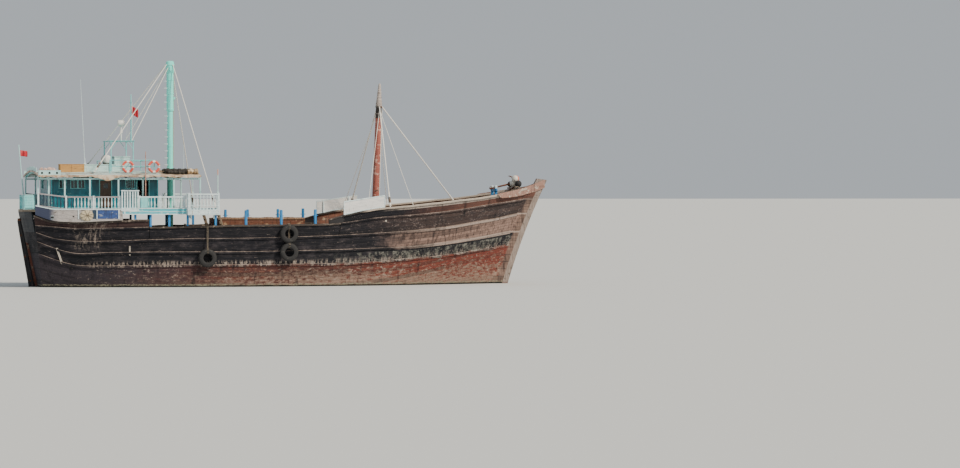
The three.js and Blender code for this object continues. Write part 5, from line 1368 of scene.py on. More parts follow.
def makeSignalFrame():
    x0, x1, half, top = [gear[k] for k in ("x0", "x1", "half", "top")]
    foot, bar = float(roofLevel(half)) + 0.08, 0.026
    tubes = []
    for x in (x0, (x0 + x1) / 2, x1):
        for y in (-half, half):
            tubes.append(tubePart([(x, y, foot), (x, y, top)], 0.028, 10))
            tubes.append(lathePart([(0.06, 0), (0.06, 0.012), (0.03, 0.02)], (x, y, foot), 12))
    for z in (7.0, top):
        tubes += [tubePart([(x0 - 0.03, y, z), (x1 + 0.03, y, z)], bar, 10) for y in (-half, half)]
        tubes.append(tubePart([(x1, -half, z), (x1, half, z)], bar, 10))
    tubes.append(tubePart([(-9.4, -half, top), (-9.4, half, top)], bar, 10))
    posts = [postPart(x, y, 0.032, 0.032, float(roofLevel(y)) + 0.08, 8.48, 0.008)
             for x in (-10.7, -9.4) for y in (-1.3, 1.3)]
    posts += [blockPart((-10.76, -1.36, 8.46), (-9.34, 1.36, 8.485), 0.006),
              blockPart((-10.78, -1.38, 8.485), (-9.32, 1.38, 8.51), 0.006)]
    braces = [tubePart([(a, y, 8.0), (b, y, 8.46)], 0.018, 6)
              for a, b in ((-10.7, -10.35), (-9.4, -9.75)) for y in (-1.3, 1.3)]
    x = gear["pole"]
    pole = [tubePart([(x, 0, 8.4), (x, 0, 9.8), (x, 0, 11.2)], [0.04, 0.036, 0.026], 12),
            tubePart([(x, -0.45, 10.75), (x, 0.45, 10.75)], 0.014, 6),
            lathePart([(0.01, 0), (0.035, 0.01), (0.02, 0.05), (0.005, 0.055)], (x, 0, 11.18), 10)]
    meshPiece("signalFrame", tubes + posts + braces + pole, palePaint, replaces=["signal_frame"],
              slot="pale_paint")
    x, z = gear["lamp"]
    lamp = [lathePart([(0.06, -0.2), (0.15, -0.19), (0.185, -0.14), (0.19, 0.05), (0.17, 0.12), (0.19, 0.13),
                       (0.19, 0.17), (0.16, 0.18)], (x, 0, z), 24, "X"),
            tubePart([(x, 0, 8.48), (x, 0, 9.36)], 0.045, 14),
            lathePart([(0.02, -0.1), (0.07, -0.08), (0.095, -0.03), (0.095, 0.03), (0.07, 0.08), (0.02, 0.1)],
                      (x, 0, 9.02), 18),
            lathePart([(0.08, 0), (0.09, 0.015), (0.05, 0.05), (0.035, 0.12)], (x, 0, 9.34), 16)]
    meshPiece("searchLamp", lamp, canisterWhite)
    lens = lathePart([(0.15, 0), (0.12, 0.02), (0.06, 0.03), (0.01, 0.034)], (x + 0.179, 0, z), 24, "X")
    meshPiece("searchLampLens", [lens], glass)
    y = gear["whipY"]
    whip = tubePart(smoothPath([(x, y, z) for x, z in gear["whip"]], 6), np.linspace(0.02, 0.008, 19), 8)
    profile = [(0.07, 0), (0.07, 0.03), (0.035, 0.06), (0.03, 0.3), (0.02, 0.34)]
    base = lathePart(profile, (-12.2, y, 7.13), 14)
    meshPiece("whipAerial", [whip, base], whitePaint)


# Lockers on the roof with lids and battens, the raft canister in its cradle with two straps. The canister's
# profile is (radius, place along it)
canister = {"x": -10.85, "y": -0.4, "z": 7.43,
            "profile": [(0.02, -0.55), (0.14, -0.545), (0.2, -0.52), (0.235, -0.46), (0.24, -0.05),
                        (0.247, -0.045), (0.247, 0.045), (0.24, 0.05), (0.235, 0.46), (0.2, 0.52),
                        (0.14, 0.545), (0.02, 0.55)]}


def makeRoofGear():
    low = [blockPart((-12.5, -1.2, 6.62), (-10.39, 1.2, 7.09), 0.01),
           blockPart((-12.53, -1.23, 7.085), (-10.37, 1.23, 7.13), 0.012)]
    low += [blockPart((x - 0.03, -1.215, 6.7), (x + 0.03, -1.195, 7.085), 0.005)
            for x in (-12.3, -11.45, -10.6)]
    high = [blockPart((-10.4, -0.65, 6.66), (-9.5, 0.65, 7.56), 0.01),
            blockPart((-10.43, -0.68, 7.555), (-9.47, 0.68, 7.6), 0.012)]
    high += [blockPart((-10.2, -0.662, 6.9), (-9.7, -0.648, 7.4), 0.005)]
    meshPiece("roofLocker", low + high, lockerPaint, replaces=["roof_locker"], slot="white_paint")
    x0, x1, y0, y1 = -13.76, -12.34, -1.9, -1.19
    side = [blockPart((x0, y0, 6.64), (x1, y1, 7.1), 0.008),
            blockPart((x0 - 0.02, y0 - 0.02, 7.095), (x1 + 0.02, y1, 7.13), 0.01)]
    side += [blockPart((x - 0.03, y0 - 0.018, 6.68), (x + 0.03, y0 - 0.001, 7.09), 0.004)
             for x in (x0 + 0.05, -13.05, x1 - 0.05)]
    meshPiece("plywoodLocker", side, plywood)
    x, z = canister["x"], canister["z"]
    drum = lathePart(canister["profile"], (x, canister["y"], z), 32, "Y")
    ribs = [lathePart([(0.235, -0.02), (0.246, -0.012), (0.246, 0.012), (0.235, 0.02)], (x, y, z), 32, "Y")
            for y in (-0.75, -0.55, -0.25, -0.05)]
    meshPiece("raftCanister", [drum] + ribs, canisterWhite, replaces=["raft_canister"], slot="white_paint")
    cradle = [blockPart((-11.0, y, 7.1303), (-10.7, y + 0.09, 7.24), 0.008) for y in (-0.75, -0.1)]
    straps = [lathePart([(0.244, -0.02), (0.251, -0.018), (0.251, 0.018), (0.244, 0.02)], (x, y, z), 32, "Y")
              for y in (-0.65, -0.14)]
    meshPiece("canisterCradle", cradle + straps, wornSteel)


# Life ring: a fat torus, white over four bands at its quarters, a grab line looped outside
ring = {"reach": 0.295, "tube": 0.07, "gap": 0.0153, "places": {"aft": -9.911, "forward": -8.39}, "z": 6.975}


# Faded orange, white where the band attribute says so
def ringMaterial():
    material, tree, shader, place = blankMaterial("orangeRingPaint")
    band = addNode(tree, "Attribute", {"attribute_name": "band"}).outputs["Fac"]
    fade = mottle(tree, place, (0.12, 0.12, 0.12))
    colour = layOver(tree, "#dd4a38", "#e8806c", fade, 0.42, 0.75)
    colour = layOver(tree, colour, "#ebe7df", band, 0.45, 0.55)
    tree.links.new(colour, shader.inputs["Base Color"])
    relief(tree, shader, fade, 0.1, 0.001, 0.4, 0.6)
    return material


def makeLifeRings():
    material = ringMaterial()
    reach, tube = ring["reach"], ring["tube"]
    y = -(gear["half"] + 0.028 + tube + ring["gap"])
    for name, x in ring["places"].items():
        around = np.linspace(0, 2 * np.pi, 64, endpoint=False)
        torus = tubePart(circlePath((x, y, ring["z"]), reach, reach, "Y", 64), tube, 20, True)
        piece = meshPiece(f"lifeRing_{name}", [torus], material, replaces=[f"life_ring_{name}"],
                          slot="ring_orange")
        band = (np.abs(((around + np.pi / 4) % (np.pi / 2)) - np.pi / 4) < 0.24).astype(float)
        setAttribute(piece, "band", np.repeat(band, 20))
        loops = []
        for k in range(4):
            t = np.linspace(k * np.pi / 2 + 0.1, (k + 1) * np.pi / 2 - 0.1, 14)
            r = reach + tube + 0.012 + 0.02 * np.sin((t - t[0]) / (t[-1] - t[0]) * np.pi)
            loops.append(tubePart(pointsOf(x + r * np.cos(t), y, ring["z"] + r * np.sin(t)), 0.007, 6))
        meshPiece(f"ringGrabLine_{name}", loops, paleRope)


roofPaint = finish("paintedRoofCanvas", base="#bccfcb", shade="#a3b5b0", grain=(0.4, 0.4, 0.2),
                   worn="#87796a", wear=0.42, patch=(0.9, 0.6, 0.4), streak="#7b6b5a",
                   streakSize=(0.3, 0.3, 0.3), rough=(0.7, 0.9))
edgePaint = finish("pinkishEdgeBoard", base="#cdb9ab", shade="#a98d7c", grain=(0.6, 0.04, 0.03),
                   worn="#7a6152", wear=0.45, rough=(0.6, 0.8))
plywood = finish("rawPlywood", base="#c99a5c", shade="#b4854c", grain=(0.5, 0.04, 0.04), worn="#8c6a44",
                 wear=0.3, streak="#7d5c3c", streakFrom=0.6, rough=(0.65, 0.85))
framePaint = finish("paleCyanPosts", base="#bfe4e4", shade="#a5d2d4", grain=(0.06, 0.06, 0.5), worn="#8e8f84",
                    wear=0.22, streak="#8d7f6d", streakFrom=0.62, rough=(0.45, 0.65))
lockerPaint = finish("cyanWhiteLocker", base="#c9e6e4", shade="#b1d4d3", grain=(0.4, 0.1, 0.1),
                     worn="#93897a", wear=0.25, streak="#8b7763", streakFrom=0.6, rough=(0.5, 0.7))
makeRoof()
makeRoofFrame()
makeAwning()
makeEdgeCloth()
makeMainMast()
makeForemast()
makeSignalFrame()
makeRoofGear()
makeLifeRings()
print("roof, masts and roof gear made")


# Standing rigging: white rope from the masthead collars down to screws and chocks. Radii of the main and
# fore stays; collars are (X, height, radius); each stay's lower end is a point
rigging = {"main": 0.028, "fore": 0.036, "mainCollar": (-7.01, 13.0, 0.2355),
           "foreCollar": (5.6039, 10.6, 0.184), "mainEnds": ((-11.88, 2.6, 6.655), (-4.95, 3.58, 4.59)),
           "foreEnds": ((5.5, -3.43, 4.56), (4.6, 3.43, 4.48), (10.65, 0, 4.45))}


# A stay from its collar to its end, spliced low down, and the screw that tightens it
def stayPart(collar, end, thick, sides=8):
    x, z, radius = collar
    way = np.array(end[:2]) - [x, 0]
    start = np.array([x, 0, z]) + np.append(way / np.hypot(*way) * (radius + 0.022), 0)
    end = np.array(end, float)
    along = (end - start) / np.linalg.norm(end - start)
    stay = tubePart(lineBetween(start, end, 24, 0), thick, sides)
    splice = tubePart([end - along * 1.1, end - along * 0.15], [thick * 1.2, thick * 1.9], sides)
    screw = tubePart([end - along * 0.75, end - along * 0.7, end - along * 0.35, end - along * 0.3],
                     [thick, thick * 2.1, thick * 2.1, thick], sides)
    return [stay, splice], [screw]


def collarPart(collar):
    x, z, radius = collar
    return lathePart([(radius + 0.002, -0.04), (radius + 0.022, -0.04), (radius + 0.022, 0.04),
                      (radius + 0.002, 0.04)], (x, 0, z), 32)


# All stays of one collar, ropes and screws apart
def stayGroup(collar, ends, thick):
    pairs = [stayPart(collar, end, thick) for end in ends]
    return [[part for pair in pairs for part in pair[k]] for k in (0, 1)]


def makeStays():
    ends = [(x, side * y, z) for side in (-1, 1) for x, y, z in rigging["mainEnds"]]
    wires, irons = stayGroup(rigging["mainCollar"], ends, rigging["main"])
    for side in (-1, 1):
        irons.append(postPart(-4.95, side * 3.58, 0.06, 0.06, poop["floor"], 4.59, 0.012))
        irons.append(lathePart([(0.05, 0), (0.05, 0.012), (0.02, 0.03)], (-11.88, side * 2.6, 6.64), 12))
    meshPiece("mainStayWires", wires, whiteRope, replaces=["main_stays"], slot="rigging_steel")
    meshPiece("mainStayIrons", irons, wornSteel)
    meshPiece("mainStayCollar", [collarPart(rigging["mainCollar"])], mastPaint)
    wires, irons = stayGroup(rigging["foreCollar"], rigging["foreEnds"], rigging["fore"])
    meshPiece("foreStayWires", wires, whiteRope, replaces=["fore_stays"], slot="rigging_steel")
    meshPiece("foreStayIrons", irons + [collarPart(rigging["foreCollar"])], wornSteel)
    # Running rigging, each line as its two ends, radius, sag, samples and sides
    x, lines = mast["x"], []
    p, high, low = sparPoint(10.5), sparPoint(10.4), sparPoint(4.6)
    for side in (-1, 1):
        lines += [((x - 0.15, side * 0.17, 12.8), (-9.48, side * 1.3, 8.52), 0.024, 0.02, 20, 6),
                  ((-9.32, side * 0.43, 10.76), (-9.42, side * 1.32, 8.5), 0.008, 0.02, 12, 5),
                  (p + [0.02, side * 0.17, 0], (4.1, side * 3.45, 4.35), 0.018, 0.03, 24, 6),
                  (p + [0.02, side * 0.17, -0.1], (6.9, side * 3.35, 4.75), 0.018, 0.03, 24, 6),
                  (high + [0.19, side * 0.03, 0], low + [0.225, side * 0.03, 0], 0.026, 0, 24, 6)]
    meshPiece("runningRigging", [tubePart(lineBetween(a, b, count, sag), radius, sides)
                                 for a, b, radius, sag, count, sides in lines], whiteRope)


# Tyre fenders: tyre with hollow, beads and tread blocks, on doubled rope with hitches
tyre = {"tube": 0.13, "rope": 0.018, "blocks": 34,
        "profile": [(0.262, -0.1), (0.268, -0.112), (0.3, -0.125), (0.37, -0.13), (0.45, -0.12), (0.5, -0.1),
                    (0.522, -0.075), (0.53, -0.03), (0.53, 0.03), (0.522, 0.075), (0.5, 0.1), (0.45, 0.12),
                    (0.37, 0.13), (0.3, 0.125), (0.268, 0.112), (0.262, 0.1), (0.285, 0.085), (0.42, 0.09),
                    (0.49, 0.06), (0.5, 0.0), (0.49, -0.06), (0.42, -0.09), (0.285, -0.085)],
        "places": {"aft_starboard": (-1, -5.48, [1.69]), "middle_starboard": (-1, -0.69, [3.08, 2.01]),
                   "aft_port": (1, -5.48, [1.69]), "middle_port": (1, -0.69, [2.1])}}


# The tyre's profile of (radius, place across) turned round, and its tread blocks set on both shoulders
def tyreParts(x, y, z):
    profile = np.array(tyre["profile"])
    turn = np.linspace(0, 2 * np.pi, 56, endpoint=False)
    r, w = profile[:, 0], profile[:, 1]
    body = np.stack([x + np.outer(np.cos(turn), r), y + np.outer(np.ones(56), w),
                     z + np.outer(np.sin(turn), r)], -1)
    parts = [closedRing(body)]
    points, faces = blockPart((0.522, -0.085, -0.026), (0.541, -0.012, 0.026), 0.005)
    for k in range(tyre["blocks"]):
        for side in (-1, 1):
            a = 2 * np.pi * (k + 0.25 * side) / tyre["blocks"]
            c, s = math.cos(a), math.sin(a)
            q = points * [1, side, 1]
            q = np.stack([x + q[:, 0] * c - q[:, 2] * s, y + q[:, 1], z + q[:, 0] * s + q[:, 2] * c], -1)
            parts.append((q, faces if side > 0 else [f[::-1] for f in faces]))
    return parts


# A grid closed both ways: a section carried round a full turn
def closedRing(points):
    rows, columns = points.shape[:2]
    return points.reshape(-1, 3), gridFaces(rows, columns, True, True)


def makeFenders():
    for name, (side, x, heights) in tyre["places"].items():
        rail = float(stationAt(placeAt(x, 3.5))["railZ"][0])
        cap = float(sideY(x, rail)[0]) + 0.06
        inner = cap + 0.0003 if max(heights) > 2.6 else float(sideY(x, 2.07)[0]) + 0.055 + 0.012
        y = inner + tyre["tube"]
        rubber, ropes = [], []
        ropeY = cap + tyre["rope"] + 0.003
        farY = max(y, ropeY)
        low = min(heights) + 0.44
        for shift in (-0.03, 0.03):
            path = [(x + shift, cap - 0.24, rail + 0.025), (x + shift, cap - 0.05, rail + 0.03),
                    (x + shift, ropeY, rail - 0.03), (x + shift, (farY + ropeY) / 2, (rail + low) / 2),
                    (x + shift * 0.5, farY, low + 0.05), (x, farY, low)]
            ropes.append(tubePart(smoothPath(path, 6), 0.015, 8))
        for z in heights:
            rubber += tyreParts(x, y, z)
            ropes += [tubePart(circlePath((x + shift, y, z + 0.395), 0.152, 0.152, "X", 28), 0.014, 8, True)
                      for shift in (-0.035, 0.03)]
            ropes.append(tubePart([(x - 0.05, y + 0.03, z + 0.56), (x + 0.05, y + 0.05, z + 0.59)], 0.032, 8))
        if len(heights) > 1:
            ropes.append(tubePart([(x, y, max(heights) - 0.4), (x, y, low)], 0.016, 8))
        ropes.append(blockPart((x - 0.07, cap - 0.2, rail + 0.005),
                               (x + 0.07, cap - 0.12, rail + 0.05), 0.02))
        sideName = "port" if side > 0 else "starboard"
        meshPiece(f"tyre_{name}", onSide(rubber, sideName), tyreRubber, replaces=[f"fender_{name}"],
                  slot="tyre_rubber")
        meshPiece(f"tyreLashing_{name}", onSide(ropes, sideName), darkRope)


# Blank boards on the bow rails: planks in a moulded frame, set along the side. The top edge is (its height
# at the after end, its rise to the fore end)
nameboard = {"aft": 2.62, "length": 2.47, "top": (4.96, 0.36), "ends": (2.6, 5.07), "studs": (3.0, 4.55)}


def makeNameboards():
    aft, length, (headAft, rise) = nameboard["aft"], nameboard["length"], nameboard["top"]
    share = np.linspace(0, 1, 14)
    x = aft + length * share
    y = np.interp(share, [0, 1], [float(sideY(v, 4.3)[0]) for v in (aft, aft + length)])
    capTop = np.array([float(stationAt(placeAt(v, 4.2))["top"][0]) for v in x]) + railLift(x)
    low, high = capTop - 0.004, headAft + rise * share

    def slab(a, b, t0, t1):
        z0, z1 = low + (high - low) * a, low + (high - low) * b
        return cornerLoft([(x, y + t, z) for t, z in ((t0, z0), (t1, z0), (t1, z1), (t0, z1))])

    frame = [slab(0.0, 0.07, 0.004, 0.062), slab(0.93, 1.012, 0.004, 0.062)]
    for at in nameboard["ends"]:
        s = (at + 0.02 - aft) / length
        z0, edge = float(np.interp(s, share, low)), float(np.interp(s, share, y))
        frame.append(blockPart((at, edge + 0.004, z0), (at + 0.045, edge + 0.062, headAft + rise * s), 0.01))
    for at in nameboard["studs"]:
        edge = float(np.interp((at - aft) / length, share, y))
        frame.append(blockPart((at, edge - 0.06, 4.08 + (at - aft) * 0.17),
                               (at + 0.07, edge + 0.006, 4.9 + (at - aft) * 0.15), 0.012))
    pairedPieces("blankNameboard", [slab(0.0, 1.0, 0.008, 0.045)], boardWhite, "nameboard",
                 slot="white_paint")
    pairedPieces("nameboardFrame", frame, whitePaint)


boardWhite = finish("bareWhiteBoard", base="#e9e8e4", shade="#cfd2d3", grain=(0.5, 0.05, 0.05),
                    worn="#a7a39b", wear=0.28, streak="#97897a", streakFrom=0.62, rough=(0.55, 0.75))
makeStays()
makeFenders()
makeNameboards()
print("rigging, fenders and nameboards made")


# Steering wheel: turned spokes with handles through a ringed hub
helm = {"x": -8.89, "z": 5.48, "rim": 0.312, "spokes": 6, "pedestalX": -8.7,
        "spokeReach": [0.05, 0.12, 0.16, 0.22, 0.28, 0.3, 0.33, 0.34, 0.37, 0.395, 0.4],
        "spokeRadius": [0.016, 0.012, 0.018, 0.011, 0.014, 0.014, 0.012, 0.01, 0.017, 0.014, 0.005]}


def makeHelm():
    x, z, rim = helm["x"], helm["z"], helm["rim"]
    section = [(-0.02, -0.018), (0.02, -0.018), (0.022, 0), (0.02, 0.018), (-0.02, 0.018), (-0.022, 0)]
    rings = [circlePath((x + a, 0, z), rim + b, rim + b, "X", 48) for a, b in section]
    parts = [closedRing(np.stack(rings, 1))]
    reach = np.array(helm["spokeReach"])
    for k in range(helm["spokes"]):
        a = k * 2 * np.pi / helm["spokes"]
        path = pointsOf(x, reach * math.cos(a), z + reach * math.sin(a))
        parts.append(tubePart(path, helm["spokeRadius"], 10))
    meshPiece("helmWheelWood", parts, doorWood, body="helm_wheel", replaces=["helm_wheel"], slot="door_wood")
    hub = [lathePart([(0.02, -0.045), (0.055, -0.04), (0.062, -0.01), (0.062, 0.03), (0.045, 0.04),
                      (0.025, 0.06), (0.025, 0.22), (0.02, 0.225)], (x, 0, z), 24, "X")]
    meshPiece("helmHub", hub, bronze, body="helm_wheel")
    x = helm["pedestalX"]
    column = [postPart(x, 0, 0.11, 0.14, poop["floor"], 4.62, 0.01),
              postPart(x, 0, 0.09, 0.115, 4.61, 5.36, 0.012), postPart(x, 0, 0.11, 0.14, 5.34, 5.45, 0.014),
              postPart(x, 0, 0.1, 0.12, 5.512, 5.59, 0.02)]
    column += [blockPart((x - 0.115, y - 0.012, 4.66), (x - 0.09, y + 0.012, 5.3), 0.004)
               for y in (-0.09, 0.09)]
    meshPiece("helmPedestal", column, doorWood, replaces=["helm_pedestal"], slot="door_wood")
    cheeks = [postPart(x, s * 0.075, 0.1, 0.04, 5.44, 5.52, 0.01) for s in (-1, 1)]
    meshPiece("helmBearing", cheeks, bronze)


# Cabin door: stiles and rails round two sunk panels and a small light, on three strap hinges. The light is
# its X limits, then its Z limits
door = {"x0": -11.488, "x1": -10.856, "z0": 4.617, "z1": 6.173, "y": 2.26, "half": 0.022,
        "light": (-11.31, -11.02, 5.72, 6.02)}


def makeDoors():
    x0, x1, z0, z1, y, half = [door[k] for k in ("x0", "x1", "z0", "z1", "y", "half")]
    a, b, c, d = door["light"]

    def slab(xs, zs, thick, bevel):
        return blockPart((xs[0], y - thick, zs[0]), (xs[1], y + thick, zs[1]), bevel)

    wood = [slab(xs, (z0, z1), half, 0.004) for xs in ((x0, x0 + 0.11), (x1 - 0.11, x1))]
    wood += [slab((x0 + 0.108, x1 - 0.108), zs, half, 0.004)
             for zs in ((z0, z0 + 0.18), (5.05, 5.16), (5.6, c), (d, z1))]
    for low, high in ((z0 + 0.17, 5.06), (5.15, 5.61)):
        wood += [slab((x0 + 0.1, x1 - 0.1), (low, high), 0.01, 0.004),
                 slab((x0 + 0.16, x1 - 0.16), (low + 0.05, high - 0.05), 0.017, 0.012)]
    wood += [slab(xs, (c - 0.01, d + 0.01), half - 0.002, 0.003) for xs in ((x0 + 0.1, a), (b, x1 - 0.1))]
    pane = [slab((a - 0.005, b + 0.005), (c - 0.005, d + 0.005), 0.004, 0.001)]
    iron = [tubePart([(x0 + 0.033, y, z0 - 0.021), (x0 + 0.033, y, z1 + 0.021)], 0.011, 12)]
    for s in (-1, 1):
        face = y + s * (half + 0.002)
        plates = [(x0 + 0.01, x0 + 0.26, z, z + 0.035) for z in (4.75, 5.3, 5.95)]
        plates.append((x1 - 0.11, x1 - 0.07, 5.27, 5.43))
        iron += [blockPart((p, face - 0.003, low), (q, face + 0.003, high), 0.002)
                 for p, q, low, high in plates]
        iron.append(tubePart([(x1 - 0.09, y + s * half, 5.35), (x1 - 0.09, y + s * 0.055, 5.35),
                              (x1 - 0.15, y + s * 0.057, 5.35), (x1 - 0.19, y + s * 0.05, 5.345)], 0.008, 8))
    for sideName in sideNames:
        node = f"cabin_door_{sideName}"
        meshPiece(f"cabinDoorLeaf_{sideName}", onSide(wood, sideName), doorWood, body=node, replaces=[node],
                  slot="door_wood")
        meshPiece(f"cabinDoorLight_{sideName}", onSide(pane, sideName), glass, body=node)
        meshPiece(f"cabinDoorIrons_{sideName}", onSide(iron, sideName), wornSteel, body=node)


# Propeller blade: its chord narrows as an arched sine from root to tip, its pitch angle falls evenly, its
# section is a thin lens
screw = {"x": -13.9, "z": -0.9, "root": 0.07, "reach": 0.52, "blades": 4}


def makePropeller():
    rows, columns = 16, 12
    share = np.linspace(0, 1, rows)[:, None]
    r = screw["root"] + (screw["reach"] - screw["root"]) * share
    chord = 0.15 * np.sqrt(np.clip(np.sin(np.pi * (0.25 + 0.75 * share)), 0.004, 1)) * (1 - 0.25 * share ** 3)
    pitch = 1.1 - 0.55 * share
    turn = np.linspace(0, 2 * np.pi, columns, endpoint=False)[None, :]
    along = chord * np.cos(turn)
    thick = (0.016 - 0.01 * share) * np.sin(turn)
    across = along * np.cos(pitch) - thick * np.sin(pitch)
    ahead = along * np.sin(pitch) + thick * np.cos(pitch)
    angle = across / np.maximum(r, 0.11)
    blades = []
    for k in range(screw["blades"]):
        a = angle + k * 2 * np.pi / screw["blades"]
        grid = np.stack([screw["x"] + 0.72 * ahead, r * np.sin(a), screw["z"] + r * np.cos(a)], -1)
        blades.append(closedLoft(grid))
    boss = lathePart([(0.015, -0.2), (0.04, -0.185), (0.055, -0.14), (0.08, -0.1), (0.094, 0.0), (0.092, 0.1),
                      (0.085, 0.14), (0.06, 0.145), (0.06, 1.3)], (screw["x"], 0, screw["z"]), 28, "X")
    meshPiece("propellerCasting", blades + [boss], bronze, body="propeller", replaces=["propeller"],
              slot="bronze")


# Rudder irons: straps turn with the blade, half rings hold the stock to the sternpost
rudderIrons = {"heights": [-1.1, 0.35, 1.75, 3.0], "foot": -15.06, "lean": -0.207,
               "tailZ": [-1.64, -0.5, 0.0, 2.9, 3.85], "tailX": [-15.6, -15.56, -15.33, -15.84, -15.99]}


# After face of the sternpost: it leans aft evenly with its height
def sternLine(z):
    return rudderIrons["foot"] + rudderIrons["lean"] * z


def makeRudderIrons():
    straps, bands = [], []
    nail = [(0.014, -0.006), (0.014, 0.004), (0.006, 0.008)]
    for z in rudderIrons["heights"]:
        x = sternLine(z)
        low, high = z - 0.04, z + 0.04
        length = x - float(np.interp(z, rudderIrons["tailZ"], rudderIrons["tailX"])) - 0.04
        for s in (-1, 1):
            straps.append(blockPart((x - length, s * 0.081 - 0.006, low),
                                    (x - 0.048, s * 0.081 + 0.006, high), 0.004))
            straps += [lathePart(nail, (x - k, s * 0.087, z), 8, "Y") for k in (0.14, length - 0.05)]
            if z < 2.3:
                bands.append(blockPart((x + 0.1, s * 0.158 - 0.006, low),
                                       (x + 0.55, s * 0.158 + 0.006, high), 0.004))
        if z < 2.3:
            turn = np.linspace(-1.0, 1.0, 12)
            bands.append(cornerLoft([(x + r * np.cos(turn), r * np.sin(turn), h)
                                     for r, h in ((0.096, low), (0.12, low), (0.12, high), (0.096, high))]))
            bands.append(blockPart((x + 0.098, -0.16, low), (x + 0.115, 0.16, high), 0.004))
    meshPiece("rudderStraps", straps, rustyIron, body="rudder")
    meshPiece("rudderGudgeons", bands, rustyIron)
    profile = [(0.092, -0.06), (0.112, -0.05), (0.112, 0.05), (0.092, 0.06)]
    headBand = lathePart(profile, (sternLine(3.9), 0, 3.9), 24)
    meshPiece("rudderHeadBand", [headBand], rustyIron, body="rudder")


# Windlass: wood barrel with whelps and iron flanges, turned heads outside the cheeks, whose profile is
# (radius, place outside the cheek)
windlass = {"x": 10.9, "z": 4.91, "half": 0.62, "drum": 0.135, "floor": 4.4303,
            "heads": [(0.05, 0.09), (0.085, 0.095), (0.078, 0.13), (0.08, 0.2), (0.092, 0.27), (0.11, 0.31),
                      (0.105, 0.32), (0.05, 0.32)]}


def makeWindlass():
    x, z, half, drum, floor = [windlass[k] for k in ("x", "z", "half", "drum", "floor")]
    reach = half - 0.075
    barrel = [lathePart([(0.04, -reach), (drum, -reach), (drum, reach), (0.04, reach)], (x, 0, z), 16, "Y")]
    p, faces = blockPart((drum - 0.02, -reach + 0.03, -0.022), (drum + 0.02, reach - 0.03, 0.022), 0.008)
    for a in np.arange(8) * np.pi / 4:
        c, s = math.cos(a), math.sin(a)
        turned = pointsOf(x + p[:, 0] * c - p[:, 2] * s, p[:, 1], z + p[:, 0] * s + p[:, 2] * c)
        barrel.append((turned, faces))
    meshPiece("windlassBarrel", barrel, plainWood, body="windlass_drum")
    axle = [(0.02, -half - 0.33), (0.04, -half - 0.325), (0.04, half + 0.325), (0.02, half + 0.33)]
    hoop = [(drum, -0.025), (drum + 0.055, -0.022), (drum + 0.06, 0), (drum + 0.055, 0.022), (drum, 0.025)]
    profiles = [(axle, 0, 20)] + [(hoop, k * reach, 28) for k in (-0.92, -0.3, 0.3, 0.92)]
    profiles += [(np.array(windlass["heads"]) * [1, s] + [0, s * half], 0, 24) for s in (-1, 1)]
    iron = [lathePart(profile, (x, y, z), sides, "Y") for profile, y, sides in profiles]
    meshPiece("windlassIrons", iron, rustyIron, body="windlass_drum", replaces=["windlass_drum"],
              slot="rigging_steel")
    coil = [tubePart(circlePath((x, -0.12 + k * 0.045, z), 0.158, 0.158, "Y", 30), 0.021, 8, True)
            for k in range(5)]
    meshPiece("windlassRopeTurns", coil, darkRope, body="windlass_drum")
    cheeks, caps = [], []
    for y in (-half, half):
        cheeks += [postPart(x, y, 0.15, 0.055, floor, z - 0.045, 0.015),
                   blockPart((x - 0.15, y - 0.055, z - 0.05), (x - 0.045, y + 0.055, z + 0.1), 0.01),
                   blockPart((x + 0.045, y - 0.055, z - 0.05), (x + 0.15, y + 0.055, z + 0.1), 0.01),
                   postPart(x, y, 0.12, 0.05, z + 0.046, z + 0.165, 0.03)]
        caps += [postPart(x, y, 0.156, 0.06, floor + h, floor + h + 0.045, 0.005) for h in (0.12, 0.34)]
    cheeks.append(blockPart((x - 0.24, -half - 0.15, floor), (x - 0.14, half + 0.15, floor + 0.13), 0.015))
    meshPiece("windlassCheeks", cheeks, stemTimber, replaces=["windlass_frame"], slot="rigging_steel")
    meshPiece("windlassBands", caps, rustyIron)


# Bitts with their crossbeam, chamfered posts with painted heads, and the stocked anchor lashed on top
anchor = {"y": -0.18, "over": 0.202}
bitts = {"x": 12.75, "half": 0.42, "top": 5.9, "beam": 5.56, "floor": 4.4303}


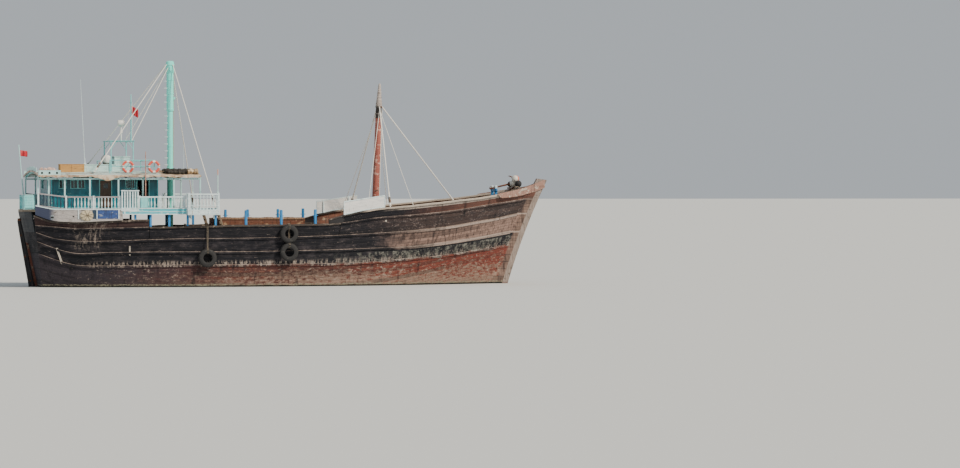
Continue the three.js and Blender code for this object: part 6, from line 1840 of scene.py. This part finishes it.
def makeBitts():
    x, half, top, beam, low = [bitts[k] for k in ("x", "half", "top", "beam", "floor")]
    parts, heads, bands = [], [], []
    for y in (-half, half):
        parts += [postPart(x, y, 0.075, 0.075, low, top - 0.16, 0.014),
                  blockPart((x + 0.06, y - 0.05, low), (x + 0.42, y + 0.05, low + 0.16), 0.02)]
        heads += [postPart(x, y, 0.065, 0.065, top - 0.17, top - 0.12, 0.006),
                  postPart(x, y, 0.075, 0.075, top - 0.13, top, 0.025)]
        bands.append(postPart(x, y, 0.079, 0.079, low + 0.5, low + 0.55, 0.006))
    parts.append(blockPart((x - 0.06, -half - 0.16, beam), (x + 0.06, half + 0.16, beam + 0.14), 0.014))
    meshPiece("bittPosts", parts, skyPaint, replaces=["bow_bitts"], slot="sky_paint")
    meshPiece("bittHeads", heads, whitePaint)
    meshPiece("bittBands", bands, rustyIron)
    # Anchor: shank, two arms with flukes, stock with its collars, ring and the block it rests on
    y, z = anchor["y"], beam + anchor["over"]
    crown = np.array([x + 1.35, y, z + 0.33])
    tail = np.array([x - 0.28, y, z - 0.04])
    iron = [tubePart([tail, tail * 0.5 + crown * 0.5, crown + [0.03, 0, 0.01]], [0.046, 0.05, 0.056], 12)]
    for s in (-1, 1):
        bend = smoothPath([crown + [0.02, 0, 0], crown + [-0.1, 0, s * 0.2 - 0.01],
                           crown + [-0.27, 0, s * 0.34 - 0.03], crown + [-0.45, 0, s * 0.43 - 0.04]], 6)
        iron.append(tubePart(bend, np.linspace(0.052, 0.03, len(bend)), 10))
        tip = np.array([x + 0.92, y, z + 0.27 + s * 0.43])
        fluke = tip + [[0.11, 0, s * -0.02], [0.02, -0.1, 0], [-0.1, 0, s * 0.015], [0.02, 0.1, 0]]
        iron.append(closedLoft(np.stack([fluke - [0, 0, 0.014], fluke + [0, 0, 0.014]])))
    stockX, stockZ = x - 0.21, z - 0.026
    iron.append(tubePart([(stockX, -0.56, stockZ), (stockX, 0.2, stockZ)], 0.03, 12))
    iron += [lathePart([(0.01, -0.03), (0.045, -0.02), (0.045, 0.02), (0.01, 0.03)], (stockX, v, stockZ), 12,
                       "Y") for v in (-0.54, 0.18)]
    iron.append(tubePart(circlePath((x - 0.25, y, z - 0.01), 0.07, 0.09, "Y", 20), 0.014, 8, True))
    iron.append(postPart(x, y, 0.06, 0.06, beam + 0.1403, z, 0.01))
    meshPiece("anchorIron", iron, rustyIron, replaces=["anchor"], slot="rigging_steel")
    lash = [tubePart(circlePath((x + shift, y, beam + 0.13), 0.085, 0.165, "X", 24), 0.014, 8, True)
            for shift in (-0.045, 0.0, 0.045)]
    a = np.linspace(0, 2 * np.pi, 28, endpoint=False)
    for k in range(7):
        r = 0.112 + 0.012 * np.cos(4 * (a - np.pi / 4)) + 0.01 * (k % 2)
        turn = pointsOf(x + r * np.cos(a), half + r * np.sin(a), 5.0 + k * 0.04)
        lash.append(tubePart(turn, 0.02, 8, True))
    meshPiece("anchorLashing", lash, darkRope)


makeHelm()
makeDoors()
makePropeller()
makeRudderIrons()
makeWindlass()
makeBitts()
print("helm, doors, screw, rudder irons, windlass and anchor made")

# Transom: grey-blue paint darkened to the look of a stern turned away from the sun, so partly painted shade
slateSternAndShade = finish("slateSternWithPaintedShade", base="#2b3038", shade="#1d2128", grain=(0.5, 0.5, 0.03),
                    worn="#56524c", wear=0.3, streak="#15171b", seam=("Z", 0.2, 0.008), rough=(0.6, 0.82))
rudderTimber = finish("tarredRudder", base="#2a2a2e", shade="#1b1b1f", grain=(0.04, 0.04, 0.7),
                      worn="#5e4a44", wear=0.34, streak="#7a6a60", streakFrom=0.62, rough=(0.65, 0.85),
                      depth=0.006)  # tar over timber, brown where it has gone
hatchTimber = finish("scrubbedHatchBoards", base="#94765c", shade="#745743", grain=(0.03, 0.6, 0.03),
                     worn="#b79f84", wear=0.4, streak="#573b2c", rough=(0.68, 0.88))  # bare and sun dried
coamingPaint = finish("brownCoaming", base="#74452f", shade="#5a3525", grain=(0.6, 0.05, 0.03),
                      worn="#a08467", wear=0.4, streak="#35241d", seam=("Z", 0.2, 0.008), rough=(0.6, 0.8))
paleBoard = finish("paleOddBoard", base="#b9b1a5", shade="#918a80", grain=(0.05, 0.05, 0.5),
                   worn="#6a625a", wear=0.34, rough=(0.7, 0.88))
sunFaded = finish("sunFadedPole", base="#c08f80", shade="#a0705f", grain=(0.04, 0.04, 0.3), worn="#d3b8a6",
                  wear=0.4, rough=(0.6, 0.8))
polePaint = finish("paintedPole", base="#c9e6e2", shade="#b2d2d0", grain=(0.05, 0.05, 0.3), worn="#8e8478",
                   wear=0.25, fade=("Z", 6.55, 6.75, "#d9a08c"), rough=(0.5, 0.7))
paleNet = finish("sunBleachedNetting", base="#c2ab86", shade="#7a6650", grain=(0.03, 0.05, 0.05),
                 worn="#dccbb0", wear=0.45, streak="#4a3c30", streakFrom=0.55, streakSize=(0.08, 0.08, 0.05),
                 bump=1.0, depth=0.02, rough=(0.8, 0.95))
rollCloth = clothFinish("pinkishRolledCloth", "#d3b7aa", "#b08f82", "#8c6c60", 0.02)
netCord = finish("tarredNetting", base="#3d3a36", shade="#23221f", grain=(0.04, 0.03, 0.03),
                 worn="#6d6355", wear=0.34, patch=(0.12, 0.1, 0.1), rough=(0.85, 0.97), depth=0.02)
floatWhite = finish("whiteNetFloat", base="#dedbd2", shade="#b9b4a8", grain=(0.06, 0.06, 0.06),
                    worn="#7f776b", wear=0.3, rough=(0.4, 0.6), coat=0.1)

# Rudder: each level is a tapered plank section from the stock to the trailing edge
rudder = {"low": -1.64, "high": 3.85, "stock": 0.09, "half": 0.075, "thin": 0.045}


def makeRudder():
    z = np.linspace(rudder["low"], rudder["high"], 48)
    front = sternLine(z) - 0.004
    tail = np.interp(z, rudderIrons["tailZ"], rudderIrons["tailX"])
    half, thin = rudder["half"], rudder["thin"]
    ring = [(0, -half), (0.25, -half), (0.75, -thin - 0.012), (0.97, -thin), (1.0, -thin + 0.015),
            (1.0, thin - 0.015), (0.97, thin), (0.75, thin + 0.012), (0.25, half), (0, half)]
    blade = cornerLoft([(front + (tail - front) * a, b, z) for a, b in ring])
    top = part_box("rudder")[1][2]
    stockZ = np.linspace(rudder["low"], top, 12)
    stock = tubePart(pointsOf(sternLine(stockZ), 0, stockZ), rudder["stock"], 24)
    seams = []
    for share in (0.34, 0.67):
        x = (front + (tail - front) * share)[2:-1:5]
        seams += [tubePart(pointsOf(x, s * 0.071, z[2:-1:5]), 0.006, 6) for s in (-1, 1)]
    meshPiece("rudderBlade", [blade, stock], rudderTimber, body="rudder", replaces=["rudder"],
              slot="stem_timber")
    meshPiece("rudderSeams", seams, holeShadeAndSeams, body="rudder")


# Stern box: boards nailed to four corner posts, carried on two bearers over the poop's edge
sternBox = {"x0": -15.988, "x1": -15.402, "y0": -2.958, "y1": -2.332, "z0": 4.57, "z1": 5.36, "thick": 0.028}


def makeSternBox():
    x0, x1, y0, y1, z0, z1, t = [sternBox[k] for k in ("x0", "x1", "y0", "y1", "z0", "z1", "thick")]
    boards, trim = [], []
    levels = np.linspace(z0 + 0.03, z1 - 0.03, 6)
    for k, (a, b) in enumerate(zip(levels[:-1], levels[1:] - 0.008)):
        s = 0.004 * (k % 2)
        boards += [blockPart((x0 + s, y0 + 0.03, a), (x0 + t + s, y1, b), 0.005),
                   blockPart((x1 - t - s, y0 + 0.03, a), (x1 - s, y1, b), 0.005),
                   blockPart((x0 + 0.03, y0 + s, a), (x1 - 0.03, y0 + t + s, b), 0.005)]
    boards.append(blockPart((x0 + 0.03, y0 + 0.03, z0), (x1 - 0.03, y1, z0 + 0.035), 0.006))
    trim += [blockPart((x, y, z0 - 0.02), (x + 0.055, y + 0.055, z1 + 0.003), 0.008)
             for x in (x0 + 0.02, x1 - 0.075) for y in (y0 + 0.02, y1 - 0.06)]
    out = y0 - 0.0015
    trim += [blockPart((a, out, z1 - 0.03), (b, c, z1 + 0.004), 0.008)
             for a, b, c in ((x0 - 0.0015, x0 + 0.06, y1), (x1 - 0.06, x1 + 0.0015, y1), (x0, x1, y0 + 0.06))]
    trim += [blockPart((-15.96, y, poop["floor"]), (-14.9, y + 0.09, 4.59), 0.012) for y in (-2.6, -2.42)]
    meshPiece("sternBoxBoards", boards, palePaint, replaces=["stern_box"], slot="pale_paint")
    meshPiece("sternBoxFrame", trim, framePaint)


# Cloth flown from one edge: its run turns to and fro as it goes out, so its length stays the cut one
def flownSheet(name, hoist, fly, start, droop, swing, folds, replaced):
    columns, rows = 40, 16
    s = np.linspace(0, fly, columns)
    step = fly / (columns - 1)
    fade = np.clip(s / (0.25 * fly), 0.15, 1)
    angle = swing * np.sin(2 * np.pi * folds * s / fly) * fade
    along = np.concatenate([[0], np.cumsum(np.cos(angle[1:]) * step * math.cos(droop))])
    aside = np.concatenate([[0], np.cumsum(np.sin(angle[1:]) * step * math.cos(droop))])
    t = np.linspace(0, 1, rows)[:, None]
    lean = 0.05 * hoist * np.sin(np.pi * t) * (s / fly)[None]
    grid = np.stack([start[0] + along[None] + lean, start[1] + aside[None] + 0 * t,
                     start[2] - t * hoist - (s * math.sin(droop))[None]], -1)
    piece = meshPiece(name, [(grid.reshape(-1, 3), gridFaces(rows, columns))], flagCloth, replaces=[replaced],
                      slot="flag_red", outwards=False, sharp=60)
    solid = piece.modifiers.new("cloth", "SOLIDIFY")
    solid.thickness = 0.003
    solid.offset = 0


# Ensign staff, tapered, with a turned truck and a shoe on the deck
staff = {"x": -15.56, "foot": poop["floor"], "top": 8.25, "lean": -0.09}


# The staff leans aft evenly with its height
def staffX(z):
    return staff["x"] + staff["lean"] * (z - staff["foot"])


def makeFlags():
    foot, top, x = staff["foot"], staff["top"], staff["x"]
    z = np.linspace(foot + 0.03, top - 0.05, 14)
    pole = tubePart(pointsOf(staffX(z), 0, z), np.linspace(0.046, 0.03, 14), 14)
    truck = lathePart([(0.012, -0.06), (0.045, -0.05), (0.052, -0.03), (0.034, -0.012), (0.012, 0.0)],
                      (staffX(top), 0, top), 16)
    shoe = [postPart(x, 0, 0.09, 0.09, foot, foot + 0.045, 0.012),
            postPart(x, 0, 0.055, 0.055, foot + 0.04, foot + 0.12, 0.014)]
    meshPiece("ensignStaff", [pole, truck] + shoe, framePaint, replaces=["ensign_staff"], slot="white_paint")
    flownSheet("ensignFlag", 0.34, 0.47, (staffX(7.78) + 0.042, 0, 7.95), 0.12, 0.75, 1.7, "ensign")
    flownSheet("signalFlag", 0.5, 0.56, (-9.2857, 0, 10.56), 0.38, 1.15, 2.3, "signal_flag")


# Hatch: coaming planks between corner irons, eight covers of three boards each with lifting rings
hatch = {"x0": -4.35, "x1": 0.7, "half": 1.85, "wall": 0.12, "foot": 2.86, "top": 3.9, "covers": 8,
         "thick": 0.08, "lift": 0.022, "lap": 0.04}


def makeHatch():
    x0, x1, half, wall, foot, top = [hatch[k] for k in ("x0", "x1", "half", "wall", "foot", "top")]
    walls, irons, covers = [], [], []
    levels = np.linspace(foot + 0.05, top, 6)
    for a, b in zip(levels[:-1], levels[1:] - 0.005):
        walls += [blockPart((x0, y, a), (x1, y + wall, b), 0.008) for y in (-half, half - wall)]
        walls += [blockPart((x, wall - half, a), (x + wall, half - wall, b), 0.008) for x in (x0, x1 - wall)]
    for y in (-half - 0.008, half - 0.002):
        irons += [blockPart((x, y, foot + 0.1), (x + 0.045, y + 0.01, top - 0.02), 0.003)
                  for x in np.linspace(x0 + 0.02, x1 - 0.06, 7)]
    step = (x1 - x0) / hatch["covers"]
    edge = half + hatch["lap"]
    for k in range(hatch["covers"]):
        x = x0 + k * step
        high = top + hatch["thick"] + hatch["lift"] * (k % 2)
        for j in range(3):
            a = x + j * step / 3
            covers.append(blockPart((a, -edge, top + 0.0003), (a + step / 3 - 0.006, edge,
                                                               high - 0.004 * (j % 2)), 0.009))
        for s in (-1, 1):
            ring = circlePath((x + 0.5 * step, s * 1.5, high + 0.012), 0.055, 0.055, "Z", 18)
            irons.append(tubePart(ring, 0.009, 6, True))
            covers.append(blockPart((x + 0.05, s * 1.25 - 0.05, high - 0.002),
                                    (x + step - 0.06, s * 1.25 + 0.05, high + 0.018), 0.006))
    meshPiece("hatchCoaming", walls, coamingPaint, replaces=["hatch_coaming"], slot="red_oxide")
    meshPiece("hatchIrons", irons, rustyIron)
    meshPiece("hatchCovers", covers, hatchTimber, replaces=["hatch_boards"], slot="red_oxide")


# Small fittings of the sides: two nailed boards on the starboard side (two points, width, thickness), the
# wedge plank that carries the bow bulwark down to the main rail, and a scupper pipe
sideFittings = {"strips": (((-14.06, 2.29), (-13.72, 1.36), 0.12, 0.045),
                           ((-9.95, 2.40), (-9.93, 1.86), 0.085, 0.04)), "wedgeX": (1.74, 2.6),
                "wedgeTop": (3.88, 4.13), "wedgeFoot": 3.63, "scupper": (5.19, 3.81)}


# Flat strip between two points of the starboard skin
def sideStrip(a, b, wide, thick=0.03):
    rows = []
    for x, z in (a, b):
        y = -float(sideY(x, z)[0])
        rows.append([(x - wide / 2, y + 0.01, z), (x + wide / 2, y + 0.01, z), (x + wide / 2, y - thick, z),
                     (x - wide / 2, y - thick, z)])
    return closedLoft(np.array(rows))


def makeSideFittings():
    meshPiece("nailedSideBoards", [sideStrip(*strip) for strip in sideFittings["strips"]], paleBoard)
    x, high = np.linspace(*sideFittings["wedgeX"], 10), np.linspace(*sideFittings["wedgeTop"], 10)
    y, base = np.array([float(sideY(v, 3.8)[0]) for v in x]), sideFittings["wedgeFoot"]
    wedge = [cornerLoft([(x, y + a, high if h else base)
                         for a, h in ((0.02, 0), (0.02, 1), (0.0, 1), (-0.13, 1), (-0.15, 1), (-0.15, 0))])]
    cap = [cornerLoft([(x, y + a, high + h)
                       for a, h in ((0.06, -0.03), (0.06, 0.035), (-0.2, 0.035), (-0.2, -0.03))])]
    pairedPieces("bulwarkWedge", wedge, tarredPlank)
    pairedPieces("bulwarkWedgeCap", cap, darkRail)
    px, pz = sideFittings["scupper"]
    lip = [lathePart([(0.03, -0.02), (0.055, -0.02), (0.06, 0.02), (0.045, 0.03), (0.03, 0.03)],
                     (px, float(sideY(px, pz)[0]), pz), 16, "Y")]
    meshPiece("deckScuppers", lip + mirrored(lip), paleBoard)


# Bundle of canvas lashed in the round on the poop's side: a disc puffed between eight lashings
bundle = {"x": -12.41, "z": 4.16, "wide": 0.45, "tall": 0.33, "deep": 0.13}


def makeBundle():
    b = bundle
    out = float(poopEdge(b["x"], 0)[0]) + 0.004

    def rim(angle):
        return 1 - 0.07 * abs(np.sin(4 * angle)) ** 0.7

    def dome(share):
        return np.sqrt(np.clip(1 - abs(share) ** 2.6, 0, 1))

    turn = np.linspace(0, 2 * np.pi, 96, endpoint=False)[None]
    r = np.linspace(0, 1, 22)[1:, None]
    puff = dome(r) * (0.8 + 0.2 * abs(np.sin(4 * turn)) ** 0.5)
    x = b["x"] + b["wide"] * r * rim(turn) * np.cos(turn)
    z = b["z"] + b["tall"] * r * rim(turn) * np.sin(turn)
    ripple = 0.01 * np.sin(23 * turn + 5 * r) * r
    face = np.stack([x, -(out + b["deep"] * (0.35 + 0.65 * puff) + ripple), z], -1)
    back = np.stack([x, np.full_like(x, -out) - 0.01 * (1 - r), z], -1)
    piece = meshPiece("lashedCanvasBundle", [closedLoft(np.concatenate([back, face[::-1]]))], creamCloth,
                      sharp=70)
    ties = []
    s = np.linspace(-1, 1, 25)
    for a in np.arange(4) * np.pi / 4 + np.pi / 8:
        reach = rim(a) * 1.01 * s
        ties.append(tubePart(pointsOf(b["x"] + b["wide"] * reach * math.cos(a),
                                      -(out + b["deep"] * (0.33 + 0.67 * dome(s)) + 0.012),
                                      b["z"] + b["tall"] * reach * math.sin(a)), 0.011, 8))
    meshPiece("bundleLashing", ties, darkRope)


# Roof clutter: two heaps of rolled net and two poles laid on the awning, a light pole, two poles on the
# balconies and an aerial. Heaps are (after end, fore end, Y)
clutter = {"net": (-7.7, -6.3, -2.35), "paleNet": (-6.42, -5.78, -2.45), "lightPole": (-9.02, -3.38),
           "balconyPole": (-4.93, 4.13), "aerialX": -6.2}


def makeRoofClutter():
    aft, fore, side = clutter["net"]
    x = np.linspace(aft, fore, 40)
    y = side + 0.06 * np.sin(x * 4)
    level = roofLevel(y) + 0.09
    net = [tubePart(pointsOf(x, y, level + 0.12), 0.14 + 0.02 * np.sin(x * 19) + 0.012 * np.sin(x * 47), 18),
           tubePart(pointsOf(x, y - 0.27, level + 0.03)[4:-9], 0.095 + 0.014 * np.sin(x[4:-9] * 27), 14),
           tubePart(pointsOf(x - 0.1, y + 0.32, level + 0.12), 0.12 + 0.02 * np.sin(x * 23), 14)]
    meshPiece("rolledNet", net, netCord)
    aft, fore, side = clutter["paleNet"]
    x = np.linspace(aft, fore, 34)
    y = side + 0.05 * np.sin(x * 9)
    level = roofLevel(y) + 0.09
    thick = 0.13 + 0.022 * np.sin(x * 21) + 0.014 * np.sin(x * 43)
    pale = [tubePart(pointsOf(x, y, level + 0.09), thick, 18),
            tubePart(pointsOf(x, y + 0.27, level + 0.12)[2:], 0.14 + 0.024 * np.sin(x[2:] * 17), 18)]
    meshPiece("rolledPaleNet", pale, paleNet)
    poles = [tubePart([(x0, y0, float(roofLevel(y0)) + 0.13), (-5.75, y1, float(roofLevel(y1)) + 0.13)], 0.03,
                      12) for x0, y0, y1 in ((-8.0, -2.1, -2.1), (-7.8, 1.2, 1.0))]
    meshPiece("laidPoles", poles, plainWood)
    x, y = clutter["lightPole"]
    light = [tubePart([(x, y, 4.503), (x, y - 0.02, 6.4), (x, y - 0.04, 7.85)], [0.032, 0.03, 0.022], 12)]
    meshPiece("lightPole", light, sunFaded)
    x, y = clutter["balconyPole"]
    post = [tubePart([(x, y, 5.5), (x, y, 6.83)], 0.03, 12), postPart(x, y, 0.06, 0.05, 5.44, 5.52, 0.01)]
    pairedPieces("balconyPole", post, polePaint)
    x, level = clutter["aerialX"], float(roofLevel(0))
    aerial = [tubePart([(x, 0, level + 0.08), (x, 0, 8.3)], [0.014, 0.006], 8),
              lathePart([(0.02, 0), (0.05, 0.005), (0.05, 0.02), (0.02, 0.05)], (x, 0, level + 0.085), 14)]
    meshPiece("thinAerial", aerial, whitePaint)


# Ladder from the main deck to the poop on each side of the hatch
ladder = {"foot": (-4.2, 2.96), "head": (-4.66, 4.47), "y": 2.45, "half": 0.24, "treads": 6}


def makePoopFront():
    (x0, z0), (x1, z1) = ladder["foot"], ladder["head"]
    lean = math.atan2(x1 - x0, z1 - z0)
    low, high = ladder["y"] - ladder["half"], ladder["y"] + ladder["half"]
    parts = []
    for y in (low, high):
        p, faces = postPart(0, y, 0.05, 0.02, 0, math.hypot(x1 - x0, z1 - z0), 0.006)
        parts.append((pointsOf(x0 + p[:, 0] * math.cos(lean) + p[:, 2] * math.sin(lean), p[:, 1],
                               z0 + p[:, 2] * math.cos(lean)), faces))
    for k in range(ladder["treads"]):
        share = (k + 0.7) / ladder["treads"]
        x, z = x0 + (x1 - x0) * share, z0 + (z1 - z0) * share
        parts.append(blockPart((x - 0.08, low + 0.019, z - 0.015),
                               (x + 0.08, high - 0.019, z + 0.015), 0.005))
    pairedPieces("poopLadder", parts, poopPlanks)


# Toe board along the after roof edge, with a dark block every half metre as the painted shade of a drain
# hole, and a rolled sheet beside it
toeBoard = {"x0": -15.18, "x1": -13.9, "y": 3.24, "tall": 0.27, "pitch": 0.43, "rollX": (-15.0, -14.05),
            "rollY": -2.4, "ties": (-14.8, -14.25)}


def makeToeBoards():
    x0, x1, y, tall = [toeBoard[k] for k in ("x0", "x1", "y", "tall")]
    base = float(roofLevel(y)) + 0.078
    board = [blockPart((x0, y - 0.022, base), (x1, y + 0.022, base + tall), 0.008),
             blockPart((x0 - 0.01, y - 0.035, base + tall - 0.02),
                       (x1 + 0.01, y + 0.035, base + tall + 0.015), 0.008)]
    # Dark blocks through the board: painted shade in place of the drain holes
    holes = [postPart(x, y, 0.06, 0.026, base + 0.07, base + 0.19, 0.004)
             for x in np.arange(x0 + 0.2, x1, toeBoard["pitch"])]
    across = [blockPart((x0 - 0.004, a, float(roofLevel(a + 0.5)) + 0.07),
                        (x0 + 0.036, a + 1.0, float(roofLevel(a + 0.5)) + tall + 0.05), 0.008)
              for a in (-2.2, -1.15, -0.1, 0.95)]
    pairedPieces("roofToeBoard", board, framePaint)
    pairedPieces("toeBoardDrains", holes, holeShadeAndSeams)
    meshPiece("roofEndBoards", across, framePaint)
    # Rolled sheet: its radius swells to the middle and ripples, its underside lies on the roof
    x, y = np.linspace(*toeBoard["rollX"], 44), toeBoard["rollY"]
    level = roofLevel(y) + 0.08
    girth = 0.16 + 0.014 * np.sin(x * 13) + 0.01 * np.sin(x * 29)
    swell = np.sqrt(np.clip(1 - ((x + 14.52) / 0.49) ** 6, 0.02, 1)) * girth
    points, faces = tubePart(pointsOf(x, y + 0.03 * np.sin(x * 5), level + swell * 0.9), swell, 40)
    wave = 0.012 * np.sin(np.arange(len(points)) % 40 * 2 * np.pi / 40 * 7 + points[:, 0] * 9)
    points = points + pointsOf(0, wave, 0.6 * wave)
    points[:, 2] = np.maximum(points[:, 2], level + 0.004)
    meshPiece("rolledAwning", [(points, faces)], rollCloth, sharp=60)
    ties = [tubePart(circlePath((v, y + 0.03 * math.sin(v * 5), level + 0.15), 0.172, 0.165, "X", 22), 0.012,
                     8, True) for v in toeBoard["ties"]]
    meshPiece("rolledAwningTies", ties, blueRope)


# Cathead beam across the bow rails with floats lashed on it: each ball is (Y, shift along X, radius, colour)
floats = {"x": 14.0, "beam": (5.70, 5.81), "half": 1.3, "balls": [(-0.62, 0.1, 0.2, 2),
                                                                  (-0.2, -0.12, 0.21, 0),
                                                                  (0.22, 0.08, 0.2, 1),
                                                                  (0.62, -0.06, 0.18, 2),
                                                                  (-0.42, -0.06, 0.2, 0),
                                                                  (0.0, 0.12, 0.2, 1)]}


def makeBowFloats():
    x, (low, high) = floats["x"], floats["beam"]
    beam = [blockPart((x - 0.08, -floats["half"], low), (x + 0.08, floats["half"], high), 0.014)]
    meshPiece("catheadBeam", beam, stemTimber)
    groups = [[], [], []]
    for k, (y, shift, r, kind) in enumerate(floats["balls"]):
        z = high + r * 0.97 + (0.31 if k > 3 else 0)
        a = np.linspace(-np.pi / 2, np.pi / 2, 14)
        profile = np.column_stack([np.maximum(r * np.cos(a), 0.012), r * 1.04 * np.sin(a)])
        groups[kind].append(lathePart(profile, (x + shift, y, z), 22, "Y" if k % 2 else "Z"))
    for name, group, material in zip(("whiteFloats", "orangeFloats", "blackFloats"), groups,
                                     (floatWhite, orangePaint, tyreRubber)):
        meshPiece(name, group, material)
    lash = [tubePart(circlePath((x, y, (low + high) / 2), 0.105, 0.09, "Y", 24), 0.013, 8, True)
            for y in (-0.74, -0.36, 0.02, 0.39, 0.73)]
    meshPiece("floatLashing", lash, paleRope)


makeRudder()
makeSternBox()
makeFlags()
makeHatch()
makeSideFittings()
makeBundle()
makeRoofClutter()
makePoopFront()
makeToeBoards()
makeBowFloats()
print("rudder, stern box, flags, hatch, side boards, bundle and floats made")


# Materials of the pieces whose CAD shape is already the final one
def dressNodes(names, material):
    for name in names:
        slots = frame["nodes"][name].data.materials
        for place in range(len(slots)):
            slots[place] = material
        if not len(slots):
            slots.append(material)


dressNodes(["keel_and_sternpost"], keelTimber)
dressNodes(["stem"], stemFace)
dressNodes(["transom_board"], slateSternAndShade)
dressNodes(["poop_deck"], poopPlanks)
dressNodes(["foredeck"], deckPlanks)
dressNodes([f"poop_posts_{s}" for s in sideNames], skyPaint)
dressNodes([f"deckhouse_wall_{s}" for s in sideNames] + ["deckhouse_wall_aft", "deckhouse_wall_front"],
           tealPaintAndRoofShade)
print("plain pieces painted")


print("pieces finished")
